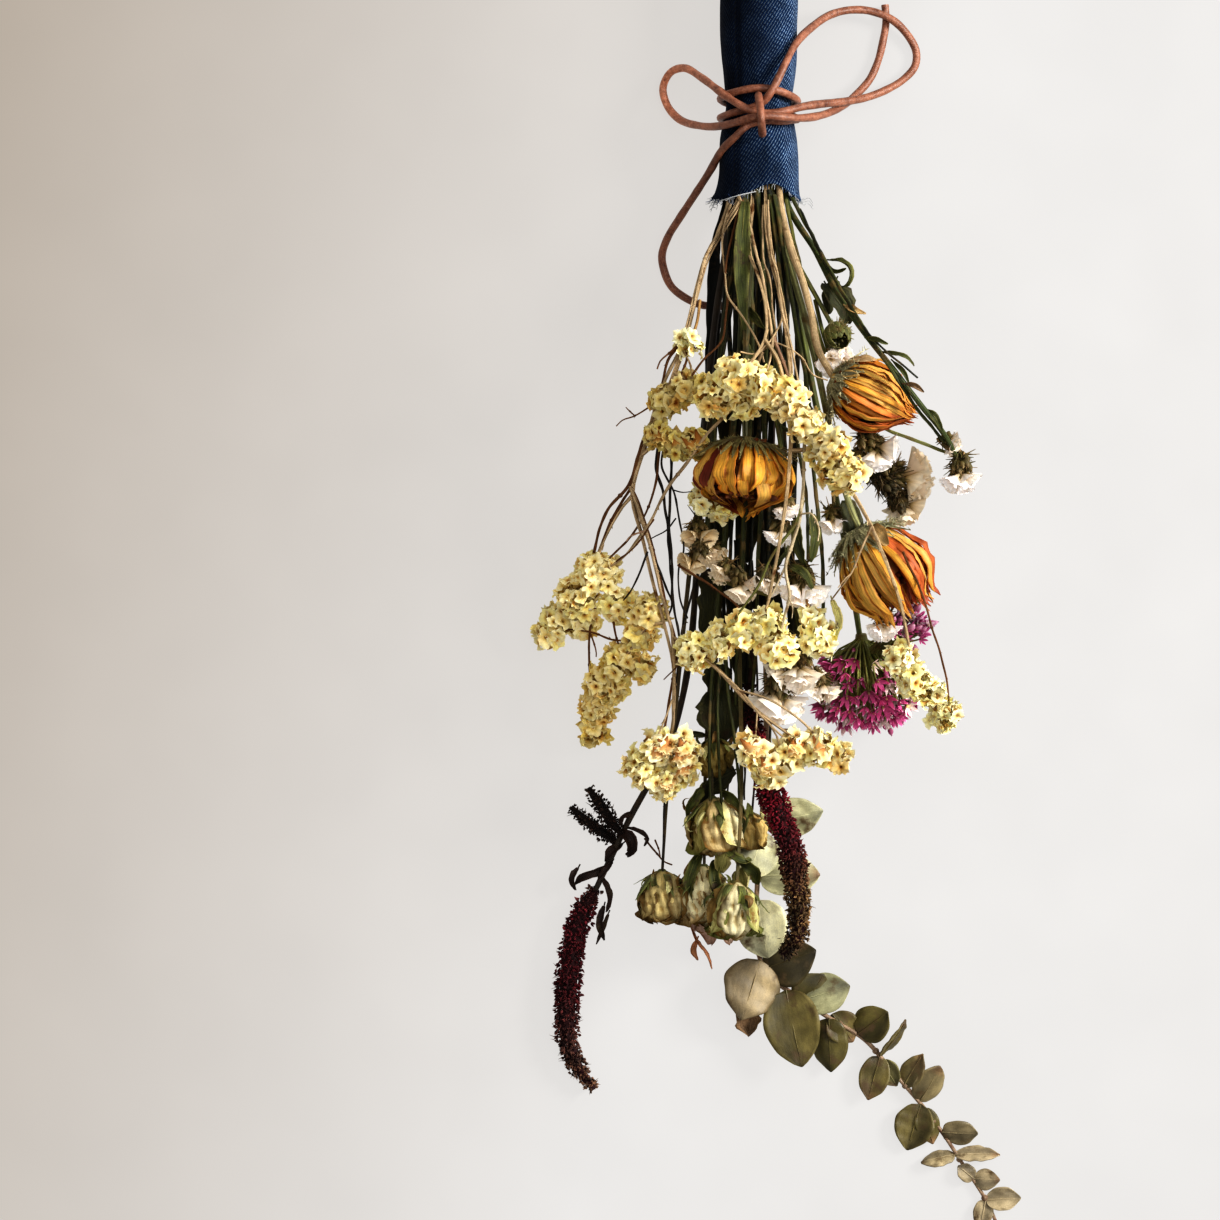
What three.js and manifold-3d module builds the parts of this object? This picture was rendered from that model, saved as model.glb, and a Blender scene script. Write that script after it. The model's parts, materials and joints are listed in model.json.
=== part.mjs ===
// A dried flower swag that lies on its back on a flat surface.
// A bunch of dried stems stands in a denim sleeve, which a leather cord ties with a bow.
// Millimetres, +Z up from the surface, +Y towards the cut ends, +X to the right seen from above.
import * as THREE from 'three';
import { mergeVertices } from 'three/addons/utils/BufferGeometryUtils.js';
import Module from 'manifold-3d';

const wasm = await Module();
wasm.setup();

// Driving dimensions
const CLEARANCE = 0.3;          // gap that neighbours keep
const SLEEVE_WALL = 1.2;        // denim and its lap, pressed together
const SLEEVE_SIDES = 20;
const SLEEVE_END_HEIGHT = 14.03; // sleeve axis above the surface at its far end
const SLEEVE_RISE = 9.4;        // how much higher the axis is at the mouth
const STEM_BASE_RADIUS = 1.65;
const STEM_SLOT_GAP = 0.35;
const STEM_STEP = 17;           // length of one straight stretch of a stem past the mouth
const CORD_DIAMETER = 3.2;
const CORD_SIDES = 8;
const LEAF_THICKNESS = 0.8;

// Places are given as [column, row, height]: where a point shows in a square view from straight
// above, and its height in millimetres. The view's scale and eye turn them into real places.
const VIEW_SIZE = 1220;         // columns and rows
const VIEW_SCALE = 0.412;       // millimetres for each column, on the surface
const EYE_HEIGHT = 1500;        // millimetres above the surface
const ORIGIN_COLUMN = 779.65;
const ORIGIN_ROW = 531.3;

function seen([column, row, height]) {
  const scale = VIEW_SCALE * (1 - height / EYE_HEIGHT);
  const middle = VIEW_SIZE / 2;
  return new THREE.Vector3(
    VIEW_SCALE * (middle - ORIGIN_COLUMN) + scale * (column - middle),
    VIEW_SCALE * (ORIGIN_ROW - middle) - scale * (row - middle),
    height,
  );
}

// Sleeve: [row, half width, half depth] from the far end to the mouth, pinched at the tie
const SLEEVE_COLUMN = 759;
const SLEEVE_RINGS = [
  [-165, 15.4, 14.2],
  [-100, 16.0, 14.2],
  [-20, 16.0, 14.0],
  [50, 15.8, 13.8],
  [84, 14.2, 12.6],
  [105, 13.2, 11.7],
  [124, 14.4, 12.6],
  [146, 16.0, 13.8],
  [200, 16.6, 14.0],
];
const SLEEVE_END_ROW = SLEEVE_RINGS[0][0];
const MOUTH_ROW = SLEEVE_RINGS[SLEEVE_RINGS.length - 1][0];
const SLOT_ROWS = [-100, -20, 50, 84, 105, 124, 146, 200];

// Stems: slot is [across, up] in the packed bunch, route leads from the mouth to the tip
const STEMS = {
  yellow_statice_stem_left: {
    colour: 'straw', slot: [-1.5, 2], radius: [1.65, 0.8],
    route: [
      [712, 245, 42], [700, 280, 50], [690, 320, 56], [676, 370, 58], [660, 410, 56],
      [645, 448, 52], [632, 485, 48], [640, 525, 46], [650, 570, 44], [662, 615, 43],
      [672, 655, 43], [675, 700, 43], [668, 752, 44],
    ],
    twigs: [
      [[632, 485, 48], [620, 510, 42], [606, 535, 36], [596, 560, 31], [580, 588, 21], [560, 620, 8]],
      [[662, 615, 43], [648, 626, 40], [632, 648, 33], [612, 674, 24], [602, 702, 12]],
      [[672, 655, 43], [692, 656, 51], [716, 668, 57], [745, 700, 60], [772, 722, 62], [800, 742, 62]],
      [[676, 370, 58], [686, 380, 60], [690, 388, 60]],
      [[645, 448, 52], [662, 440, 57], [680, 442, 60]],
    ],
  },
  yellow_statice_stem_centre: {
    colour: 'straw', slot: [-0.5, 2], radius: [1.65, 0.9],
    route: [
      [748, 240, 44], [757, 270, 56], [765, 300, 66], [767, 330, 75], [760, 352, 81],
      [746, 368, 84], [726, 380, 82], [710, 392, 79],
    ],
    twigs: [
      [[767, 330, 75], [778, 360, 84], [788, 392, 88], [806, 416, 90], [828, 443, 90], [842, 466, 88]],
    ],
  },
  yellow_statice_stem_right: {
    colour: 'straw', slot: [0.5, 2], radius: [1.65, 0.9],
    route: [
      [768, 240, 45], [777, 280, 58], [786, 330, 70], [791, 380, 78], [791, 430, 82],
      [788, 480, 88], [783, 520, 90], [776, 560, 86], [768, 596, 78], [758, 622, 71], [728, 638, 66],
    ],
    twigs: [
      [
        [791, 430, 82], [815, 452, 80], [845, 482, 82], [868, 520, 84], [886, 562, 84],
        [900, 602, 78], [908, 640, 66], [916, 680, 57], [934, 706, 53],
      ],
    ],
  },
  strawflower_stem_1: {
    colour: 'straw', slot: [1.5, 2], radius: [1.85, 1.7],
    route: [
      [784, 228, 39], [797, 264, 50], [808, 300, 58], [817, 340, 64], [824, 372, 66], [838, 384, 66],
    ],
  },
  strawflower_stem_2: {
    colour: 'green', slot: [-1, 1], radius: [1.65, 1.3],
    route: [[750, 245, 38], [748, 300, 50], [746, 350, 58], [745, 400, 64], [746, 447, 66]],
  },
  strawflower_stem_3: {
    colour: 'green', slot: [1, 1], radius: [1.65, 1.4],
    route: [
      [784, 245, 36], [800, 300, 44], [815, 360, 50], [828, 420, 54], [840, 470, 57],
      [848, 500, 58], [865, 541, 58],
    ],
  },
  white_statice_stem_right: {
    colour: 'green', slot: [2, 1], radius: [1.85, 1.3],
    route: [
      [806, 228, 36], [822, 265, 48], [842, 300, 62], [862, 330, 76], [890, 365, 83],
      [915, 398, 82], [938, 426, 73], [952, 446, 64], [960, 464, 57],
    ],
  },
  white_statice_stem_centre: {
    colour: 'green', slot: [0, 1], radius: [1.65, 1.1],
    route: [
      [764, 245, 34], [770, 300, 41], [776, 360, 45], [780, 420, 47], [784, 480, 49],
      [786, 540, 52], [792, 590, 54], [800, 640, 52], [796, 676, 49],
    ],
    twigs: [
      [[786, 540, 52], [774, 566, 55], [752, 588, 54], [728, 583, 52]],
      [[776, 360, 45], [808, 404, 44], [842, 446, 49], [866, 460, 55]],
      [[780, 420, 47], [826, 452, 40], [874, 480, 41], [906, 492, 43]],
    ],
  },
  white_statice_stem_left: {
    colour: 'green', slot: [-1.5, 0], radius: [1.65, 1.1],
    route: [
      [736, 245, 30], [728, 300, 33], [720, 360, 36], [715, 420, 38], [711, 480, 42], [705, 548, 44],
    ],
  },
  rose_stem_2: {
    colour: 'green', slot: [-0.5, 0], radius: [1.65, 0.9],
    route: [
      [752, 250, 30], [745, 330, 32], [735, 420, 34], [728, 500, 36], [722, 580, 38],
      [716, 660, 38], [713, 740, 37], [712, 806, 36],
    ],
  },
  rose_stem_3: {
    colour: 'green', slot: [0.5, 0], radius: [1.65, 0.9],
    route: [
      [762, 250, 30], [757, 330, 34], [751, 420, 36], [745, 500, 38], [741, 580, 41],
      [739, 660, 43], [741, 740, 44], [740, 820, 44], [736, 890, 41],
    ],
  },
  allium_stem: {
    colour: 'green', slot: [1.5, 0], radius: [1.65, 1.2],
    route: [
      [788, 250, 26], [800, 320, 28], [815, 400, 28], [832, 480, 27], [848, 560, 25], [861, 644, 22],
    ],
  },
  rose_stem_1: {
    colour: 'green', slot: [-1, -1], radius: [1.65, 0.9],
    route: [
      [740, 250, 24], [726, 330, 24], [711, 420, 26], [699, 500, 28], [689, 580, 30],
      [681, 660, 30], [673, 740, 27], [667, 800, 25], [662, 879, 22],
    ],
  },
  rose_stem_4: {
    colour: 'green', slot: [0, -1], radius: [1.65, 0.9],
    route: [
      [756, 250, 22], [749, 330, 22], [739, 420, 22], [729, 500, 23], [719, 580, 24],
      [711, 660, 24], [706, 740, 24], [704, 820, 24], [704, 875, 24],
    ],
  },
  amaranth_left_stem: {
    colour: 'dark', slot: [-2, -1], radius: [1.65, 1.2],
    route: [
      [726, 250, 21], [714, 330, 19], [706, 420, 18], [700, 500, 17], [696, 580, 17],
      [689, 660, 17], [674, 730, 16], [655, 772, 15], [635, 808, 13], [617, 845, 11], [594, 893, 8],
    ],
  },
  amaranth_right_stem: {
    colour: 'dark', slot: [1, -1], radius: [1.65, 1.3],
    route: [
      [768, 250, 24], [772, 330, 26], [772, 420, 28], [768, 500, 30], [760, 580, 32], [748, 692, 36],
    ],
  },
  eucalyptus_stem: {
    colour: 'twig', slot: [-0.5, -2], radius: [1.65, 0.7],
    route: [
      [752, 250, 14], [752, 330, 9], [755, 420, 7], [758, 500, 6.5], [762, 580, 6.5],
      [766, 660, 7], [766, 740, 8], [762, 820, 9], [757, 890, 9], [756, 940, 9], [766, 972, 9],
      [790, 992, 8], [812, 1006, 7], [831, 1019, 6], [857, 1033, 5], [880, 1056, 4],
      [900, 1081, 3.5], [921, 1104, 3], [942, 1132, 2.5], [955, 1155, 2], [974, 1179, 2],
      [985, 1198, 2], [996, 1222, 2], [1003, 1240, 2],
    ],
  },
};

// Swollen pieces: axis points and the radius at each, from the stem side to the tip
const HEADS = {
  strawflower_head_1: {
    colour: 'orange',
    axis: [[830, 379, 66], [844, 385, 66], [862, 393, 66], [884, 403, 65], [906, 413, 64]],
    radii: [3, 10, 13.5, 12.5, 5],
  },
  strawflower_head_2: {
    colour: 'orange',
    axis: [[747, 437, 66], [746, 448, 66], [745, 468, 65], [744, 494, 64], [743, 514, 63]],
    radii: [3, 13, 19, 20, 10],
  },
  strawflower_head_3: {
    colour: 'orange',
    axis: [[856, 528, 58], [863, 540, 58], [874, 556, 57], [888, 578, 56], [903, 603, 54]],
    radii: [4, 11, 16, 19, 12],
  },
  allium_head: {
    colour: 'magenta',
    axis: [[861, 634, 22], [862, 648, 21], [864, 674, 20.5], [867, 704, 20.45], [869, 724, 20.6]],
    radii: [2, 12, 19, 20.4, 11],
  },
  rose_bud_1: {
    colour: 'cream',
    axis: [[662, 871, 22], [662, 878, 22], [662, 900, 20], [662, 918, 19], [662, 926, 19]],
    radii: [2, 6, 9.3, 7.5, 3],
  },
  rose_bud_2: {
    colour: 'cream',
    axis: [[712, 798, 36], [713, 806, 36], [714, 828, 35], [716, 848, 34], [717, 856, 34]],
    radii: [2, 7, 11, 8.5, 4],
  },
  rose_bud_3: {
    colour: 'cream',
    axis: [[736, 882, 41], [735, 890, 41], [733, 912, 39], [731, 932, 38], [730, 940, 38]],
    radii: [2, 6.5, 10, 8, 3.5],
  },
  rose_bud_4: {
    colour: 'cream',
    axis: [[704, 866, 24], [704, 874, 24], [704, 896, 23], [706, 918, 22], [707, 928, 22]],
    radii: [2, 6.5, 10, 8, 3.5],
  },
  amaranth_left_spike: {
    colour: 'burgundy',
    axis: [
      [595, 889, 8.2], [584, 909, 7], [573, 944, 6.4], [569, 978, 6.2], [567, 1012, 5.9],
      [568, 1042, 5.2], [577, 1066, 4.6], [594, 1089, 4.2],
    ],
    radii: [2.6, 5.4, 6.1, 5.9, 5.5, 4.6, 3.8, 2.2],
  },
  amaranth_right_spike: {
    colour: 'crimson',
    axis: [
      [748, 684, 36], [752, 716, 38], [759, 752, 40], [768, 786, 40], [779, 815, 40],
      [790, 847, 38], [795, 879, 35], [799, 909, 31], [797, 936, 27], [783, 955, 23],
    ],
    radii: [2.4, 3.6, 4.6, 5.8, 6.3, 6.2, 6.0, 5.2, 4.4, 2.4],
  },
  amaranth_left_side_spike_1: {
    colour: 'burgundy',
    axis: [[624, 836, 12], [613, 824, 13], [601, 806, 13], [588, 788, 13]],
    radii: [1.5, 3.2, 3.3, 1.8],
  },
  amaranth_left_side_spike_2: {
    colour: 'burgundy',
    axis: [[619, 843, 10.5], [605, 834, 8], [588, 822, 6], [571, 807, 5]],
    radii: [1.5, 3.0, 3.1, 1.6],
  },
};

// Clusters of small papery flowers, each round the twig that carries it
const BLOOMS = {
  yellow_statice_bloom_1: {
    colour: 'yellow', axis: [[700, 399, 78], [720, 382, 83], [743, 372, 85], [762, 382, 86]], radius: 7.2,
  },
  yellow_statice_bloom_2: {
    colour: 'yellow', axis: [[785, 396, 88], [806, 417, 90], [828, 443, 90], [849, 480, 87]], radius: 7.2,
  },
  yellow_statice_bloom_3: {
    colour: 'yellow', axis: [[662, 400, 58], [676, 393, 60], [696, 386, 61]], radius: 6.2,
  },
  yellow_statice_bloom_4: {
    colour: 'yellow', axis: [[658, 430, 58], [674, 440, 59], [690, 446, 61]], radius: 6.2,
  },
  yellow_statice_bloom_5: {
    colour: 'yellow', axis: [[601, 561, 30], [584, 585, 23], [568, 609, 12], [549, 632, 4.6]], radius: 8.0,
  },
  yellow_statice_bloom_6: {
    colour: 'yellow', axis: [[652, 600, 38], [636, 640, 33], [614, 672, 24], [602, 702, 12], [598, 733, 4.4]],
    radius: 7.6,
  },
  yellow_statice_bloom_7: {
    colour: 'yellow', axis: [[692, 658, 57], [724, 640, 65], [752, 626, 70], [776, 640, 69]], radius: 7.4,
  },
  yellow_statice_bloom_8: {
    colour: 'yellow', axis: [[638, 772, 43], [656, 762, 45], [676, 752, 46], [692, 744, 46]], radius: 8.4,
  },
  yellow_statice_bloom_9: {
    colour: 'yellow', axis: [[744, 744, 60], [774, 760, 60], [806, 748, 62], [838, 754, 60]], radius: 7.2,
  },
  yellow_statice_bloom_10: {
    colour: 'yellow', axis: [[898, 654, 60], [912, 680, 57], [930, 702, 54], [946, 726, 50]], radius: 6.6,
  },
  white_statice_bloom_1: {
    colour: 'white', axis: [[850, 467, 54], [868, 461, 56], [890, 450, 57]], radius: 7.2,
  },
  white_statice_bloom_2: {
    colour: 'white', axis: [[948, 432, 62], [959, 456, 57], [966, 490, 50]], radius: 7.6,
  },
  white_statice_bloom_3: {
    colour: 'white', axis: [[892, 488, 41], [912, 498, 43], [934, 486, 45]], radius: 9.2,
  },
  white_statice_bloom_4: {
    colour: 'white', axis: [[698, 528, 43], [706, 548, 44], [694, 570, 44]], radius: 7.2,
  },
  white_statice_bloom_5: {
    colour: 'white', axis: [[712, 578, 50], [744, 588, 54], [780, 597, 56], [820, 594, 56]], radius: 7.2,
  },
  white_statice_bloom_6: {
    colour: 'white', axis: [[758, 696, 45], [780, 700, 48], [804, 676, 50], [828, 686, 46]], radius: 7.8,
  },
};

// Eucalyptus leaves: base on the stem, tip, width in millimetres, roll about the leaf's axis
const EUCALYPTUS_LEAVES = [
  { base: [763, 822, 9], tip: [823, 811, 13], width: 16, roll: 10 },
  { base: [762, 830, 10], tip: [748, 880, 17], width: 19, roll: -12 },
  { base: [759, 876, 9], tip: [820, 875, 9], width: 17, roll: -14 },
  { base: [757, 900, 10], tip: [768, 958, 15], width: 21, roll: 8 },
  { base: [760, 960, 10], tip: [741, 1020, 15], width: 22, roll: -10 },
  { base: [764, 968, 8.5], tip: [816, 950, 11], width: 19, roll: 8 },
  { base: [786, 990, 9], tip: [802, 1067, 13], width: 22, roll: 9 },
  { base: [800, 1000, 7.5], tip: [850, 986, 8], width: 16, roll: -8 },
  { base: [829, 1018, 6.6], tip: [831, 1072, 5], width: 14, roll: 12 },
  { base: [858, 1034, 5.5], tip: [888, 1012, 11], width: 15, roll: -10 },
  { base: [921, 1104, 3.5], tip: [907, 1150, 3], width: 15, roll: 10 },
];

// Small leaves near the branch's tip, grown together with it
const TIP_LEAVES = [
  { base: [880, 1056, 4], tip: [906, 1020, 11], width: 9, roll: 62 },
  { base: [880, 1056, 4], tip: [868, 1100, 5], width: 12, roll: 8 },
  { base: [904, 1086, 3.5], tip: [923, 1054, 7], width: 9, roll: -24 },
  { base: [919, 1102, 3], tip: [940, 1066, 7], width: 12, roll: 22 },
  { base: [942, 1132, 3], tip: [978, 1133, 5], width: 10, roll: 14 },
  { base: [955, 1155, 2.6], tip: [921, 1163, 3], width: 7, roll: 44 },
  { base: [955, 1155, 2.6], tip: [1000, 1155, 4], width: 7, roll: -44 },
  { base: [974, 1179, 2], tip: [958, 1166, 3], width: 7, roll: 10 },
  { base: [974, 1179, 2], tip: [1000, 1180, 4], width: 8, roll: -12 },
  { base: [986, 1200, 2], tip: [980, 1228, 3], width: 8, roll: 10 },
  { base: [986, 1200, 2], tip: [1021, 1198, 4], width: 9, roll: -14 },
  { base: [1001, 1236, 2], tip: [1012, 1254, 3], width: 6, roll: 6 },
];

// The cord is one length: left tail, two turns round the sleeve, right loop, left loop, right tail
const CORD_ROUTE = [
  [727, 306, 2.4], [702, 305, 2.0], [684, 297, 2.0], [671, 286, 2.0], [664, 270, 2.0],
  [662, 255, 3.2], [668, 237, 6.5], [679, 219, 11], [694, 196, 17], [710, 171, 24], [722, 150, 31],
  [735, 137, 36.4], [748, 125, 37], [764, 121, 36.4], [780, 121, 34], [792, 120, 29], [797.5, 119, 21.5],
  [788, 115, 11], [759, 110, 7.2], [730, 104, 11], [720.5, 99, 21], [729, 94, 30.5], [743, 90, 34.4],
  [759, 88, 35.4], [775, 90, 34.6], [789, 95, 30.6], [797.5, 101, 21.5], [788, 106, 9], [759, 112, 3.4],
  [730, 117, 9], [720.5, 118, 21], [729, 114, 30.6], [741, 110.5, 34.4], [753, 107.5, 36],
  [763, 102, 37.4], [771, 92, 38.8], [778, 79, 38], [786, 62, 35.5], [797, 42, 29], [812, 27, 21],
  [830, 15, 14], [850, 10, 9], [870, 11, 6.6], [891, 19, 5.6], [906, 33, 3.6], [916, 51, 2.0],
  [915, 66, 2.0], [904, 79, 2.8], [888, 89, 5.4], [868, 97, 10], [845, 101.5, 18], [820, 104, 27],
  [801, 107, 34], [786, 111, 38.4], [771, 113, 39.6], [755, 112, 39.8], [740, 105, 39], [722, 93, 34],
  [702, 78, 22], [684, 68, 12], [670, 73, 6], [663, 88, 3.2], [667, 105, 3.4], [679, 119, 8],
  [701, 126, 20], [720, 126, 31], [737, 122, 38.6], [752, 117.5, 43], [768, 116, 43.2], [786, 117.5, 40.4],
  [802, 118, 34.4], [818, 116, 26.4], [833, 111, 18], [846, 103.5, 11.4], [858, 93, 6], [870, 79, 3],
  [878, 61, 2], [883, 41, 2], [886, 22, 1.9], [885, 5, 1.9],
];
// The short strand that crosses the bow in the middle
const KNOT_ROUTE = [
  [758.5, 95, 39.4], [759, 99, 42.2], [760, 106, 45.4], [761, 114, 47.2], [761.5, 122, 46.6],
  [762, 129, 43.4], [762.5, 134, 39],
];

// The long dark leaf beside the bunch: [place, half width, half thickness]
const STRAP_LEAF = [
  [[728, 175, 20], 1.6, 0.8], [[726, 205, 20], 1.8, 0.7], [[716, 240, 18], 2.8, 0.6],
  [[713, 285, 16], 3.3, 0.6], [[713, 335, 12], 3.3, 0.6], [[711, 385, 9], 3.0, 0.6],
  [[706, 440, 6], 2.6, 0.6], [[700, 500, 3.5], 2.0, 0.6], [[696, 552, 1.6], 1.0, 0.5],
];

const COLOURS = {
  denim: { color: 0x24406b, roughness: 0.95 },
  leather: { color: 0xa9694c, roughness: 0.6 },
  straw: { color: 0xc6a46f, roughness: 0.85 },
  green: { color: 0x59633a, roughness: 0.85 },
  dark: { color: 0x1f1c16, roughness: 0.85 },
  twig: { color: 0xa58a64, roughness: 0.8 },
  yellow: { color: 0xe8de9a, roughness: 0.9 },
  white: { color: 0xece2dc, roughness: 0.9 },
  orange: { color: 0xd68a2a, roughness: 0.8 },
  magenta: { color: 0x9c3f70, roughness: 0.85 },
  cream: { color: 0xc9bf86, roughness: 0.85 },
  burgundy: { color: 0x3a1416, roughness: 0.95 },
  crimson: { color: 0x7a1f30, roughness: 0.95 },
  leaf: { color: 0x7d8261, roughness: 0.75 },
};

// Solids

function toSolid(geometry) {
  geometry.deleteAttribute('normal');
  geometry.deleteAttribute('uv');
  const merged = mergeVertices(geometry, 1e-4);
  return new wasm.Manifold(new wasm.Mesh({
    numProp: 3,
    vertProperties: new Float32Array(merged.attributes.position.array),
    triVerts: new Uint32Array(merged.index.array),
  }));
}

function toGeometry(solid) {
  const mesh = solid.getMesh();
  const geometry = new THREE.BufferGeometry();
  geometry.setAttribute('position', new THREE.BufferAttribute(mesh.vertProperties, 3));
  geometry.setIndex(new THREE.BufferAttribute(mesh.triVerts, 1));
  geometry.computeVertexNormals();
  return geometry;
}

// Frames that follow a row of points without twisting
function framesAlong(points) {
  const frames = [];
  let side = new THREE.Vector3(1, 0, 0);
  points.forEach((at, i) => {
    const before = points[Math.max(i - 1, 0)];
    const after = points[Math.min(i + 1, points.length - 1)];
    const along = after.clone().sub(before).normalize();
    if (i === 0 && Math.abs(along.x) > 0.9) {
      side.set(0, 0, 1);
    }
    side = side.clone().addScaledVector(along, -side.dot(along)).normalize();
    frames.push({ at, along, side, up: side.clone().cross(along) });
  });
  return frames;
}

// Bends a lathed body, whose height counts stations, so that its axis runs through the points.
// What lies past the first or last station goes straight on, in millimetres.
function bendAlong(geometry, points) {
  const frames = framesAlong(points);
  const position = geometry.attributes.position;
  const vertex = new THREE.Vector3();
  for (let i = 0; i < position.count; i += 1) {
    const height = position.getY(i);
    const station = THREE.MathUtils.clamp(Math.round(height), 0, points.length - 1);
    const { at, along, side, up } = frames[station];
    vertex.copy(at)
      .addScaledVector(side, position.getX(i))
      .addScaledVector(along, height - station)
      .addScaledVector(up, position.getZ(i));
    position.setXYZ(i, vertex.x, vertex.y, vertex.z);
  }
  return geometry;
}

// A round rod through the points, with a radius at each, flat at both ends
function rod(points, radii, sides, grow = 0) {
  const last = points.length - 1;
  const profile = radii.map((radius, i) => new THREE.Vector2(radius + grow, i));
  profile[0].y = -grow;
  profile[last].y = last + grow;
  const closed = [new THREE.Vector2(0, -grow), ...profile, new THREE.Vector2(0, last + grow)];
  return toSolid(bendAlong(new THREE.LatheGeometry(closed, sides), points));
}

// A body through the points that closes to a blunt tip at both ends
function lump(points, radii, sides, grow = 0) {
  const last = points.length - 1;
  const profile = [new THREE.Vector2(0, -grow - 0.35 * radii[0])];
  radii.forEach((radius, i) => profile.push(new THREE.Vector2(radius + grow, i)));
  profile.push(new THREE.Vector2(0, last + 0.49));
  return toSolid(bendAlong(new THREE.LatheGeometry(profile, sides), points));
}

function curveThrough(places) {
  return new THREE.CatmullRomCurve3(places.map(seen), false, 'centripetal');
}

function evenPoints(curve, step) {
  return curve.getSpacedPoints(Math.max(2, Math.round(curve.getLength() / step)));
}

// Sleeve

function sleeveAt(row) {
  const rings = SLEEVE_RINGS;
  let i = 0;
  while (i < rings.length - 2 && row > rings[i + 1][0]) {
    i += 1;
  }
  const t = THREE.MathUtils.clamp((row - rings[i][0]) / (rings[i + 1][0] - rings[i][0]), 0, 1);
  const share = (row - SLEEVE_END_ROW) / (MOUTH_ROW - SLEEVE_END_ROW);
  return {
    centre: seen([SLEEVE_COLUMN, row, SLEEVE_END_HEIGHT + SLEEVE_RISE * share]),
    halfWidth: THREE.MathUtils.lerp(rings[i][1], rings[i + 1][1], t),
    halfDepth: THREE.MathUtils.lerp(rings[i][2], rings[i + 1][2], t),
  };
}

function sleeveTube(inset, overshoot) {
  const rows = SLEEVE_RINGS.map((ring) => ring[0]);
  const last = rows.length - 1;
  const profile = [new THREE.Vector2(0, 0)];
  rows.forEach((row, i) => profile.push(new THREE.Vector2(1, i)));
  profile.push(new THREE.Vector2(0, last));
  const tube = new THREE.LatheGeometry(profile, SLEEVE_SIDES, Math.PI / SLEEVE_SIDES);
  const position = tube.attributes.position;
  const past = rows.map(() => 0);
  past[0] = overshoot;
  past[last] = -overshoot;
  for (let i = 0; i < position.count; i += 1) {
    const station = Math.round(position.getY(i));
    const { centre, halfWidth, halfDepth } = sleeveAt(rows[station]);
    position.setXYZ(
      i,
      centre.x + position.getX(i) * (halfWidth - inset),
      centre.y + past[station],
      centre.z - position.getZ(i) * (halfDepth - inset),
    );
  }
  return toSolid(tube);
}

function denimWrap(grow = 0) {
  return sleeveTube(-grow, grow).subtract(sleeveTube(SLEEVE_WALL + grow, grow + 1));
}

// Where a stem's slot lies in the sleeve: the bunch packs in hexagons and is squeezed at the tie
function slotAt([across, up], row) {
  const { centre, halfWidth } = sleeveAt(row);
  const pitch = (halfWidth - SLEEVE_WALL - STEM_BASE_RADIUS - STEM_SLOT_GAP) / 2.5;
  return centre.clone().add(new THREE.Vector3(across * pitch, 0, up * pitch * Math.sin(Math.PI / 3)));
}

// Stems

const CUT_ROW = -182;
const CUT_STEP = 5;
const MOUTH_POINTS = SLOT_ROWS.length + 1;

// Points of a stem: cut end, through the sleeve, then evenly along its route
function stemPoints({ slot, route }, order) {
  const cut = slotAt(slot, CUT_ROW - CUT_STEP * (order % 4));
  const inside = SLOT_ROWS.map((row) => slotAt(slot, row));
  const past = [inside[inside.length - 2], inside[inside.length - 1], ...route.map(seen)];
  const curve = new THREE.CatmullRomCurve3(past, false, 'centripetal');
  const outside = evenPoints(curve, STEM_STEP).filter((point) => point.y < past[1].y - 0.6 * STEM_STEP);
  return [cut, ...inside, ...outside];
}

const SETTLE_ROUNDS = 80;
const SETTLE_GAP = 0.45;
const TABLE_GAP = 0.4;

function radiusAlong([base, tip], i, count) {
  const share = Math.max(0, i - MOUTH_POINTS) / (count - MOUTH_POINTS);
  return THREE.MathUtils.lerp(base, tip, share);
}

function closestOn(from, to, point) {
  const stretch = to.clone().sub(from);
  const share = THREE.MathUtils.clamp(point.clone().sub(from).dot(stretch) / stretch.lengthSq(), 0, 1);
  return { share, place: stretch.multiplyScalar(share).add(from) };
}

// Pushes apart two stems where they are nearer than their radii and a gap
function separate(stem, other) {
  const near = 2 * STEM_STEP;
  for (let i = MOUTH_POINTS - 1; i < stem.points.length; i += 1) {
    for (let j = MOUTH_POINTS - 1; j < other.points.length - 1; j += 1) {
      if (Math.abs(stem.points[i].y - other.points[j].y) > near) {
        continue;
      }
      const { share, place } = closestOn(other.points[j], other.points[j + 1], stem.points[i]);
      const away = stem.points[i].clone().sub(place);
      const wanted = stem.radii[i] + other.radii[j] + SETTLE_GAP;
      const short = wanted - away.length();
      if (short > 0) {
        away.normalize().multiplyScalar(0.5 * short);
        stem.push[i].add(away);
        other.push[j].addScaledVector(away, share - 1);
        other.push[j + 1].addScaledVector(away, -share);
      }
    }
  }
}

// Keeps a stem out of the heads that other stems carry
function avoid(stem, head) {
  stem.points.forEach((point, i) => {
    const away = point.clone().sub(head.centre);
    const short = head.radius + stem.radii[i] - away.length();
    if (short > 0) {
      stem.push[i].add(away.normalize().multiplyScalar(0.4 * short));
    }
  });
}

function settle(stems, heads) {
  for (let round = 0; round < SETTLE_ROUNDS; round += 1) {
    stems.forEach((stem) => {
      stem.push = stem.points.map(() => new THREE.Vector3());
    });
    stems.forEach((stem) => stems.filter((other) => other !== stem).forEach((other) => separate(stem, other)));
    stems.forEach((stem) => heads.filter((head) => head.on !== stem.name).forEach((head) => avoid(stem, head)));
    stems.forEach((stem) => {
      const last = stem.points.length - 1;
      for (let i = MOUTH_POINTS; i < last; i += 1) {
        const even = stem.push[i - 1].clone().add(stem.push[i + 1]).multiplyScalar(0.25);
        stem.points[i].add(even.addScaledVector(stem.push[i], 0.5));
        stem.points[i].z = Math.max(stem.points[i].z, stem.radii[i] + TABLE_GAP);
      }
    });
  }
}

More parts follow.
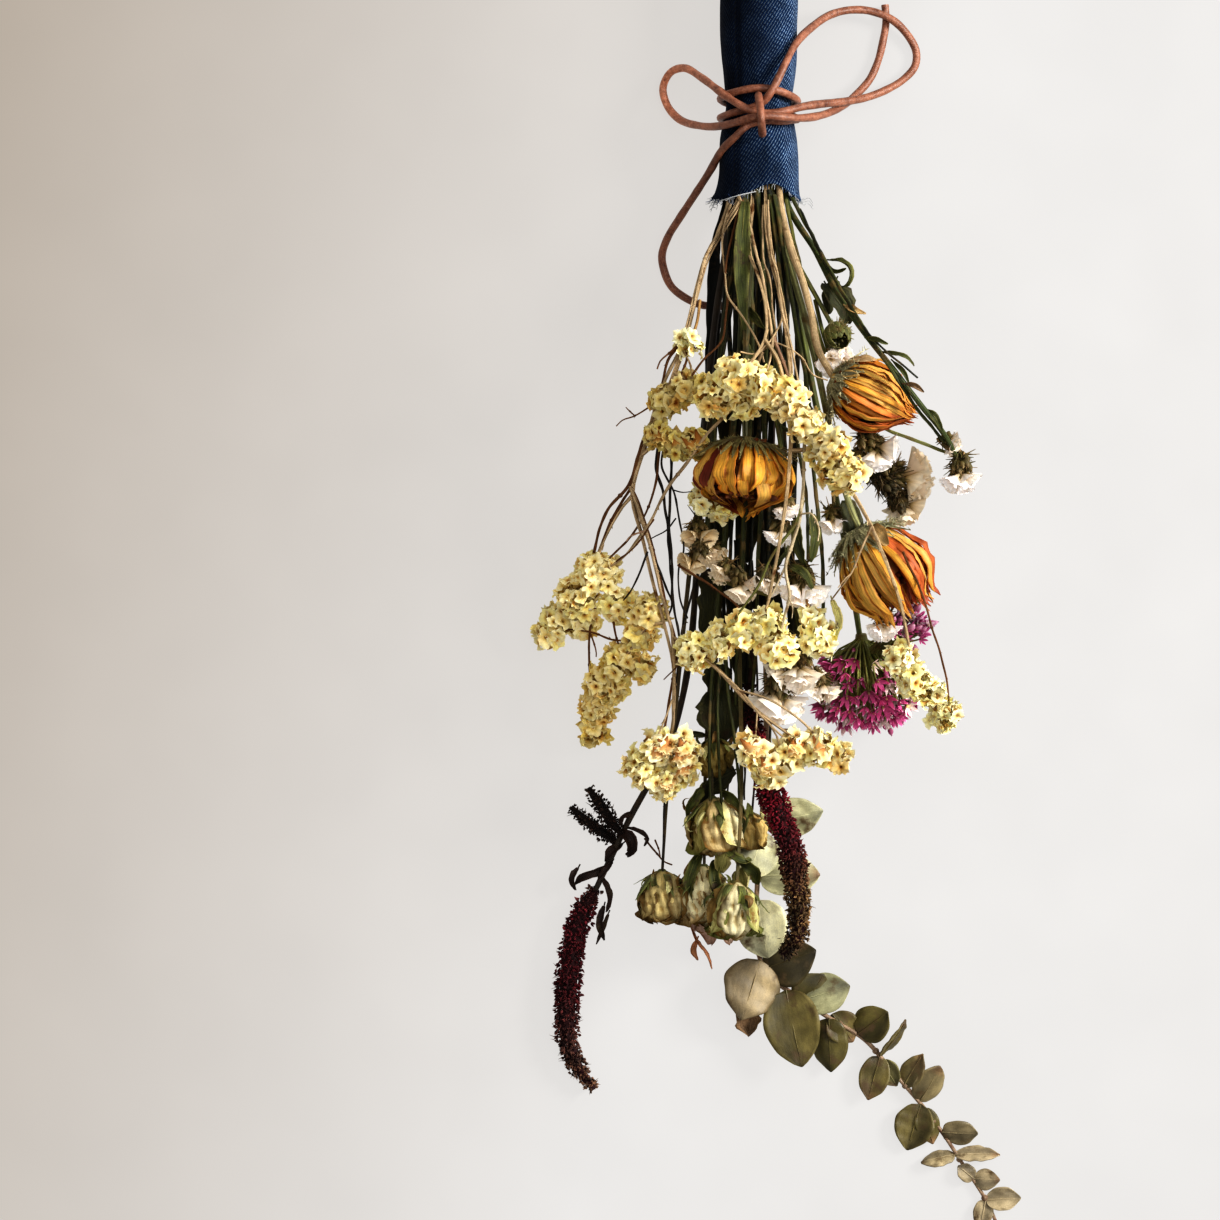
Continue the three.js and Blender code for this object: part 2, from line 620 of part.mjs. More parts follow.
const HEAD_ON = {
  strawflower_head_1: 'strawflower_stem_1',
  strawflower_head_2: 'strawflower_stem_2',
  strawflower_head_3: 'strawflower_stem_3',
  allium_head: 'allium_stem',
  rose_bud_2: 'rose_stem_2',
};

function headBalls() {
  return Object.entries(HEAD_ON).map(([name, on]) => {
    const { axis, radii } = HEADS[name];
    return { on, centre: seen(axis[2]), radius: 0.8 * radii[2] };
  });
}

function settledStems() {
  const stems = Object.entries(STEMS).map(([name, stem], order) => {
    const points = stemPoints(stem, order);
    const radii = points.map((point, i) => radiusAlong(stem.radius, i, points.length));
    return { name, points, radii };
  });
  settle(stems, headBalls());
  return new Map(stems.map((stem) => [stem.name, stem]));
}

// A side twig starts at the stem's nearest point to where its route begins
function twig(stem, places, grow) {
  const points = evenPoints(curveThrough(places), STEM_STEP);
  const nearest = stem.points.reduce((best, point) => (
    point.distanceTo(points[0]) < best.distanceTo(points[0]) ? point : best));
  points[0] = nearest.clone();
  const radii = points.map((point, i) => THREE.MathUtils.lerp(1.0, 0.7, i / (points.length - 1)));
  return rod(points, radii, 4, grow);
}

function stemSolid(stem, twigs, grow) {
  return twigs.reduce(
    (solid, places) => solid.add(twig(stem, places, grow)),
    rod(stem.points, stem.radii, 5, grow),
  );
}

// Leaves

function leafOutline(length, width) {
  const half = width / 2;
  const outline = new THREE.Shape();
  outline.moveTo(-0.08 * width, 0);
  outline.bezierCurveTo(-half * 1.25, 0.08 * length, -half * 1.3, 0.75 * length, 0, length);
  outline.bezierCurveTo(half * 1.3, 0.75 * length, half * 1.25, 0.08 * length, 0.08 * width, 0);
  outline.closePath();
  return outline;
}

function leaf({ base, tip, width, roll }, grow = 0) {
  const start = seen(base);
  const along = seen(tip).sub(start);
  const length = along.length();
  const thickness = LEAF_THICKNESS + 2 * grow;
  const blade = new THREE.ExtrudeGeometry(leafOutline(length + 2 * grow, width + 2 * grow), {
    depth: thickness, bevelEnabled: false, curveSegments: 4,
  });
  blade.translate(0, -grow, -thickness / 2);
  along.normalize();
  const across = along.clone().cross(new THREE.Vector3(0, 0, 1)).normalize();
  across.applyAxisAngle(along, THREE.MathUtils.degToRad(roll));
  const face = across.clone().cross(along);
  blade.applyMatrix4(new THREE.Matrix4().makeBasis(across, along, face).setPosition(start));
  return toSolid(blade);
}

function strapLeaf(grow = 0) {
  const points = STRAP_LEAF.map(([place]) => seen(place));
  const last = points.length - 1;
  const profile = [new THREE.Vector2(0, -grow)];
  points.forEach((point, i) => profile.push(new THREE.Vector2(1, i)));
  profile.push(new THREE.Vector2(0, last + grow));
  const blade = new THREE.LatheGeometry(profile, 8);
  const position = blade.attributes.position;
  for (let i = 0; i < position.count; i += 1) {
    const station = THREE.MathUtils.clamp(Math.round(position.getY(i)), 0, last);
    const [, halfWidth, halfThickness] = STRAP_LEAF[station];
    position.setX(i, position.getX(i) * (halfWidth + grow));
    position.setZ(i, position.getZ(i) * (halfThickness + grow));
  }
  return toSolid(bendAlong(blade, points));
}

// Flower heads and blooms

function head({ axis, radii }, grow = 0) {
  return lump(axis.map(seen), radii, 10, grow);
}

function bloom({ axis, radius }, grow = 0) {
  const points = evenPoints(curveThrough(axis), 8);
  const last = points.length - 1;
  const radii = points.map((point, i) => radius * (i === 0 || i === last ? 0.62 : 1));
  return lump(points, radii, 8, grow);
}

// Cord

function cordTube(places, step, grow = 0) {
  const curve = curveThrough(places);
  const radius = CORD_DIAMETER / 2 + grow;
  const section = new THREE.Shape(Array.from({ length: CORD_SIDES }, (_, i) => {
    const angle = (i + 0.5) * 2 * Math.PI / CORD_SIDES;
    return new THREE.Vector2(radius * Math.cos(angle), radius * Math.sin(angle));
  }));
  return toSolid(new THREE.ExtrudeGeometry(section, {
    steps: Math.round(curve.getLength() / step),
    bevelEnabled: false,
    extrudePath: curve,
  }));
}

// Assembly

const stems = settledStems();
const placed = [];
const swag = new THREE.Group();
swag.name = 'dried_flower_swag';

function boxesMeet(a, b) {
  return [0, 1, 2].every((axis) => a.min[axis] <= b.max[axis] && b.min[axis] <= a.max[axis]);
}

// Adds a piece, cut back by CLEARANCE where it meets a piece that is already there
function place(name, colour, make) {
  let solid = make(0);
  for (const other of placed) {
    if (boxesMeet(solid.boundingBox(), other.boundingBox())) {
      solid = solid.subtract(other);
    }
  }
  const bodies = solid.decompose().sort((a, b) => b.volume() - a.volume());
  placed.push(make(CLEARANCE));
  const material = new THREE.MeshStandardMaterial({ ...COLOURS[colour], metalness: 0 });
  const mesh = new THREE.Mesh(toGeometry(bodies[0]), material);
  mesh.name = name;
  swag.add(mesh);
}

place('denim_wrap', 'denim', denimWrap);
place('leather_cord', 'leather', (grow) => cordTube(CORD_ROUTE, 2.5 * CORD_DIAMETER, grow));
place('leather_knot', 'leather', (grow) => cordTube(KNOT_ROUTE, 2.4, grow));
for (const [name, { colour, twigs = [] }] of Object.entries(STEMS)) {
  const grown = (grow) => (name === 'eucalyptus_stem'
    ? TIP_LEAVES.reduce((solid, blade) => solid.add(leaf(blade, grow)), stemSolid(stems.get(name), [], grow))
    : stemSolid(stems.get(name), twigs, grow));
  place(name, colour, grown);
}
place('strap_leaf', 'dark', strapLeaf);
for (const [name, shape] of Object.entries(HEADS)) {
  place(name, shape.colour, (grow) => head(shape, grow));
}
EUCALYPTUS_LEAVES.forEach((blade, i) => {
  place(`eucalyptus_leaf_${i + 1}`, 'leaf', (grow) => leaf(blade, grow));
});
for (const [name, shape] of Object.entries(BLOOMS)) {
  place(name, shape.colour, (grow) => bloom(shape, grow));
}

export default swag;
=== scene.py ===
"""A dried flower swag that lies on its back on a flat surface, seen from straight above.

Places are worked out in millimetres, as in the construction model, and become metres in the meshes.
"""

import json
import math

import bpy
import numpy as np
from mathutils import Vector
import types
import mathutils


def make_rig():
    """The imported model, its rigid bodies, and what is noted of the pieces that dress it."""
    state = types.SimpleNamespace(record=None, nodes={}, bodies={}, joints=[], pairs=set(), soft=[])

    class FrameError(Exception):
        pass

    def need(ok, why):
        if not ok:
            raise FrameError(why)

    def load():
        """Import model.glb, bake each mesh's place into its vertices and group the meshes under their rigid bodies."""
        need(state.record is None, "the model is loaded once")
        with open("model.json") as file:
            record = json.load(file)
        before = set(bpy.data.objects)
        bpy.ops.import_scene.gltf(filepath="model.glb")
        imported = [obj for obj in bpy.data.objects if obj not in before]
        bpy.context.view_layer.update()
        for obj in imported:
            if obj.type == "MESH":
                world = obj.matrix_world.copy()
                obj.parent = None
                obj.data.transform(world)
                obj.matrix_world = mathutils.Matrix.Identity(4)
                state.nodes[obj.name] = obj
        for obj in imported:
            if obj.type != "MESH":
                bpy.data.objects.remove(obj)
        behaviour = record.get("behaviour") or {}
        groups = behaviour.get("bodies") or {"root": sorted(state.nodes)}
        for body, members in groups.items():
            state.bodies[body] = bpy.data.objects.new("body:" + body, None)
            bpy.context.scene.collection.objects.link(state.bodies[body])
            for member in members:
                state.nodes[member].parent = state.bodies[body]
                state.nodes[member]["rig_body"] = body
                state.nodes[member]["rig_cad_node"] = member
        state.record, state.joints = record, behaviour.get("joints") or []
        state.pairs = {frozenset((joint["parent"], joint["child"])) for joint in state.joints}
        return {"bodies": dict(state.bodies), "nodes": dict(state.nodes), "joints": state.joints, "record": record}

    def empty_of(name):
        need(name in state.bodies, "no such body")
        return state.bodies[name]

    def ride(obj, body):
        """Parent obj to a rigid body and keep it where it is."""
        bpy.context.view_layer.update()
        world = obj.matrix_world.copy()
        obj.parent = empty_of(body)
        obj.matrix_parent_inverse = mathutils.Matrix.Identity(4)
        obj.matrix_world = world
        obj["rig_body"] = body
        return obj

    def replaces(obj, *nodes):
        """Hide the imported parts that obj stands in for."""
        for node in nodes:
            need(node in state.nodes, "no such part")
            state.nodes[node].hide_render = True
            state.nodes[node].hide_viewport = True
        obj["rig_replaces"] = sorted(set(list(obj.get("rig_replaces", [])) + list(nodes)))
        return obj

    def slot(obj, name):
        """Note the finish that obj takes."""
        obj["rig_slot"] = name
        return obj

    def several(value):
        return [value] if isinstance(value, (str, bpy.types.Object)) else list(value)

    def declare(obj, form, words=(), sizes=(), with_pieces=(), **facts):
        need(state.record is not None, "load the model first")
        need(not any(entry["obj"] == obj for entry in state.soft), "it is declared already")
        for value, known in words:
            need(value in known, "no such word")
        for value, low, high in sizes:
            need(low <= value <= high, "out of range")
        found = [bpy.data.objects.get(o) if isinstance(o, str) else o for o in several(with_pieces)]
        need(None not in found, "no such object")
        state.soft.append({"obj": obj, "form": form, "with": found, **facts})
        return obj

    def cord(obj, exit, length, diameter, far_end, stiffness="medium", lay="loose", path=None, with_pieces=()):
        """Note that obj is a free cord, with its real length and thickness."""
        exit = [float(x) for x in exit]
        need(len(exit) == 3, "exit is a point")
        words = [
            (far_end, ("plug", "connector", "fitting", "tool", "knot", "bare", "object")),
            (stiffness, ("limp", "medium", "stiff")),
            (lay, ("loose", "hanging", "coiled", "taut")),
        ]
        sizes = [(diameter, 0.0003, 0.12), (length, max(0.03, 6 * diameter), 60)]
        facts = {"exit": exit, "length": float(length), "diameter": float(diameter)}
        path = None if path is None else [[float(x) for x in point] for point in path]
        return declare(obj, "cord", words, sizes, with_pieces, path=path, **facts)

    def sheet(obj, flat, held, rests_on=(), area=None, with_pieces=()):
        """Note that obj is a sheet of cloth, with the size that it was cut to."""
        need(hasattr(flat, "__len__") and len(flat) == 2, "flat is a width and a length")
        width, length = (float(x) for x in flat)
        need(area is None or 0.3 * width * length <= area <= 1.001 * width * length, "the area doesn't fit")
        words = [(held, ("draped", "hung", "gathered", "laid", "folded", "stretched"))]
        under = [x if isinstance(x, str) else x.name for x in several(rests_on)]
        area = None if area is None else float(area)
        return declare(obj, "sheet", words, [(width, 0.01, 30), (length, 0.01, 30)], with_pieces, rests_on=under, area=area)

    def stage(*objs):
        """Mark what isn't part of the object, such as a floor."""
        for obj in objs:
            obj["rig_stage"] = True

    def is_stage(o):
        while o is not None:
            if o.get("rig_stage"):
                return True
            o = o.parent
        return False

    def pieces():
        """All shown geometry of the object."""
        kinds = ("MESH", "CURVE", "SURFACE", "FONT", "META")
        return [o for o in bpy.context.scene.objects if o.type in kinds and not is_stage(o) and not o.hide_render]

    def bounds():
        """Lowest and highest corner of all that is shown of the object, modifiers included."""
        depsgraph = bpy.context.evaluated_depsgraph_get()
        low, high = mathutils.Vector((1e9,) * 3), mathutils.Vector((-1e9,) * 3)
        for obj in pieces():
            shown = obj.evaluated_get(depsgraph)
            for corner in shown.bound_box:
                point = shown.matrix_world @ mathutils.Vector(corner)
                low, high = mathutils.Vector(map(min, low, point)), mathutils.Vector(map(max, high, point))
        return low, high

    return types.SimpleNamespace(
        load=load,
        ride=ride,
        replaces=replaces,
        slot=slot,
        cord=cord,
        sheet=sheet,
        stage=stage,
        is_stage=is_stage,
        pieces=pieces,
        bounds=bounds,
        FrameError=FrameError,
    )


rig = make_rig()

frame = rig.load()
cad_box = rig.bounds()

MM = 0.001
PI = math.pi
UP = (0, 0, 1.0)
LOWEST = 0.08

# Layout, the same as the construction model's
VIEW_SIZE = 1220
VIEW_SCALE = 0.412
EYE_HEIGHT = 1500
ORIGIN_COLUMN = 779.65
ORIGIN_ROW = 531.3
SLEEVE_WALL = 1.2
SLEEVE_END_HEIGHT = 14.03
SLEEVE_RISE = 9.4
SLEEVE_COLUMN = 759
STEM_BASE_RADIUS = 1.65
STEM_SLOT_GAP = 0.35
STEM_STEP = 17
CORD_DIAMETER = 3.2


def seen(places):
    """Real places of [column, row, height]: where a point shows from straight above, and its height."""
    places = np.asarray(places, float)
    scale = VIEW_SCALE * (1 - places[..., 2] / EYE_HEIGHT)
    middle = VIEW_SIZE / 2
    x = VIEW_SCALE * (middle - ORIGIN_COLUMN) + scale * (places[..., 0] - middle)
    y = VIEW_SCALE * (ORIGIN_ROW - middle) - scale * (places[..., 1] - middle)
    return np.stack([x, y, places[..., 2]], axis=-1)


# Directions and lines


def unit(v):
    return v / np.maximum(np.linalg.norm(v, axis=-1, keepdims=True), 1e-9)


def turned(a, b, angle):
    """Two directions at right angles, both turned by an angle, the first towards the second."""
    kit = np if isinstance(angle, np.ndarray) else math
    cos, sin = kit.cos(angle), kit.sin(angle)
    return a * cos + b * sin, b * cos - a * sin


def square_to(directions):
    """Two unit vectors at right angles to each direction."""
    helper = np.where(np.abs(directions[:, 2:3]) > 0.9, [[1.0, 0, 0]], [[0.0, 0, 1]])
    x = unit(np.cross(helper, directions))
    return x, np.cross(directions, x)


def level_frame(along):
    """The level direction across each direction, and the one that faces up from both."""
    across = unit(np.cross(along, UP))
    return across, np.cross(across, along)


def keep_above(points, height):
    """Moves up, in place, the points that are lower than a height."""
    points[..., 2] = np.maximum(points[..., 2], height)


def lengths_along(line):
    return np.r_[0, np.cumsum(np.linalg.norm(np.diff(line, axis=0), axis=1))]


def spread(values, count):
    """Evenly set values, read again at count even places."""
    return np.interp(np.linspace(0, 1, count), np.linspace(0, 1, len(values)), values)


def nearest(line, place):
    return line[np.argmin(np.linalg.norm(line - place, axis=1))]


def line_through(points, dense=16):
    """A smooth centripetal line through the points, with many points for each stretch."""
    p = np.asarray(points, float)
    p = np.vstack([2 * p[0] - p[1], p, 2 * p[-1] - p[-2]])
    d = np.sqrt(np.linalg.norm(np.diff(p, axis=0), axis=1))[:, None]
    p0, p1, p2, p3 = p[:-3], p[1:-2], p[2:-1], p[3:]
    d0, d1, d2 = d[:-2], d[1:-1], d[2:]
    m1 = p2 - p1 + d1 * ((p1 - p0) / d0 - (p2 - p0) / (d0 + d1))
    m2 = p2 - p1 + d1 * ((p3 - p2) / d2 - (p3 - p1) / (d1 + d2))
    t = (np.arange(dense) / dense)[None, :, None]
    a, b, u, v = p1[:, None], p2[:, None], m1[:, None], m2[:, None]
    body = a + u * t + (3 * (b - a) - 2 * u - v) * t**2 + (2 * (a - b) + u + v) * t**3
    return np.vstack([body.reshape(-1, 3), p2[-1:]])


def evenly(line, step=None, count=None):
    """The line again, with its points about step apart, or count of them."""
    along = lengths_along(line)
    count = count or max(2, round(along[-1] / step)) + 1
    at = np.linspace(0, along[-1], count)
    return np.stack([np.interp(at, along, line[:, k]) for k in range(line.shape[1])], axis=1)


def route_line(places, step=None, count=None):
    """An even line through places given as [column, row, height]."""
    return evenly(line_through(seen(places)), step, count)


def frames_along(line):
    """Unit vectors (side, up, along) that follow a line without twisting."""
    along = unit(np.gradient(line, axis=0))
    side = np.zeros_like(line)
    first = np.array([0.0, 0, 1]) if abs(along[0][0]) > 0.9 else np.array([1.0, 0, 0])
    for i, a in enumerate(along):
        first = unit(first - a * first.dot(a))
        side[i] = first
    return side, np.cross(side, along), along


def ripple(points, wave, seed):
    """A smooth uneven field over space, mostly from -1 to 1. wave is the size of its swells."""
    waves = 8
    rng = np.random.default_rng(seed)
    turn = unit(rng.normal(size=(waves, 3))) * (2 * PI / (wave * rng.uniform(0.6, 1.7, (waves, 1))))
    return np.sin(points @ turn.T + rng.uniform(0, 2 * PI, waves)).sum(-1) / math.sqrt(waves)


# Meshes


def linked(name, data):
    made = bpy.data.objects.new(name, data)
    bpy.context.scene.collection.objects.link(made)
    return made


def settle_in(made, slot, replaces):
    """Lets an object ride on the body, take its slot and stand for its construction nodes."""
    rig.ride(made, "root")
    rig.slot(made, slot)
    if replaces:
        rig.replaces(made, *replaces)


class Piece:
    """Collects surfaces: points in millimetres, faces, and for each point a tint and a grain place."""

    def __init__(self):
        self.points, self.tints, self.grains, self.faces, self.finishes = [], [], [], [], []
        self.count = 0

    def add(self, points, faces, tint, grain=None, finish=0):
        points = np.asarray(points, float).reshape(-1, 3)
        faces = np.asarray(faces, int)
        grain = np.zeros((len(points), 2)) if grain is None else np.reshape(grain, (-1, 2))
        self.points.append(points)
        self.tints.append(np.broadcast_to(np.asarray(tint, float), (len(points), 3)))
        self.grains.append(grain)
        self.faces.append(faces + self.count)
        self.finishes.append(np.full(len(faces), finish))
        self.count += len(points)

    def build(self, name, slot, finishes, replaces=()):
        """Makes the object and lets it ride on the part's one body."""
        corners = np.concatenate([f.ravel() for f in self.faces])
        sizes = np.concatenate([np.full(len(f), f.shape[1]) for f in self.faces])
        mesh = bpy.data.meshes.new(name)
        mesh.vertices.add(self.count)
        points = np.vstack(self.points)
        keep_above(points, LOWEST)
        mesh.vertices.foreach_set("co", (points * MM).astype(np.float32).ravel())
        mesh.loops.add(len(corners))
        mesh.loops.foreach_set("vertex_index", corners)
        mesh.polygons.add(len(sizes))
        mesh.polygons.foreach_set("loop_start", np.r_[0, np.cumsum(sizes)[:-1]])
        mesh.polygons.foreach_set("material_index", np.concatenate(self.finishes))
        mesh.polygons.foreach_set("use_smooth", np.full(len(sizes), True))
        tint = mesh.attributes.new("tint", "FLOAT_COLOR", "POINT")
        tint.data.foreach_set("color", np.c_[np.vstack(self.tints), np.ones(self.count)].ravel())
        grain = mesh.uv_layers.new(name="grain")
        grain.data.foreach_set("uv", np.vstack(self.grains)[corners].ravel())
        for finish in finishes:
            mesh.materials.append(finish)
        mesh.update(calc_edges=True)
        mesh.validate()
        made = linked(name, mesh)
        settle_in(made, slot, replaces)
        return made


def lattice(rows, columns, closed=False):
    """Quads between rows of points. With closed, each row joins up with its own start."""
    i, j = np.meshgrid(np.arange(rows - 1), np.arange(columns - (not closed)), indexing="ij")
    i, j = i.ravel() * columns, j.ravel()
    k = (j + 1) % columns
    return np.stack([i + j, i + k, i + columns + k, i + columns + j], axis=1)


def round_angles(count):
    return np.arange(count) * 2 * PI / count


def tube(piece, line, radii, tint, sides, flutes=0, depth=0.0, twist=0.0, ends=True, finish=0):
    """A rod along a line, round or with flutes, with a radius and a tint at each point."""
    count = len(line)
    side, up, _ = frames_along(line)
    radii = np.broadcast_to(np.asarray(radii, float), (count,))
    angle = round_angles(sides) + np.arange(count)[:, None] * twist
    swell = np.ones(sides)
    if flutes:
        swell = 1 + depth * np.cos(flutes * np.arange(sides) * 2 * PI / sides)
    reach = radii[:, None] * swell
    rings = line[:, None] + reach[..., None] * (
        np.cos(angle)[..., None] * side[:, None] + np.sin(angle)[..., None] * up[:, None]
    )
    tint = np.broadcast_to(np.asarray(tint, float), (count, 3))
    around = np.arange(sides) * radii.max() * 2 * PI / sides
    grain = np.stack(np.broadcast_arrays(around, lengths_along(line)[:, None]), axis=-1)
    shade = np.repeat(tint[:, None], sides, axis=1)
    # Flutes are painted lighter on their ridges and darker in their grooves, as painted highlight and shade
    if flutes:
        shade = shade * (1 + 0.45 * (swell - 1) / max(depth, 1e-6))[None, :, None]
    piece.add(rings, lattice(count, sides, True), shade.reshape(-1, 3), grain, finish)
    if ends:
        ring = np.arange(sides)
        for i, turn in ((0, -1), (count - 1, 1)):
            cap = np.vstack([line[i], rings[i]])
            fan = np.stack([np.zeros(sides, int), 1 + ring, 1 + (ring + 1) % sides][::turn], axis=1)
            piece.add(cap, fan, tint[i] * 1.25, None, finish)


def blade(piece, spine, across, halves, face, cup, columns, tint, edge=None, thick=0.0, wave=0.0,
          wave_size=4.0, seed=0, finish=0, under=None, pleat=0.0, painted_light_slant=0.0):
    """A thin leaf or petal along a spine. across and face are unit vectors at each point or for all.

    cup lifts its edges as a share of its width. edge is the tint at the rim. under is the tint below.
    pleat is the depth of two folds along it, and slant paints one half lighter than the other, as painted light and
    shade.
    """
    count = len(spine)
    x = np.linspace(-1, 1, columns)
    halves = np.broadcast_to(np.asarray(halves, float), (count,))
    cup = np.broadcast_to(np.asarray(cup, float), (count,))
    across, face = np.broadcast_to(across, (count, 3)), np.broadcast_to(face, (count, 3))
    fold = np.clip(halves / halves.max(), 0, 1)[:, None] * np.cos(4 * PI * x) * (1 - x**4)
    points = (
        spine[:, None]
        + (halves[:, None] * x)[..., None] * across[:, None]
        + ((halves * cup)[:, None] * x**2)[..., None] * face[:, None]
        + pleat * fold[..., None] * face[:, None]
    )
    if wave:
        lift = ripple(points.reshape(-1, 3), wave_size, seed).reshape(count, columns)
        points = points + (wave * lift * (0.35 + 0.65 * np.abs(x)))[..., None] * face[:, None]
    grain = np.stack(np.broadcast_arrays(x * halves.max(), lengths_along(spine)[:, None]), axis=-1)
    tint = np.broadcast_to(np.asarray(tint, float), (count, 3))
    shade = np.repeat(tint[:, None], columns, axis=1)
    # Painted light on one half of the blade and painted shade on the other
    shade = shade * (1 + painted_light_slant * np.tanh(2.5 * x))[None, :, None]
    if edge is not None:
        rim = (np.abs(x) ** 4)[None, :, None]
        shade = shade * (1 - rim) + np.asarray(edge, float) * rim
    shade = shade.reshape(-1, 3)
    faces = lattice(count, columns)
    if not thick:
        piece.add(points, faces, shade, grain, finish)
        return
    lift = 0.5 * thick * face[:, None]
    both = np.concatenate([(points + lift).reshape(-1, 3), (points - lift).reshape(-1, 3)])
    below = shade if under is None else shade * 0.25 + np.asarray(under, float) * 0.75
    n = count * columns
    ring = np.r_[
        np.arange(columns), (np.arange(1, count) + 1) * columns - 1,
        (count - 1) * columns + np.arange(columns - 2, -1, -1), np.arange(count - 2, 0, -1) * columns,
    ]
    after = np.roll(ring, -1)
    sides = np.stack([ring, ring + n, after + n, after], axis=1)
    piece.add(
        both, np.vstack([faces, faces[:, ::-1] + n, sides]), np.vstack([shade, below]),
        np.concatenate([grain.reshape(-1, 2)] * 2), finish,
    )


def sticks(piece, starts, ends, thick, thin, tint, finish=0):
    """Many short straight four-sided stalks at once."""
    a, b = square_to(unit(ends - starts))
    corners = np.stack([a, b, -a, -b], axis=1)
    thick = np.broadcast_to(thick, (len(starts),))[:, None, None]
    thin = np.broadcast_to(thin, (len(starts),))[:, None, None]
    points = np.concatenate([starts[:, None] + thick * corners, ends[:, None] + thin * corners], axis=1)
    k = np.arange(4)
    sides = np.stack([k, (k + 1) % 4, 4 + (k + 1) % 4, 4 + k], axis=1)
    faces = (sides[None] + 8 * np.arange(len(starts))[:, None, None]).reshape(-1, 4)
    tint = np.broadcast_to(tint, (len(starts), 3))
    piece.add(points, faces, np.repeat(tint, 8, axis=0), None, finish)


# Small shapes that are stamped many times


def stamp(piece, shape, places, directions, sizes, rng, tints=None, finish=0):
    """Copies of one small shape, a (points, faces, tints), with its +Z turned to each direction."""
    if not len(places):
        return
    points, faces, shade = shape
    z = unit(np.asarray(directions, float))
    x, y = turned(*square_to(z), rng.uniform(0, 2 * PI, (len(z), 1)))
    sizes = np.broadcast_to(np.asarray(sizes, float), (len(places),))
    turns = np.stack([x, y, z], axis=2)
    copies = places[:, None] + sizes[:, None, None] * np.einsum("nij,kj->nki", turns, points)
    tints = np.ones((len(places), 3)) if tints is None else tints
    colours = (tints[:, None] * shade[None]).reshape(-1, 3)
    first = (np.arange(len(places)) * len(points))[:, None, None]
    piece.add(copies, (faces[None] + first).reshape(-1, faces.shape[1]), colours, None, finish)


def stamp_any(piece, shapes, places, directions, sizes, rng, tints):
    """Copies of several shapes, a random one at each place."""
    pick = rng.integers(len(shapes), size=len(places))
    for k, shape in enumerate(shapes):
        mine = pick == k
        stamp(piece, shape, places[mine], directions[mine], sizes[mine], rng, tints[mine])


def thin_out(places, spacing):
    """Which of the places to keep, in their order, so that none is nearer than spacing to another."""
    kept, grid = [], {}
    steps = (-1, 0, 1)
    for i, p in enumerate(places):
        cell = tuple((p // spacing).astype(int))
        near = (
            places[j]
            for a in steps for b in steps for c in steps
            for j in grid.get((cell[0] + a, cell[1] + b, cell[2] + c), ())
        )
        if all(((q - p) ** 2).sum() >= spacing**2 for q in near):
            kept.append(i)
            grid.setdefault(cell, []).append(i)
    return np.array(kept, int)


def sprinkle(line, radii, spacing, rng, tries=12):
    """Places about spacing apart over a swollen body along a line: (places, directions, shares)."""
    stops = 60
    last = stops - 1
    line, radii = evenly(line, count=stops), spread(radii, stops)
    side, up, along = frames_along(line)
    length = np.linalg.norm(np.diff(line, axis=0), axis=1).sum()
    area = length * 2 * PI * radii.mean()
    count = int(tries * area / spacing**2)
    weight = np.r_[0, np.cumsum(radii / radii.sum())]
    at = np.interp(rng.random(count), weight, np.linspace(0, last, stops + 1))
    at = np.clip(at, 0, last - 0.001)
    k, f = at.astype(int), (at % 1)[:, None]
    mix = lambda v: v[k] * (1 - f) + v[k + 1] * f
    out = unit(turned(mix(side), mix(up), rng.uniform(0, 2 * PI, count)[:, None])[0])
    lean = mix(np.gradient(radii, length / last)[:, None])
    places = mix(line) + mix(radii[:, None]) * out
    directions = unit(out - np.clip(lean, -2, 2) * mix(along))
    kept = thin_out(places, spacing)
    return places[kept], directions[kept], at[kept] / last


def over_balls(centres, radii, spacing, rng):
    """Places about spacing apart on the outside of a group of balls: (places, directions, balls)."""
    at, out, ball = [], [], []
    for k, (centre, radius) in enumerate(zip(centres, radii)):
        way = unit(rng.normal(size=(int(16 * 4 * PI * radius**2 / spacing**2), 3)))
        place = centre + radius * way
        for j, (other, reach) in enumerate(zip(centres, radii)):
            if j != k:
                clear = np.linalg.norm(place - other, axis=1) > 0.88 * reach
                place, way = place[clear], way[clear]
        at.append(place)
        out.append(way)
        ball.append(np.full(len(place), k))
    at, out, ball = np.vstack(at), np.vstack(out), np.concatenate(ball)
    order = rng.permutation(len(at))
    at, out, ball = at[order], out[order], ball[order]
    kept = thin_out(at, spacing)
    return at[kept], out[kept], ball[kept]


# Tables of the construction model, [column, row, height]

# The sleeve's row, half width and half depth
SLEEVE_RINGS = [
    [-165, 15.4, 14.2], [-100, 16.0, 14.2], [-20, 16.0, 14.0], [50, 15.8, 13.8], [84, 14.2, 12.6],
    [105, 13.2, 11.7], [124, 14.4, 12.6], [146, 16.0, 13.8], [200, 16.6, 14.0],
]
SLOT_ROWS = [-100, -20, 50, 84, 105, 124, 146, 200]

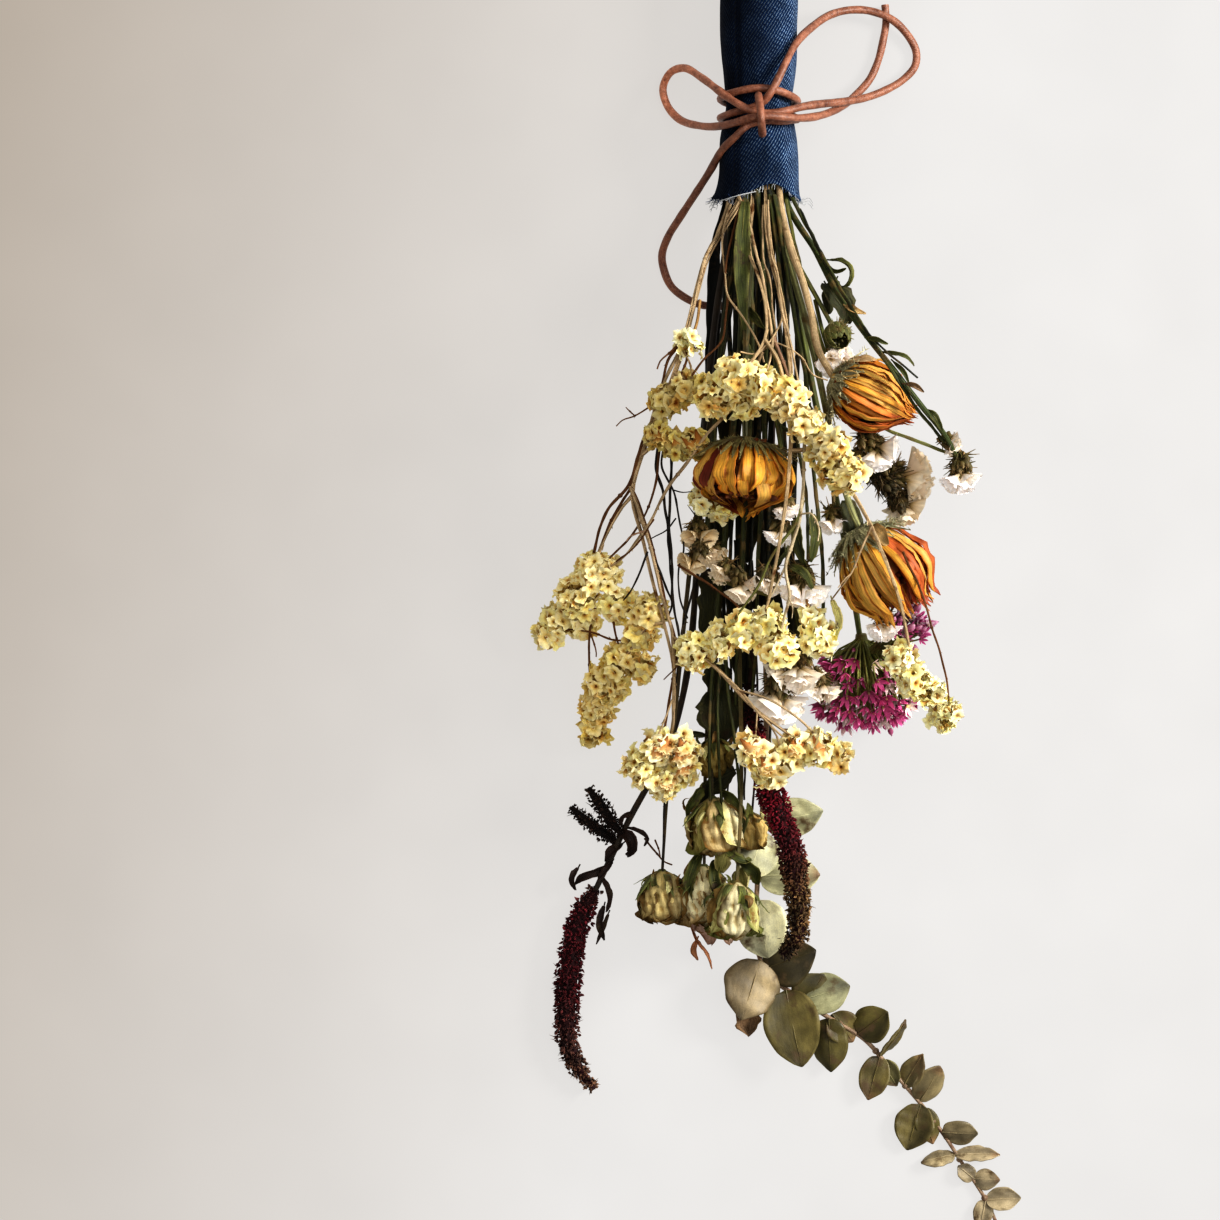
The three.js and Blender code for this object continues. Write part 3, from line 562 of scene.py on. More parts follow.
# Each stem's place among the others in the sleeve, its radius at both ends, and its route
STEMS = {
    "yellow_statice_stem_left": {
        "colour": "straw", "slot": [-1.5, 2], "radius": [1.65, 0.8],
        "route": [
            [712, 245, 42], [700, 280, 50], [690, 320, 56], [676, 370, 58], [660, 410, 56],
            [645, 448, 52], [632, 485, 48], [640, 525, 46], [650, 570, 44], [662, 615, 43],
            [672, 655, 43], [675, 700, 43], [668, 752, 44],
        ],
        "twigs": [
            [
                [632, 485, 48], [620, 510, 42], [606, 535, 36], [596, 560, 31], [580, 588, 21],
                [560, 620, 8],
            ],
            [[662, 615, 43], [648, 626, 40], [632, 648, 33], [612, 674, 24], [602, 702, 12]],
            [
                [672, 655, 43], [692, 656, 51], [716, 668, 57], [745, 700, 60], [772, 722, 62],
                [800, 742, 62],
            ],
            [[676, 370, 58], [686, 380, 60], [690, 388, 60]],
            [[645, 448, 52], [662, 440, 57], [680, 442, 60]],
        ],
    },
    "yellow_statice_stem_centre": {
        "colour": "straw", "slot": [-0.5, 2], "radius": [1.65, 0.9],
        "route": [
            [748, 240, 44], [757, 270, 56], [765, 300, 66], [767, 330, 75], [760, 352, 81],
            [746, 368, 84], [726, 380, 82], [710, 392, 79],
        ],
        "twigs": [
            [
                [767, 330, 75], [778, 360, 84], [788, 392, 88], [806, 416, 90], [828, 443, 90],
                [842, 466, 88],
            ],
        ],
    },
    "yellow_statice_stem_right": {
        "colour": "straw", "slot": [0.5, 2], "radius": [1.65, 0.9],
        "route": [
            [768, 240, 45], [777, 280, 58], [786, 330, 70], [791, 380, 78], [791, 430, 82],
            [788, 480, 88], [783, 520, 90], [776, 560, 86], [768, 596, 78], [758, 622, 71],
            [728, 638, 66],
        ],
        "twigs": [
            [
                [791, 430, 82], [815, 452, 80], [845, 482, 82], [868, 520, 84], [886, 562, 84],
                [900, 602, 78], [908, 640, 66], [916, 680, 57], [934, 706, 53],
            ],
        ],
    },
    "strawflower_stem_1": {
        "colour": "straw", "slot": [1.5, 2], "radius": [1.85, 1.7],
        "route": [
            [784, 228, 39], [797, 264, 50], [808, 300, 58], [817, 340, 64], [824, 372, 66],
            [838, 384, 66],
        ],
    },
    "strawflower_stem_2": {
        "colour": "green", "slot": [-1, 1], "radius": [1.65, 1.3],
        "route": [[750, 245, 38], [748, 300, 50], [746, 350, 58], [745, 400, 64], [746, 447, 66]],
    },
    "strawflower_stem_3": {
        "colour": "green", "slot": [1, 1], "radius": [1.65, 1.4],
        "route": [
            [784, 245, 36], [800, 300, 44], [815, 360, 50], [828, 420, 54], [840, 470, 57],
            [848, 500, 58], [865, 541, 58],
        ],
    },
    "white_statice_stem_right": {
        "colour": "green", "slot": [2, 1], "radius": [1.85, 1.3],
        "route": [
            [806, 228, 36], [822, 265, 48], [842, 300, 62], [862, 330, 76], [890, 365, 83],
            [915, 398, 82], [938, 426, 73], [952, 446, 64], [960, 464, 57],
        ],
    },
    "white_statice_stem_centre": {
        "colour": "green", "slot": [0, 1], "radius": [1.65, 1.1],
        "route": [
            [764, 245, 34], [770, 300, 41], [776, 360, 45], [780, 420, 47], [784, 480, 49],
            [786, 540, 52], [792, 590, 54], [800, 640, 52], [796, 676, 49],
        ],
        "twigs": [
            [[786, 540, 52], [774, 566, 55], [752, 588, 54], [728, 583, 52]],
            [[776, 360, 45], [808, 404, 44], [842, 446, 49], [866, 460, 55]],
            [[780, 420, 47], [826, 452, 40], [874, 480, 41], [906, 492, 43]],
        ],
    },
    "white_statice_stem_left": {
        "colour": "green", "slot": [-1.5, 0], "radius": [1.65, 1.1],
        "route": [
            [736, 245, 30], [728, 300, 33], [720, 360, 36], [715, 420, 38], [711, 480, 42],
            [705, 548, 44],
        ],
    },
    "rose_stem_2": {
        "colour": "green", "slot": [-0.5, 0], "radius": [1.65, 0.9],
        "route": [
            [752, 250, 30], [745, 330, 32], [735, 420, 34], [728, 500, 36], [722, 580, 38],
            [716, 660, 38], [713, 740, 37], [712, 806, 36],
        ],
    },
    "rose_stem_3": {
        "colour": "green", "slot": [0.5, 0], "radius": [1.65, 0.9],
        "route": [
            [762, 250, 30], [757, 330, 34], [751, 420, 36], [745, 500, 38], [741, 580, 41],
            [739, 660, 43], [741, 740, 44], [740, 820, 44], [736, 890, 41],
        ],
    },
    "allium_stem": {
        "colour": "green", "slot": [1.5, 0], "radius": [1.65, 1.2],
        "route": [
            [788, 250, 26], [800, 320, 28], [815, 400, 28], [832, 480, 27], [848, 560, 25],
            [861, 644, 22],
        ],
    },
    "rose_stem_1": {
        "colour": "green", "slot": [-1, -1], "radius": [1.65, 0.9],
        "route": [
            [740, 250, 24], [726, 330, 24], [711, 420, 26], [699, 500, 28], [689, 580, 30],
            [681, 660, 30], [673, 740, 27], [667, 800, 25], [662, 879, 22],
        ],
    },
    "rose_stem_4": {
        "colour": "green", "slot": [0, -1], "radius": [1.65, 0.9],
        "route": [
            [756, 250, 22], [749, 330, 22], [739, 420, 22], [729, 500, 23], [719, 580, 24],
            [711, 660, 24], [706, 740, 24], [704, 820, 24], [704, 875, 24],
        ],
    },
    "amaranth_left_stem": {
        "colour": "dark", "slot": [-2, -1], "radius": [1.65, 1.2],
        "route": [
            [726, 250, 21], [714, 330, 19], [706, 420, 18], [700, 500, 17], [696, 580, 17],
            [689, 660, 17], [674, 730, 16], [655, 772, 15], [635, 808, 13], [617, 845, 11],
            [594, 893, 8],
        ],
    },
    "amaranth_right_stem": {
        "colour": "dark", "slot": [1, -1], "radius": [1.65, 1.3],
        "route": [
            [768, 250, 24], [772, 330, 26], [772, 420, 28], [768, 500, 30], [760, 580, 32],
            [748, 692, 36],
        ],
    },
    "eucalyptus_stem": {
        "colour": "twig", "slot": [-0.5, -2], "radius": [1.65, 0.7],
        "route": [
            [752, 250, 14], [752, 330, 9], [755, 420, 7], [758, 500, 6.5], [762, 580, 6.5],
            [766, 660, 7], [766, 740, 8], [762, 820, 9], [757, 890, 9], [756, 940, 9],
            [766, 972, 9], [790, 992, 8], [812, 1006, 7], [831, 1019, 6], [857, 1033, 5],
            [880, 1056, 4], [900, 1081, 3.5], [921, 1104, 3], [942, 1132, 2.5], [955, 1155, 2],
            [974, 1179, 2], [985, 1198, 2], [996, 1222, 2], [1003, 1240, 2],
        ],
    },
}

# Each head's axis, and its radius at each point of the axis
HEADS = {
    "strawflower_head_1": (
        [[830, 379, 66], [844, 385, 66], [862, 393, 66], [884, 403, 65], [906, 413, 64]],
        [3, 10, 13.5, 12.5, 5],
    ),
    "strawflower_head_2": (
        [[747, 437, 66], [746, 448, 66], [745, 468, 65], [744, 494, 64], [743, 514, 63]],
        [3, 13, 19, 20, 10],
    ),
    "strawflower_head_3": (
        [[856, 528, 58], [863, 540, 58], [874, 556, 57], [888, 578, 56], [903, 603, 54]],
        [4, 11, 16, 19, 12],
    ),
    "allium_head": (
        [[861, 634, 22], [862, 648, 21], [864, 674, 20.5], [867, 704, 20.45], [869, 724, 20.6]],
        [2, 12, 19, 20.4, 11],
    ),
    "rose_bud_1": (
        [[662, 871, 22], [662, 878, 22], [662, 900, 20], [662, 918, 19], [662, 926, 19]],
        [2, 6, 9.3, 7.5, 3],
    ),
    "rose_bud_2": (
        [[712, 798, 36], [713, 806, 36], [714, 828, 35], [716, 848, 34], [717, 856, 34]],
        [2, 7, 11, 8.5, 4],
    ),
    "rose_bud_3": (
        [[736, 882, 41], [735, 890, 41], [733, 912, 39], [731, 932, 38], [730, 940, 38]],
        [2, 6.5, 10, 8, 3.5],
    ),
    "rose_bud_4": (
        [[704, 866, 24], [704, 874, 24], [704, 896, 23], [706, 918, 22], [707, 928, 22]],
        [2, 6.5, 10, 8, 3.5],
    ),
    "amaranth_left_spike": (
        [
            [595, 889, 8.2], [584, 909, 7], [573, 944, 6.4], [569, 978, 6.2], [567, 1012, 5.9],
            [568, 1042, 5.2], [577, 1066, 4.6], [594, 1089, 4.2],
        ],
        [2.6, 5.4, 6.1, 5.9, 5.5, 4.6, 3.8, 2.2],
    ),
    "amaranth_right_spike": (
        [
            [748, 684, 36], [752, 716, 38], [759, 752, 40], [768, 786, 40], [779, 815, 40],
            [790, 847, 38], [795, 879, 35], [799, 909, 31], [797, 936, 27], [783, 955, 23],
        ],
        [2.4, 3.6, 4.6, 5.8, 6.3, 6.2, 6.0, 5.2, 4.4, 2.4],
    ),
    "amaranth_left_side_spike_1": (
        [[624, 836, 12], [613, 824, 13], [601, 806, 13], [588, 788, 13]],
        [1.5, 3.2, 3.3, 1.8],
    ),
    "amaranth_left_side_spike_2": (
        [[619, 843, 10.5], [605, 834, 8], [588, 822, 6], [571, 807, 5]],
        [1.5, 3.0, 3.1, 1.6],
    ),
    # Two more buds, of the visual model only
    "rose_bud_upper": (
        [[713, 738, 34], [714, 746, 34], [715, 758, 33], [716, 773, 31]],
        [1.6, 6.0, 7.4, 3.4],
    ),
    "rose_bud_behind": (
        [[746, 812, 22], [747, 822, 21], [748, 836, 20], [748, 850, 19]],
        [1.6, 6.4, 7.4, 3.4],
    ),
}

# Axes of the clusters of florets, in the order of their numbers
YELLOW_AXES = [
    [[700, 399, 78], [720, 382, 83], [743, 372, 85], [762, 382, 86]],
    [[785, 396, 88], [806, 417, 90], [828, 443, 90], [849, 480, 87]],
    [[662, 400, 58], [676, 393, 60], [696, 386, 61]],
    [[658, 430, 58], [674, 440, 59], [690, 446, 61]],
    [[601, 561, 30], [584, 585, 23], [568, 609, 12], [549, 632, 4.6]],
    [[652, 600, 38], [636, 640, 33], [614, 672, 24], [602, 702, 12], [598, 733, 4.4]],
    [[692, 658, 57], [724, 640, 65], [752, 626, 70], [776, 640, 69]],
    [[638, 772, 43], [656, 762, 45], [676, 752, 46], [692, 744, 46]],
    [[744, 744, 60], [774, 760, 60], [806, 748, 62], [838, 754, 60]],
    [[898, 654, 60], [912, 680, 57], [930, 702, 54], [946, 726, 50]],
]
WHITE_AXES = [
    [[850, 467, 54], [868, 461, 56], [890, 450, 57]],
    [[948, 432, 62], [959, 456, 57], [966, 490, 50]],
    [[892, 488, 41], [912, 498, 43], [934, 486, 45]],
    [[698, 528, 43], [706, 548, 44], [694, 570, 44]],
    [[712, 578, 50], [744, 588, 54], [780, 597, 56], [820, 594, 56]],
    [[758, 696, 45], [780, 700, 48], [804, 676, 50], [828, 686, 46]],
]

# Leaves: base, tip, width, and roll in degrees
EUCALYPTUS_LEAVES = [
    ([763, 822, 9], [823, 811, 13], 16, 10),
    ([762, 830, 10], [748, 880, 17], 19, -12),
    ([759, 876, 9], [820, 875, 9], 17, -14),
    ([757, 900, 10], [768, 958, 15], 21, 8),
    ([760, 960, 10], [741, 1020, 15], 22, -10),
    ([764, 968, 8.5], [816, 950, 11], 19, 8),
    ([786, 990, 9], [802, 1067, 13], 22, 9),
    ([800, 1000, 7.5], [850, 986, 8], 16, -8),
    ([829, 1018, 6.6], [831, 1072, 5], 14, 12),
    ([858, 1034, 5.5], [888, 1012, 11], 15, -10),
    ([921, 1104, 3.5], [907, 1150, 3], 15, 10),
]
TIP_LEAVES = [
    ([880, 1056, 4], [906, 1020, 11], 9, 62),
    ([880, 1056, 4], [868, 1100, 5], 12, 8),
    ([904, 1086, 3.5], [923, 1054, 7], 9, -24),
    ([919, 1102, 3], [940, 1066, 7], 12, 22),
    ([942, 1132, 3], [978, 1133, 5], 10, 14),
    ([955, 1155, 2.6], [921, 1163, 3], 7, 44),
    ([955, 1155, 2.6], [1000, 1155, 4], 7, -44),
    ([974, 1179, 2], [958, 1166, 3], 7, 10),
    ([974, 1179, 2], [1000, 1180, 4], 8, -12),
    ([986, 1200, 2], [980, 1228, 3], 8, 10),
    ([986, 1200, 2], [1021, 1198, 4], 9, -14),
    ([1001, 1236, 2], [1012, 1254, 3], 6, 6),
]

CORD_ROUTE = [
    [727, 306, 2.4], [702, 305, 2.0], [684, 297, 2.0], [671, 286, 2.0], [664, 270, 2.0],
    [662, 255, 3.2], [668, 237, 6.5], [679, 219, 11], [694, 196, 17], [710, 171, 24],
    [722, 150, 31], [735, 137, 36.4], [748, 125, 37], [764, 121, 36.4], [780, 121, 34],
    [792, 120, 29], [797.5, 119, 21.5], [788, 115, 11], [759, 110, 7.2], [730, 104, 11],
    [720.5, 99, 21], [729, 94, 30.5], [743, 90, 34.4], [759, 88, 35.4], [775, 90, 34.6],
    [789, 95, 30.6], [797.5, 101, 21.5], [788, 106, 9], [759, 112, 3.4], [730, 117, 9],
    [720.5, 118, 21], [729, 114, 30.6], [741, 110.5, 34.4], [753, 107.5, 36], [763, 102, 37.4],
    [771, 92, 38.8], [778, 79, 38], [786, 62, 35.5], [797, 42, 29], [812, 27, 21], [830, 15, 14],
    [850, 10, 9], [870, 11, 6.6], [891, 19, 5.6], [906, 33, 3.6], [916, 51, 2.0], [915, 66, 2.0],
    [904, 79, 2.8], [888, 89, 5.4], [868, 97, 10], [845, 101.5, 18], [820, 104, 27], [801, 107, 34],
    [786, 111, 38.4], [771, 113, 39.6], [755, 112, 39.8], [740, 105, 39], [722, 93, 34],
    [702, 78, 22], [684, 68, 12], [670, 73, 6], [663, 88, 3.2], [667, 105, 3.4], [679, 119, 8],
    [701, 126, 20], [720, 126, 31], [737, 122, 38.6], [752, 117.5, 43], [768, 116, 43.2],
    [786, 117.5, 40.4], [802, 118, 34.4], [818, 116, 26.4], [833, 111, 18], [846, 103.5, 11.4],
    [858, 93, 6], [870, 79, 3], [878, 61, 2], [883, 41, 2], [886, 22, 1.9], [885, 5, 1.9],
]
KNOT_ROUTE = [
    [758.5, 95, 39.4], [759, 99, 42.2], [760, 106, 45.4], [761, 114, 47.2], [761.5, 122, 46.6],
    [762, 129, 43.4], [762.5, 134, 39],
]

# The long dark leaf's line, and its half width at each point
STRAP_LEAF = [
    [728, 175, 20], [726, 205, 20], [716, 240, 18], [713, 285, 16], [713, 335, 12], [711, 385, 9],
    [706, 440, 6], [700, 500, 3.5], [696, 552, 1.6],
]
STRAP_HALVES = [1.6, 1.8, 2.8, 3.3, 3.3, 3.0, 2.6, 2.0, 1.0]

# Heads that push the other stems aside, and the stems that carry them
HEAD_ON = {
    "strawflower_head_1": "strawflower_stem_1",
    "strawflower_head_2": "strawflower_stem_2",
    "strawflower_head_3": "strawflower_stem_3",
    "allium_head": "allium_stem",
    "rose_bud_2": "rose_stem_2",
}


# Materials


def rgb(red, green, blue):
    """A colour as a screen shows it, from 0 to 255, in linear values."""
    c = np.array([red, green, blue]) / 255
    return np.where(c <= 0.04045, c / 12.92, ((c + 0.055) / 1.055) ** 2.4)


def opaque(red, green, blue):
    return (*rgb(red, green, blue), 1)


class Surface:
    """Builds the nodes of one material. Sizes are in millimetres."""

    def __init__(self, name, **fixed):
        self.material = bpy.data.materials.new(name)
        self.material.use_nodes = True
        self.tree = self.material.node_tree
        self.shader = self.tree.nodes["Principled BSDF"]
        for socket, value in fixed.items():
            self.shader.inputs[socket.replace("_", " ")].default_value = value
        self.place = self.node("TexCoord", "Object")
        self.grain = self.node("UVMap", 0, {"uv_map": "grain"})

    def node(self, kind, out, sets=None, **into):
        """A new node's output. into gives its inputs, by name or by number, such as i0."""
        made = self.tree.nodes.new("ShaderNode" + kind)
        for key, value in (sets or {}).items():
            setattr(made, key, value)
        for key, value in into.items():
            numbered = key[0] == "i" and key[1:].isdigit()
            self.plug(value, made.inputs[int(key[1:])] if numbered else made.inputs[key])
        return made.outputs[out]

    def plug(self, value, socket):
        if isinstance(value, bpy.types.NodeSocket):
            self.tree.links.new(value, socket)
        else:
            socket.default_value = value

    def tint(self):
        """The colour painted on the mesh's points."""
        return self.node("Attribute", "Color", {"attribute_name": "tint"})

    def math(self, operation, a, b=0.0):
        return self.node("Math", 0, {"operation": operation}, i0=a, i1=b)

    def add(self, a, b):
        return self.math("ADD", a, b)

    def multiply(self, a, b):
        return self.math("MULTIPLY", a, b)

    def wave(self, turns):
        """A sine, with one whole wave for each turn."""
        return self.math("SINE", self.multiply(turns, 2 * PI))

    def tone(self, colour, amount):
        return self.node("VectorMath", 0, {"operation": "SCALE"}, i0=colour, Scale=amount)

    def dot(self, vector, other):
        return self.node("VectorMath", "Value", {"operation": "DOT_PRODUCT"}, i0=vector, i1=other)

    def remap(self, value, low, high, to_low, to_high):
        return self.node("MapRange", 0, i0=value, i1=low, i2=high, i3=to_low, i4=to_high)

    def vary(self, noise, low, high):
        """Noise, which mostly lies from 0.3 to 0.7, spread from low to high."""
        return self.remap(noise, 0.3, 0.7, low, high)

    def mix(self, share, a, b):
        return self.node("Mix", 2, {"data_type": "RGBA"}, i0=share, i6=a, i7=b)

    def noise(self, scale, detail, vector, roughness=0.5):
        return self.node(
            "TexNoise", "Fac", Vector=vector, Scale=scale, Detail=detail, Roughness=roughness
        )

    def cloud(self, size, detail, roughness=0.5):
        """Noise with swells of about this size in space."""
        return self.noise(1 / (size * MM), detail, self.place, roughness)

    def bump(self, height, depth):
        return self.node("Bump", "Normal", Height=height, Distance=depth * MM)

    def finish(self, colour, roughness, normal):
        self.plug(colour, self.shader.inputs["Base Color"])
        if roughness is not None:
            self.plug(roughness, self.shader.inputs["Roughness"])
        self.plug(normal, self.shader.inputs["Normal"])
        return self.material


def plant(name, roughness, bump, mottle=(6, 0.2), speck=(0.6, 0.15), streak=None, stain=None,
          glow=0.0, **fixed):
    """A dried plant surface: its painted tint, mottled, specked, streaked along the grain and stained.

    mottle and speck are (size, depth), streak is (width, length, depth), and stain is (colour, size,
    share of the surface). glow stands for the light that comes through thin petals.
    """
    s = Surface(name, **fixed)
    soft, fine = s.cloud(mottle[0], 3), s.cloud(speck[0], 2)
    colour = s.tone(s.tint(), s.vary(soft, 1 - mottle[1], 1 + mottle[1]))
    colour = s.tone(colour, s.vary(fine, 1 - speck[1], 1 + speck[1]))
    height = fine
    if streak:
        width, length, depth = streak
        scaled = s.node(
            "VectorMath", 0, {"operation": "MULTIPLY"}, i0=s.grain, i1=(1 / width, 1 / length, 0)
        )
        lines = s.noise(1.0, 2, scaled)
        colour = s.tone(colour, s.remap(lines, 0.34, 0.66, 1 - depth, 1 + 0.7 * depth))
        height = s.add(s.multiply(fine, 0.4), lines)
    if stain:
        tint, size, share = stain
        start = 0.62 - 0.3 * share
        patch = s.remap(s.cloud(size, 4, 0.6), start, start + 0.12, 0.0, 1.0)
        colour = s.mix(patch, colour, opaque(*tint))
    if glow:
        s.plug(colour, s.shader.inputs["Emission Color"])
        s.shader.inputs["Emission Strength"].default_value = glow
    return s.finish(colour, s.vary(soft, roughness - 0.08, roughness + 0.1), s.bump(height, bump))


DENIM_BLUE = rgb(12, 44, 84)
# The twill's ribs climb at this many degrees
TWILL_LEAN = 57
RIB_PITCH = 1.08
STITCH_LENGTH = 1.9


def denim_finish():
    """Indigo twill: blue ribs that climb to the right, with pale weft specks in the grooves."""
    s = Surface("denim_twill", Specular_IOR_Level=0.14, Sheen_Weight=0.04, Sheen_Roughness=0.5)
    rise, run = math.sin(math.radians(TWILL_LEAN)), math.cos(math.radians(TWILL_LEAN))
    tint, drift, worn, yarn = s.tint(), s.cloud(14, 2), s.cloud(6, 3), s.cloud(0.5, 2)
    rib = s.dot(s.grain, (-rise / RIB_PITCH, run / RIB_PITCH, 0))
    rib = s.add(rib, s.multiply(drift, 0.5))
    ridge = s.remap(s.wave(rib), -1.0, 1.0, 0.0, 1.0)
    line = s.math("FLOOR", s.add(rib, 0.25))
    offset = s.node("TexWhiteNoise", "Value", {"noise_dimensions": "1D"}, W=line)
    along = s.dot(s.grain, (run / STITCH_LENGTH, rise / STITCH_LENGTH, 0))
    stitch = s.remap(s.wave(s.add(along, offset)), -0.95, 0.1, 0.15, 1.0)
    groove = s.remap(ridge, 0.04, 0.36, 1.0, 0.0)
    colour = s.mix(s.remap(ridge, 0.3, 0.9, 0.0, 1.0), s.tone(tint, 0.36), tint)
    colour = s.tone(colour, s.vary(yarn, 0.75, 1.25))
    colour = s.tone(colour, s.vary(worn, 0.8, 1.25))
    # The pale specks are as light as the painted tint, so they follow its painted light and shade
    bright = s.math("POWER", s.multiply(s.dot(tint, (0, 0, 1)), 1 / DENIM_BLUE[2]), 1.9)
    pale = s.tone(rgb(176, 206, 236), bright)
    speck = s.multiply(s.multiply(groove, stitch), s.remap(yarn, 0.36, 0.6, 0.45, 1.0))
    colour = s.mix(s.multiply(speck, s.remap(worn, 0.35, 0.65, 0.5, 0.9)), colour, pale)
    height = s.add(s.multiply(ridge, 0.7), s.multiply(stitch, 0.25))
    height = s.add(height, s.multiply(yarn, 0.5))
    return s.finish(colour, s.vary(yarn, 0.85, 1.0), s.bump(height, 0.24))


# Where the painted shade along the loose tail begins, along the bunch, in metres
TAIL_PAINTED_SHADE = (0.148, 0.166)
# Where the painted light over the left loop begins, across the bunch, in metres
LOOP_PAINTED_LIGHT = (-0.024, -0.046)


def leather_finish():
    """Matt round lace: tan, with pink painted highlights on its creases and painted shade in them, painted light over
    the left loop, and painted shade along the tail.
    """
    s = Surface("leather_lace", Specular_IOR_Level=0.6)
    body, pores, creases = s.cloud(7, 4, 0.6), s.cloud(0.5, 3), s.cloud(1.6, 4, 0.7)
    colour = s.mix(s.vary(body, 0.0, 1.0), opaque(114, 70, 50), opaque(168, 112, 86))
    # Pink painted highlights where the creases rise, and painted shade where they sink
    colour = s.mix(s.remap(creases, 0.5, 0.7, 0.0, 0.45), colour, opaque(198, 148, 122))
    colour = s.mix(s.remap(creases, 0.3, 0.43, 0.85, 0.0), colour, opaque(84, 40, 28))
    colour = s.tone(colour, s.vary(pores, 0.8, 1.16))
    # Painted light over the left loop
    loop = s.remap(s.dot(s.place, (1, 0, 0)), *LOOP_PAINTED_LIGHT, 0.0, 0.85)
    colour = s.mix(loop, colour, s.tone(colour, 2.2))
    # Painted shade along the loose tail
    colour = s.tone(colour, s.remap(s.dot(s.place, (0, 1, 0)), *TAIL_PAINTED_SHADE, 0.45, 1.08))
    height = s.add(s.multiply(pores, 0.35), creases)
    return s.finish(colour, s.vary(body, 0.36, 0.52), s.bump(height, 0.26))


def floor_finish():
    """Pale paper that glows a little, so that shadows on it stay weak, with painted shade that darkens it to the left.
    """
    s = Surface("studio_paper", Roughness=0.9, Specular_IOR_Level=0.2, Emission_Strength=1.82)
    # Painted shade that darkens the paper to the left
    across = s.remap(s.dot(s.place, (1, -0.3, 0)), -0.42, 0.0, 0.0, 1.0)
    colour = s.mix(across, opaque(119, 112, 104), opaque(148, 147, 146))
    colour = s.tone(colour, s.vary(s.cloud(60, 2), 0.985, 1.015))
    s.plug(colour, s.shader.inputs["Emission Color"])
    return s.finish(s.tone(colour, 0.24), None, s.bump(s.cloud(1.2, 2), 0.02))


DENIM = denim_finish()
LEATHER = leather_finish()
THREAD = plant("frayed_thread", 0.9, 0.05, (4, 0.15), (0.4, 0.2))
STRAW = plant(
    "straw_stalk", 0.75, 0.16, streak=(0.35, 9, 0.34), stain=((112, 78, 46), 7, 0.16),
    Specular_IOR_Level=0.2,
)
GREEN = plant(
    "dried_green_stalk", 0.66, 0.2, streak=(0.4, 10, 0.45), stain=((110, 92, 52), 8, 0.3),
)
DARK = plant("dark_stalk", 0.62, 0.2, streak=(0.4, 8, 0.35), stain=((78, 62, 44), 6, 0.2))
TWIG = plant("smooth_twig", 0.55, 0.12, streak=(0.5, 6, 0.3), stain=((104, 72, 54), 6, 0.3))
YELLOW = plant(
    "yellow_floret_paper", 0.8, 0.06, (3, 0.1), (0.35, 0.08), glow=0.06, Specular_IOR_Level=0.15,
)
WHITE = plant(
    "white_floret_paper", 0.85, 0.04, (3, 0.06), (0.35, 0.04), glow=0.1, Specular_IOR_Level=0.1,
)
PETAL = plant(
    "strap_petal", 0.55, 0.16, (6, 0.16), (0.5, 0.06), (0.6, 14, 0.3), ((140, 62, 24), 8, 0.03),
)
MAGENTA = plant("magenta_floret", 0.7, 0.08, (3, 0.22), (0.4, 0.15))
CREAM = plant(
    "rose_petal", 0.85, 0.14, (4, 0.14), (0.5, 0.1), (0.7, 7, 0.2), ((138, 104, 58), 5, 0.14),
    Specular_IOR_Level=0.08,
)
SEED = plant("seed_tuft", 0.85, 0.12, (4, 0.35), (0.4, 0.3))
LEAF = plant(
    "eucalyptus_leaf_wax", 0.5, 0.12, (7, 0.3), (0.45, 0.12), (1.6, 4, 0.1), ((96, 78, 52), 9, 0.3),
)
DARK_LEAF = plant(
    "dark_dried_leaf", 0.7, 0.25, streak=(0.5, 8, 0.4), stain=((70, 58, 40), 6, 0.2),
)


# Camera and cord


def add_camera():
    data = bpy.data.cameras.new("camera")
    data.sensor_width = data.sensor_height = 36
    data.lens = 36 * EYE_HEIGHT / (VIEW_SIZE * VIEW_SCALE)
    data.clip_start, data.clip_end = 0.05, 20
    camera = linked("camera", data)
    camera.location = seen([VIEW_SIZE / 2, VIEW_SIZE / 2, EYE_HEIGHT]) * MM
    bpy.context.scene.camera = camera


def add_lace(name, places, node):
    """A round leather lace as one open curve."""
    line = route_line(places, 1.6)
    curve = bpy.data.curves.new(name, "CURVE")
    curve.dimensions = "3D"
    curve.bevel_depth = CORD_DIAMETER / 2 * MM
    curve.bevel_resolution = 3
    curve.use_fill_caps = True
    spline = curve.splines.new("POLY")
    spline.points.add(len(line) - 1)
    spline.points.foreach_set("co", np.c_[line * MM, np.ones(len(line))].ravel())
    spline.points.foreach_set("radius", 1 + 0.045 * ripple(line, 9, 3))
    spline.use_smooth = True
    curve.materials.append(LEATHER)
    lace = linked(name, curve)
    settle_in(lace, "leather", [node])
    return lace, line


def add_cord():
    cross, _ = add_lace("bow_cross_strand", KNOT_ROUTE, "leather_knot")
    lace, line = add_lace("bow_lace", CORD_ROUTE, "leather_cord")
    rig.cord(
        lace, exit=tuple(line[0] * MM), length=0.738, diameter=CORD_DIAMETER * MM, far_end="bare",
        stiffness="limp", lay="loose", with_pieces=[cross],
    )


# Sleeve


def sleeve_at(row):
    """Centre and half width of the sleeve at each row."""
    rings = np.array(SLEEVE_RINGS, float)
    row = np.asarray(row, float)
    share = (row - rings[0, 0]) / (rings[-1, 0] - rings[0, 0])
    column = np.full(row.shape, float(SLEEVE_COLUMN))
    centre = seen(np.stack([column, row, SLEEVE_END_HEIGHT + SLEEVE_RISE * share], axis=-1))
    return centre, np.interp(row, rings[:, 0], rings[:, 1])


def hill(value, middle, width):
    """1 at the middle, falling to 0 on both sides."""
    return np.exp(-(((value - middle) / width) ** 2))


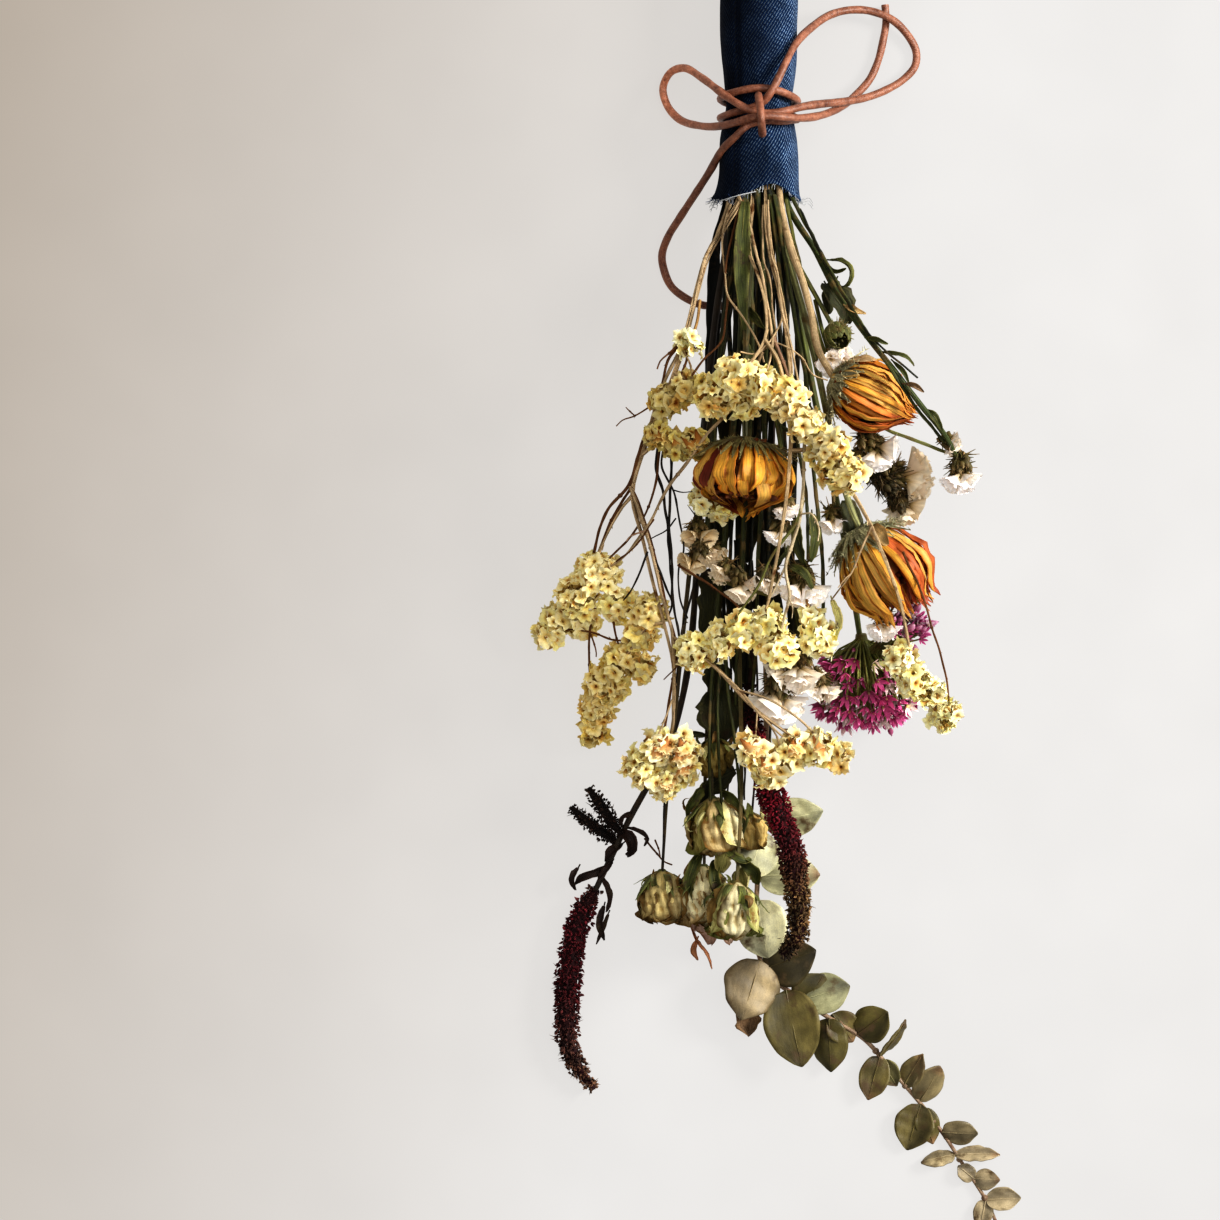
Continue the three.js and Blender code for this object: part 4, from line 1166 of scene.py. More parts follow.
def hill_round(angle, middle, width):
    """A hill over angles in degrees, the short way round."""
    return hill((angle - middle + 180) % 360 - 180, 0, width)


def ramp(value, start, length):
    """0 before the start, 1 past the end, and straight between."""
    return np.clip((value - start) / length, 0, 1)


# The strip's two ends, in degrees from the right side over the top
STRIP_START = 165
STRIP_END = -230
MOUTH_ROW = 200
PINCH_ROW = 105


def add_denim():
    """One strip of twill, wound once round the stems and lapped at the upper left."""
    around, rows = 132, 74
    theta = np.linspace(STRIP_START, STRIP_END, around)[:, None]
    share = np.linspace(0, 1, rows)[None]
    mouth = MOUTH_ROW - 11 * hill_round(theta, 72, 34) + 1.6 * np.sin(np.radians(3 * theta + 40))
    far = SLEEVE_RINGS[0][0] + 1.5 * np.sin(np.radians(2 * theta + 20))
    row = far + (mouth - far) * share
    every = 0 * row
    table = line_through(np.array(SLEEVE_RINGS, float), 12)
    wide = np.interp(row, table[:, 0], table[:, 1])
    deep = np.interp(row, table[:, 0], table[:, 2])
    # The end of the strip lies on top of its start
    inset = 0.95 - 0.95 * ramp(-theta, 160, 45) + every
    turn = np.radians(theta)
    out = np.stack([np.cos(turn) + every, every, np.sin(turn) + every], axis=-1)
    points = sleeve_at(row)[0] + out * np.stack([wide - inset, every, deep - inset], axis=-1)
    # Folds where the cord pinches the cloth, at both sides of it, and at the flared mouth
    folds = 0.34 * np.cos(np.radians(11 * theta) + 0.02 * row) * hill(row, PINCH_ROW, 30)
    folds += 0.3 * np.cos(np.radians(5 * theta + 60)) * hill(row, 150, 28)
    folds += 0.22 * np.cos(np.radians(7 * theta + 0.5 * row)) * hill(row, 62, 30)
    flare = ramp(row, 168, 32) ** 2
    folds += 3.0 * flare * hill_round(theta, 178, 26)
    folds += 0.8 * flare * hill_round(theta, 20, 40)
    folds += 0.55 * ramp(row - mouth, -7, 7) ** 2
    flat = points.reshape(-1, 3) * (1, 0.45, 1)
    folds += (0.26 * ripple(flat, 9, 5) + 0.3 * ripple(flat, 24, 6)).reshape(row.shape)
    folds = np.maximum(folds, -0.2)
    points = points + folds[..., None] * out
    keep_above(points, 0.45)
    rim = ramp(-theta, 224, 6) ** 2
    points = points - (0.7 * rim)[..., None] * out
    # Painted light and shade: painted highlight on the fold ridges, painted shadow under the lap, and painted shade at
    # the raw edge, over the outer lap's left part, on the side away from the light and over the middle of the upper
    # rows
    shade = 0.88 + 0.45 * np.clip(folds * 0.5, -0.3, 0.5)
    shade = shade + 0.12 * ripple(flat, 14, 7).reshape(row.shape)
    # Painted shade over the outer lap's left part, and painted shadow in a groove under the lap
    shade = shade * np.where(theta < -185, 0.62, 1.0) * (1 - 0.45 * hill(theta, 124, 5))
    # Painted shade at the raw edge
    shade = shade * (1 - 0.75 * rim)
    # Painted shade, darker on the side away from the light
    shade = shade * (0.54 + 0.64 * (0.5 + 0.5 * np.cos(np.radians(theta - 20))) ** 2.6)
    # Painted shade over the middle of the upper rows
    shade = shade * (1 - 0.4 * ramp(-row, -100, 50) * hill(theta, 96, 38))
    grain = np.stack([(STRIP_START - theta) * math.radians(15) + every, -row * 0.405], axis=-1)
    piece = Piece()
    tint = DENIM_BLUE * shade[..., None]
    piece.add(points, lattice(around, rows), tint.reshape(-1, 3), grain)
    cloth = piece.build("denim_sleeve", "denim", [DENIM], ["denim_wrap"])
    thickness = cloth.modifiers.new("cloth thickness", "SOLIDIFY")
    thickness.thickness = 0.7 * MM
    thickness.offset = 0
    fringe = add_fringe(points, out)
    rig.sheet(
        cloth, flat=(0.103, 0.148), held="gathered", rests_on=["rose_stem_1"], with_pieces=[fringe],
    )


def add_fringe(points, out):
    """Loose threads at the two raw ends."""
    rng = np.random.default_rng(11)
    piece = Piece()
    pale, blue = rgb(196, 198, 200), rgb(40, 66, 108)

    def thread(at, heading, length, thickness, tint):
        steps = max(4, int(length / 0.7))
        curl = unit(rng.normal(size=3)) * rng.uniform(0.2, 0.9)
        line, heading = [at], unit(heading)
        for _ in range(steps):
            heading = unit(heading + 0.22 * curl + rng.normal(scale=0.16, size=3))
            line.append(line[-1] + heading * length / steps)
        line = np.array(line)
        keep_above(line, 0.3)
        tube(piece, line, np.linspace(thickness, 0.6 * thickness, len(line)), tint, 5)

    # The end of the cloth, how many threads, share of pale ones, way, and how far they may stray
    for end, number, share, way, lift, stray, longest in (
        (-1, 150, 0.62, -1.0, 0.5, 0.45, 3.4), (0, 120, 0.5, 1.0, 0.3, 0.4, 3.2),
    ):
        for i in rng.choice(len(points), number):
            tint = pale if rng.random() < share else blue
            heading = np.array([0, way, 0]) + lift * out[i, end] + rng.normal(scale=stray, size=3)
            thread(points[i, end], heading, rng.uniform(0.8, longest), 0.14, tint)
    left = seen([714, 201, 25])
    for _ in range(12):
        heading = np.array([-0.7, -0.6, 0.1]) + rng.normal(scale=0.5, size=3)
        thread(left + rng.normal(scale=1.0, size=3), heading, rng.uniform(2.5, 5.5), 0.16, pale)
    loose = [[720, 201, 35], [731, 197.5, 38.5], [744, 194, 38.8], [756, 191.5, 38.2]]
    tube(piece, route_line(loose, 1.2), 0.2, pale, 6)
    for k in range(3):
        hair = [
            [797, 197 + k, 26], [803, 200 + 2 * k, 25], [809, 198 + 3 * k, 24 - k],
            [813, 203 + 3 * k, 22],
        ]
        tube(piece, route_line(hair, 1.0), 0.12, pale * 0.8, 5)
    return piece.build("denim_fringe", "denim", [THREAD])


# Stems


CUT_ROW = -182
CUT_STEP = 5
MOUTH_POINTS = len(SLOT_ROWS) + 1
SETTLE_ROUNDS = 80
SETTLE_GAP = 0.45
TABLE_GAP = 0.4


def slot_at(slot, row):
    centre, half_width = sleeve_at(row)
    pitch = (half_width - SLEEVE_WALL - STEM_BASE_RADIUS - STEM_SLOT_GAP) / 2.5
    return centre + np.array([slot[0] * pitch, 0, slot[1] * pitch * math.sin(PI / 3)])


def stem_points(stem, order):
    cut = slot_at(stem["slot"], CUT_ROW - CUT_STEP * (order % 4))
    inside = [slot_at(stem["slot"], row) for row in SLOT_ROWS]
    past = np.vstack([inside[-2:], seen(stem["route"])])
    outside = evenly(line_through(past), STEM_STEP)
    outside = outside[outside[:, 1] < past[1][1] - 0.6 * STEM_STEP]
    return np.vstack([cut, *inside, outside])


def settled_stems():
    """The stems' lines, pushed apart until they lie side by side, as in the construction model."""
    lines = [stem_points(stem, order) for order, stem in enumerate(STEMS.values())]
    sizes = [len(line) for line in lines]
    radii = []
    for stem, count in zip(STEMS.values(), sizes):
        share = np.maximum(0, np.arange(count) - MOUTH_POINTS) / (count - MOUTH_POINTS)
        thick, thin = stem["radius"]
        radii.append(thick + (thin - thick) * share)
    points, radius = np.vstack(lines), np.concatenate(radii)
    owner = np.repeat(np.arange(len(sizes)), sizes)
    index = np.concatenate([np.arange(n) for n in sizes])
    last = np.repeat(sizes, sizes) - 1
    mine = np.flatnonzero(index >= MOUTH_POINTS - 1)
    theirs = np.flatnonzero((index >= MOUTH_POINTS - 1) & (index < last))
    free = np.flatnonzero((index >= MOUTH_POINTS) & (index < last))
    apart = owner[mine][:, None] != owner[theirs][None]
    wanted = radius[mine][:, None] + radius[theirs][None] + SETTLE_GAP
    names = list(STEMS)
    balls = []
    for head, on in HEAD_ON.items():
        axis, reach = HEADS[head]
        balls.append((seen(axis[2]), 0.8 * reach[2], owner != names.index(on)))
    for _ in range(SETTLE_ROUNDS):
        start, stretch = points[theirs], points[theirs + 1] - points[theirs]
        offset = points[mine][:, None] - start[None]
        share = np.clip((offset * stretch).sum(-1) / (stretch**2).sum(-1), 0, 1)
        away = offset - share[..., None] * stretch
        gap = np.linalg.norm(away, axis=-1)
        near = apart & (np.abs(offset[..., 1]) <= 2 * STEM_STEP) & (gap < wanted)
        force = np.where(near, 0.5 * (wanted - gap) / np.maximum(gap, 1e-9), 0)
        force = away * force[..., None]
        push = np.zeros_like(points)
        push[mine] += force.sum(1)
        push[theirs] -= (force * (1 - share[..., None])).sum(0)
        push[theirs + 1] -= (force * share[..., None]).sum(0)
        for centre, ball, others in balls:
            away = points - centre
            gap = np.linalg.norm(away, axis=1)
            short = np.where(others, np.maximum(0, ball + radius - gap), 0)
            push += away * (0.4 * short / np.maximum(gap, 1e-9))[:, None]
        points[free] += 0.5 * push[free] + 0.25 * (push[free - 1] + push[free + 1])
        points[free, 2] = np.maximum(points[free, 2], radius[free] + TABLE_GAP)
    ends = np.cumsum(sizes)[:-1]
    return dict(zip(names, zip(np.split(points, ends), np.split(radius, ends))))


STALKS = {
    "straw": (STRAW, "straw_stem", rgb(190, 166, 130)),
    "green": (GREEN, "green_stem", rgb(98, 102, 54)),
    "dark": (DARK, "dark_stem", rgb(58, 48, 38)),
    "twig": (TWIG, "twig", rgb(158, 132, 106)),
}
STEM_TINTS = {
    "strawflower_stem_2": rgb(84, 82, 52), "strawflower_stem_3": rgb(150, 150, 104),
    "white_statice_stem_right": rgb(68, 78, 38), "white_statice_stem_centre": rgb(80, 84, 44),
    "white_statice_stem_left": rgb(66, 68, 38), "rose_stem_1": rgb(92, 80, 54),
    "rose_stem_2": rgb(84, 78, 48), "rose_stem_3": rgb(96, 88, 54), "rose_stem_4": rgb(84, 72, 50),
    "allium_stem": rgb(92, 98, 50), "yellow_statice_stem_left": rgb(186, 162, 128),
    "amaranth_right_stem": rgb(70, 48, 40),
}
# How much of a stem's outline its own stalk fills. Below BUNDLED, thin stalks beside it fill the rest
STALK_SHARES = {
    "straw": 0.33, "green": 0.56, "dark": 1.0, "twig": 1.0, "white_statice_stem_right": 0.68,
    "strawflower_stem_1": 0.86, "strawflower_stem_3": 0.86, "allium_stem": 0.86,
}
BUNDLED = 0.6
SETTLED = settled_stems()


def spurs(piece, line, radii, tint, rng, every, length):
    """Small dry bracts that stand off a twig."""
    stops = evenly(line, every)[1:-1]
    along = frames_along(stops)[2] if len(stops) > 1 else np.array([[0, -1.0, 0]] * len(stops))
    for at, heading in zip(stops, along):
        if rng.random() < 0.75:
            lean = unit(heading + 0.8 * unit(rng.normal(size=3)))
            size = length * rng.uniform(0.6, 1.3)
            spine = at + np.linspace(0, 1, 5)[:, None] * lean * size
            across = unit(np.cross(lean, rng.normal(size=3)))
            halves = radii * 0.8 * np.array([1, 0.9, 0.6, 0.35, 0.05])
            blade(
                piece, spine, across, halves, np.cross(across, lean), 0.5, 3,
                tint * rng.uniform(0.7, 1.15),
            )


def companions(piece, dense, reach, count, thin, tint, rng):
    """Thin stalks that lie along a main one, inside the same outline."""
    side, up, _ = frames_along(dense)
    for k in range(count):
        start = 2 * PI * (k + rng.uniform(-0.2, 0.2)) / count
        turn = start + rng.uniform(0.3, 1.1) * np.linspace(-1, 1.5, len(dense))
        path = dense + (reach - thin * 1.1)[:, None] * turned(side, up, turn[:, None])[0]
        tube(piece, path[::2], thin, tint * rng.uniform(0.75, 1.15), 6)


def add_twigs(piece, stem, line, order, tint, rng):
    """The side twigs of a stem, each from the nearest point of its line."""
    for places in stem.get("twigs", ()):
        route = seen(places)
        whole = line_through(np.vstack([nearest(line, route[0]), route[1:]]))
        path = evenly(whole, 2.5)
        thin = np.linspace(0.85, 0.55, len(path)) * (1 + 0.1 * ripple(path, 6, order))
        tube(piece, path, thin, tint * 1.02, 9, flutes=3, depth=0.12, twist=0.05)
        if stem["colour"] == "straw":
            spurs(piece, path, 0.9, tint, rng, 9, 3.2)


def add_stems():
    rng = np.random.default_rng(21)
    for order, (name, stem) in enumerate(STEMS.items()):
        line, radii = SETTLED[name]
        colour = stem["colour"]
        finish, slot, tint = STALKS[colour]
        tint = STEM_TINTS.get(name, tint)
        finishes = [finish]
        dense = line_through(line, 7)
        size = spread(radii, len(dense)) * (0.97 + 0.05 * ripple(dense, 14, 30 + order))
        if name == "allium_stem":
            size = size * 1.05
        # Slimmer inside the sleeve
        mouth = [line[MOUTH_POINTS][1], line[MOUTH_POINTS - 1][1] + 6]
        size = size * np.interp(dense[:, 1], mouth, [1.0, 0.86])
        shade = tint * (1 + 0.12 * ripple(dense, 30, 50 + order))[:, None]
        piece = Piece()
        share = STALK_SHARES.get(name, STALK_SHARES[colour])
        slim = 1.0
        if share < BUNDLED:
            if colour == "straw":
                slim = np.interp(np.linspace(0, 1, len(dense)), [0.35, 0.8], [1.0, 0.55])
            companions(piece, dense, 0.5 + (size - 0.5) * slim, 2, 0.38, tint, rng)
        ridged = colour in ("straw", "green") and not name.startswith(("rose", "strawflower_stem_1"))
        sides, flutes = (15, 5) if ridged else (10, 0)
        size = size * share * (0.4 + 0.6 * slim)
        tube(piece, dense, size, shade, sides, flutes, depth=0.13, twist=0.012)
        add_twigs(piece, stem, line, order, tint, rng)
        if name.startswith("yellow_statice"):
            spurs(piece, dense[len(dense) // 3:], 0.8, tint * 0.9, rng, 18, 3.5)
        if name.startswith("rose"):
            for at in evenly(dense, 15)[11:]:
                lean = unit(np.array([rng.normal(), -0.4, rng.normal() + 0.4]))
                sticks(piece, at[None], (at + lean * 2.0)[None], 0.5, 0.05, tint * 0.8)
        if name == "eucalyptus_stem":
            finishes.append(LEAF)
            add_joints_and_tip(piece, dense, tint, rng)
        piece.build(f"{name}_grown", slot, finishes, [name])


def add_joints_and_tip(piece, dense, tint, rng):
    """The eucalyptus stem's swollen joints, and the leaves that are one piece with it."""
    for at in evenly(dense, 19)[14:]:
        ring = at + np.linspace(-1.1, 1.1, 6)[:, None] * np.array([0.35, -0.93, 0])
        keep_above(ring, 1.4)
        tube(piece, ring, np.array([0.9, 1.25, 1.45, 1.4, 1.2, 0.9]), tint * 0.8, 10)
    for k, leaf in enumerate(TIP_LEAVES):
        tan = min(1, max(0, (k - 1) / 5))
        tone = LEAF_TINTS["olive"] + (LEAF_TINTS["tan"] - LEAF_TINTS["olive"]) * tan
        eucalyptus_leaf(piece, leaf, rng, tone * rng.uniform(0.75, 1.15), finish=1)
    for leaf, tone in zip(HIDDEN_LEAVES, HIDDEN_TONES):
        eucalyptus_leaf(piece, leaf, rng, LEAF_TINTS[tone], finish=1)


def add_strap_leaf():
    """The long leaf beside the bunch, dried into a shallow gutter with a torn look, and tinted near-black as painted
    shade.
    """
    count = 90
    line = route_line(STRAP_LEAF, count=count)
    line[:, 2] += 0.35
    across, face = level_frame(frames_along(line)[2])
    roll = np.radians(18 * np.sin(np.linspace(0, 7, count)))[:, None]
    across, face = turned(across, face, roll)
    halves = 0.88 * spread(STRAP_HALVES, count) * (1 + 0.07 * ripple(line, 11, 4))
    piece = Piece()
    # Near-black tint, as painted shade for the shadow at the back of the bunch
    shade = rgb(20, 20, 16) * (1 + 0.2 * ripple(line, 16, 9))[:, None]
    blade(
        piece, line, across, halves, face, 0.35, 9, shade, edge=rgb(30, 28, 22), thick=0.5, wave=0.22,
        wave_size=6, seed=8,
    )
    piece.build("strap_leaf_grown", "dark_leaf", [DARK_LEAF], ["strap_leaf"])


# Eucalyptus


LEAF_TINTS = {
    "mint": rgb(176, 174, 138), "pale": rgb(206, 202, 166), "grey": rgb(142, 140, 108),
    "sage": rgb(126, 120, 80), "olive": rgb(100, 90, 52), "dark": rgb(86, 78, 40),
    "deep": rgb(64, 56, 30), "moss": rgb(104, 94, 54), "brown": rgb(132, 112, 76),
    "tan": rgb(152, 138, 110), "copper": rgb(146, 112, 80), "cream": rgb(152, 135, 102),
}
LEAF_TONES = [
    "mint", "mint", "mint", "pale", "cream", "deep", "moss", "grey", "dark", "dark", "olive",
]
# Leaves that show between the others
HIDDEN_LEAVES = [
    ([802, 1008, 6.5], [824, 974, 8], 17, 8),
    ([832, 1014, 5.2], [853, 1042, 5], 13, -10),
    ([882, 1060, 3.6], [897, 1086, 3.4], 9, 14),
    ([922, 1108, 3.0], [933, 1144, 3.0], 10, -8),
]
HIDDEN_TONES = ["dark", "olive", "sage", "dark"]


def eucalyptus_leaf(piece, leaf, rng, tone, finish=0, rim=1.35):
    """A round leathery leaf with a raised midrib, a pale rim and a slight wave, and one half painted lighter than the
    other as painted light and shade.
    """
    base, tip, width, roll = leaf
    start = seen(base)
    reach = seen(tip) - start
    length = np.linalg.norm(reach)
    along = reach / length
    across, face = turned(*level_frame(along), -math.radians(roll))
    if face[2] < 0:
        across, face = -across, -face
    count = 22
    t = np.linspace(0, 1, count)
    swell = np.clip(np.sin(PI * t**0.82), 0, 1) ** 0.54
    swell = swell * (1 - rng.uniform(0.25, 0.6) * np.clip((t - 0.76) / 0.24, 0, 1) ** 1.6)
    uneven = 1 + 0.05 * ripple(t[:, None] * [9.0, 0, 0], 4, rng.integers(99))
    halves = np.maximum(width * 0.53 * swell * uneven, 0.35)
    arch = rng.uniform(0.02, 0.05) * length * np.sin(PI * t)
    spine = start + t[:, None] * along * length + arch[:, None] * face
    end = LEAF_TINTS["copper"] if rng.random() < 0.25 else tone * 0.8
    shade = tone + (end - tone) * np.clip((t - 0.75) / 0.25, 0, 1)[:, None]
    shade = shade * (1.06 - 0.4 * np.abs(2 * t - 1) ** 2.5)[:, None]
    lowest = spine[:, 2].min() - 0.4
    if lowest < 0.3:
        spine[:, 2] += 0.3 - lowest
    before = len(piece.points)
    blade(
        piece, spine, across, halves, face, rng.uniform(-0.22, 0.26), 13, shade, edge=tone * rim,
        thick=0.55, wave=0.07 * width / 2, wave_size=0.5 * width, seed=int(rng.integers(999)),
        finish=finish, under=tone * 1.15, painted_light_slant=rng.choice([-0.4, 0.4]),
    )
    keep_above(piece.points[before], 0.12)
    rib = spine + 0.32 * face
    radii = np.linspace(0.42, 0.12, count - 2)
    tube(piece, rib[:-2], radii, shade[:-2] * 1.3, 6, finish=finish)


def add_eucalyptus_leaves():
    rng = np.random.default_rng(33)
    stem = line_through(SETTLED["eucalyptus_stem"][0], 7)
    for number, (leaf, tone) in enumerate(zip(EUCALYPTUS_LEAVES, LEAF_TONES), 1):
        name = f"eucalyptus_leaf_{number}"
        piece = Piece()
        rim = 0.55 if tone == "cream" else 1.35
        eucalyptus_leaf(piece, leaf, rng, LEAF_TINTS[tone], rim=rim)
        start = seen(leaf[0])
        near = nearest(stem, start)
        if np.linalg.norm(near - start) > 0.5:
            stalk = evenly(np.vstack([near, start]), 1.0)
            tube(piece, stalk, 0.6, LEAF_TINTS["brown"], 8)
        piece.build(f"{name}_grown", "eucalyptus_leaf", [LEAF], [name])


# Small flowers, as shapes that are stamped many times


def split(quads):
    return np.vstack([quads[:, [0, 1, 2]], quads[:, [0, 2, 3]]])


def ring(radius, angle, height):
    """Points round +Z."""
    around = radius * np.cos(angle), radius * np.sin(angle)
    return np.stack(np.broadcast_arrays(*around, height), axis=1)


def funnel(lobes, per_lobe, rings, notch, ruffle, rng):
    """A papery funnel that opens towards +Z. rings are (radius, height, tint), foot to rim."""
    n, rough = lobes * per_lobe, 0.02
    angle = round_angles(n)
    lobe = np.cos(lobes * angle)
    frill = np.cos((lobes + 2) * angle + rng.uniform(0, 6)) + 10 * rough * rng.normal(size=n)
    points, tints = [], []
    for i, (radius, height, tint) in enumerate(rings):
        share = (i / (len(rings) - 1)) ** 2
        pleat = np.sqrt(share) if lobes > 5 else share
        r = radius * (1 + pleat * notch * lobe + share * rough * rng.normal(size=n))
        z = height + share * ruffle * frill
        points.append(ring(r, angle, z))
        # Painted highlight where the frill lifts
        tints.append(np.outer(1 + 0.07 * share * frill, tint))
    return np.vstack(points), split(lattice(len(rings), n, True)), np.vstack(tints)


def star(count, radius, inner, height, rise, tint, middle, spin):
    """A small star of pointed lobes round +Z, each folded along its middle."""
    angle = spin + round_angles(count)
    tips, gaps = ring(radius, angle, height + rise), ring(inner, angle + PI / count, height)
    points = np.vstack([[[0, 0, height - 0.06]], tips, gaps])
    k = np.arange(count)
    before = 1 + count + (k - 1) % count
    faces = np.vstack([np.c_[0 * k, before, 1 + k], np.c_[0 * k, 1 + k, 1 + count + k]])
    between = 0.6 * middle + 0.4 * tint
    return points, faces, np.vstack([middle, np.tile(tint, (count, 1)), np.tile(between, (count, 1))])


def joined(*shapes):
    points, faces, tints, count = [], [], [], 0
    for p, f, t in shapes:
        points.append(p)
        faces.append(f + count)
        tints.append(t)
        count += len(p)
    return np.vstack(points), np.vstack(faces), np.vstack(tints)


def petal_ring(count, length, width, lift, tint, base, tip, rng, curl):
    """Separate pointed petals round +Z, each a folded strip of two rows."""
    t = np.array([0.0, 0.3, 0.62, 0.86, 1.0])
    half = width / 2 * np.array([0.35, 0.85, 1.0, 0.6, 0.04])
    shapes = []
    for k in range(count):
        angle = 2 * PI * (k + rng.uniform(-0.12, 0.12)) / count
        radial = np.array([math.cos(angle), math.sin(angle), 0])
        side = np.array([-math.sin(angle), math.cos(angle), 0])
        z = lift * t + curl * length * t**3 * rng.uniform(0.2, 1.3)
        spine = np.outer(length * t, radial) + np.outer(z, [0, 0, 1.0])
        fold = np.outer(-0.3 * half, [0, 0, 1.0])
        edge = half[:, None] * side
        points = np.stack([spine - edge, spine + fold, spine + edge], axis=1)
        shade = np.outer(1 - t, base) + np.outer(t, tint)
        shade[-1] = tip
        shapes.append((points.reshape(-1, 3), split(lattice(5, 3)), np.repeat(shade, 3, axis=0)))
    return joined(*shapes)


def yellow_floret(rng, fine):
    """A papery floret with five notched lobes, never quite flat or round, and a brown eye."""
    n = 25 if fine else 13
    angle = round_angles(n)
    lobe = np.cos(5 * angle)
    bend = 0.12 * np.cos(2 * angle + rng.uniform(0, 6))
    bend = bend + 0.1 * np.cos(3 * angle + rng.uniform(0, 6))
    frill = 0.16 * np.cos(7 * angle + rng.uniform(0, 6)) + 0.08 * rng.normal(size=n)
    oval = 0.09 * np.cos(2 * angle + rng.uniform(0, 6)) + 0.07 * rng.normal(size=n)
    stain = np.clip(np.cos(angle + rng.uniform(0, 6)) - rng.uniform(0.5, 1.6), 0, 1)[:, None]
    fresh = rgb(236, 220, 150)
    throat = fresh + (rgb(190, 144, 78) - fresh) * rng.uniform(0, 1) ** 1.5
    rings = [
        (0.12, -0.5, rgb(152, 112, 56)), (0.24, -0.12, throat), (0.6, 0.0, rgb(250, 240, 186)),
        (1.0, -0.06, rgb(254, 249, 212)),
    ]
    if fine:
        rings.insert(0, (0.09, -1.0, rgb(104, 72, 36)))
    points, tints = [], []
    for radius, height, tint in rings:
        r = radius * (1 + radius**2 * (0.14 * lobe + oval))
        z = height + radius * bend + radius**2 * frill
        points.append(ring(r, angle, z))
        # Painted highlight where the frill lifts and on the lobes
        shade = np.outer(1 + 0.5 * radius * frill + 0.03 * radius * lobe, tint)
        tints.append(shade * (1 - stain * radius) + stain * radius * rgb(214, 156, 92))
    cup = np.vstack(points), split(lattice(len(rings), n, True)), np.clip(np.vstack(tints), 0, 1)
    if not fine:
        return cup
    dark = rng.uniform(0, 1)
    middle = rgb(96, 54, 26) * dark + rgb(206, 150, 74) * (1 - dark)
    reach, spin = rng.uniform(0.12, 0.27), rng.uniform(0, 6)
    return joined(cup, star(5, reach, 0.06, -0.04, 0.09, rgb(196, 134, 66), middle, spin))


def yellow_calyx(rng):
    """A floret seen from the side: a pleated tan funnel with a pale rim."""
    rings = [
        (0.12, -1.9, rgb(126, 84, 48)), (0.26, -1.35, rgb(184, 128, 78)),
        (0.46, -0.75, rgb(206, 152, 96)), (0.74, -0.2, rgb(226, 186, 128)),
        (1.0, 0.1, rgb(246, 234, 184)),
    ]
    return funnel(7, 3, rings, 0.09, 0.14, rng)


def white_floret(rng):
    rings = [
        (0.1, -1.75, rgb(150, 132, 88)), (0.24, -1.3, rgb(206, 190, 164)),
        (0.48, -0.78, rgb(243, 235, 230)), (0.78, -0.3, rgb(252, 248, 247)),
        (1.0, 0.0, rgb(254, 252, 251)),
    ]
    return funnel(8, 4, rings, 0.07, 0.1, rng)


def white_skirt(rng):
    """Several white florets grown together: one wide pleated skirt with a toothed rim."""
    pleats = 11
    n = 4 * pleats
    angle = round_angles(n)
    wave = sum(np.cos(k * angle + rng.uniform(0, 6)) / k**0.5 for k in (2, 3, 5)) / 1.7
    lift = sum(np.cos(k * angle + rng.uniform(0, 6)) / k**0.5 for k in (2, 4)) / 1.3
    teeth = np.where(np.arange(n) % 2, 1.0, -1.0)
    share = np.linspace(0, 1, 5)
    levels = np.array([0, 0.2, 0.4, 0.7, 1])
    ladder = np.array([
        rgb(132, 110, 66), rgb(196, 174, 134), rgb(232, 217, 194), rgb(247, 238, 226),
        rgb(252, 248, 243),
    ])
    points, tints = [], []
    for s in share:
        crease = np.cos(pleats * angle + 0.8 * np.sin(3 * angle))
        uneven = 1 + 0.035 * s * crease + 0.1 * s**2 * wave + 0.05 * (s == 1) * teeth
        z = -1.25 * (1 - s) ** 0.85 + 0.08 * s**2 * lift - 0.08 * s**4
        points.append(ring((0.12 + 0.88 * s**1.05) * uneven, angle, z))
        shade = np.array([np.interp(s, levels, ladder[:, k]) for k in range(3)])
        # Pleats and bulges painted lighter where they rise and darker in their folds, as painted highlight and shade
        tints.append(np.outer(0.94 + 0.1 * crease * s + 0.04 * wave, shade))
    return np.vstack(points), split(lattice(len(share), n, True)), np.clip(np.vstack(tints), 0, 1)


def small_bud(tint, tip, rng):
    """A closed bud: a pointed drop along +Z."""
    n = 6
    rings = [(0.2, 0.0, 0.8 * tint), (0.5, 0.35, tint), (0.45, 0.85, tint), (0.06, 1.5, tip)]
    points = np.vstack([ring(r, round_angles(n), z) for r, z, _ in rings])
    points = points * rng.uniform(0.88, 1.12, (len(points), 1))
    return points, split(lattice(4, n, True)), np.repeat([c for _, _, c in rings], n, axis=0)


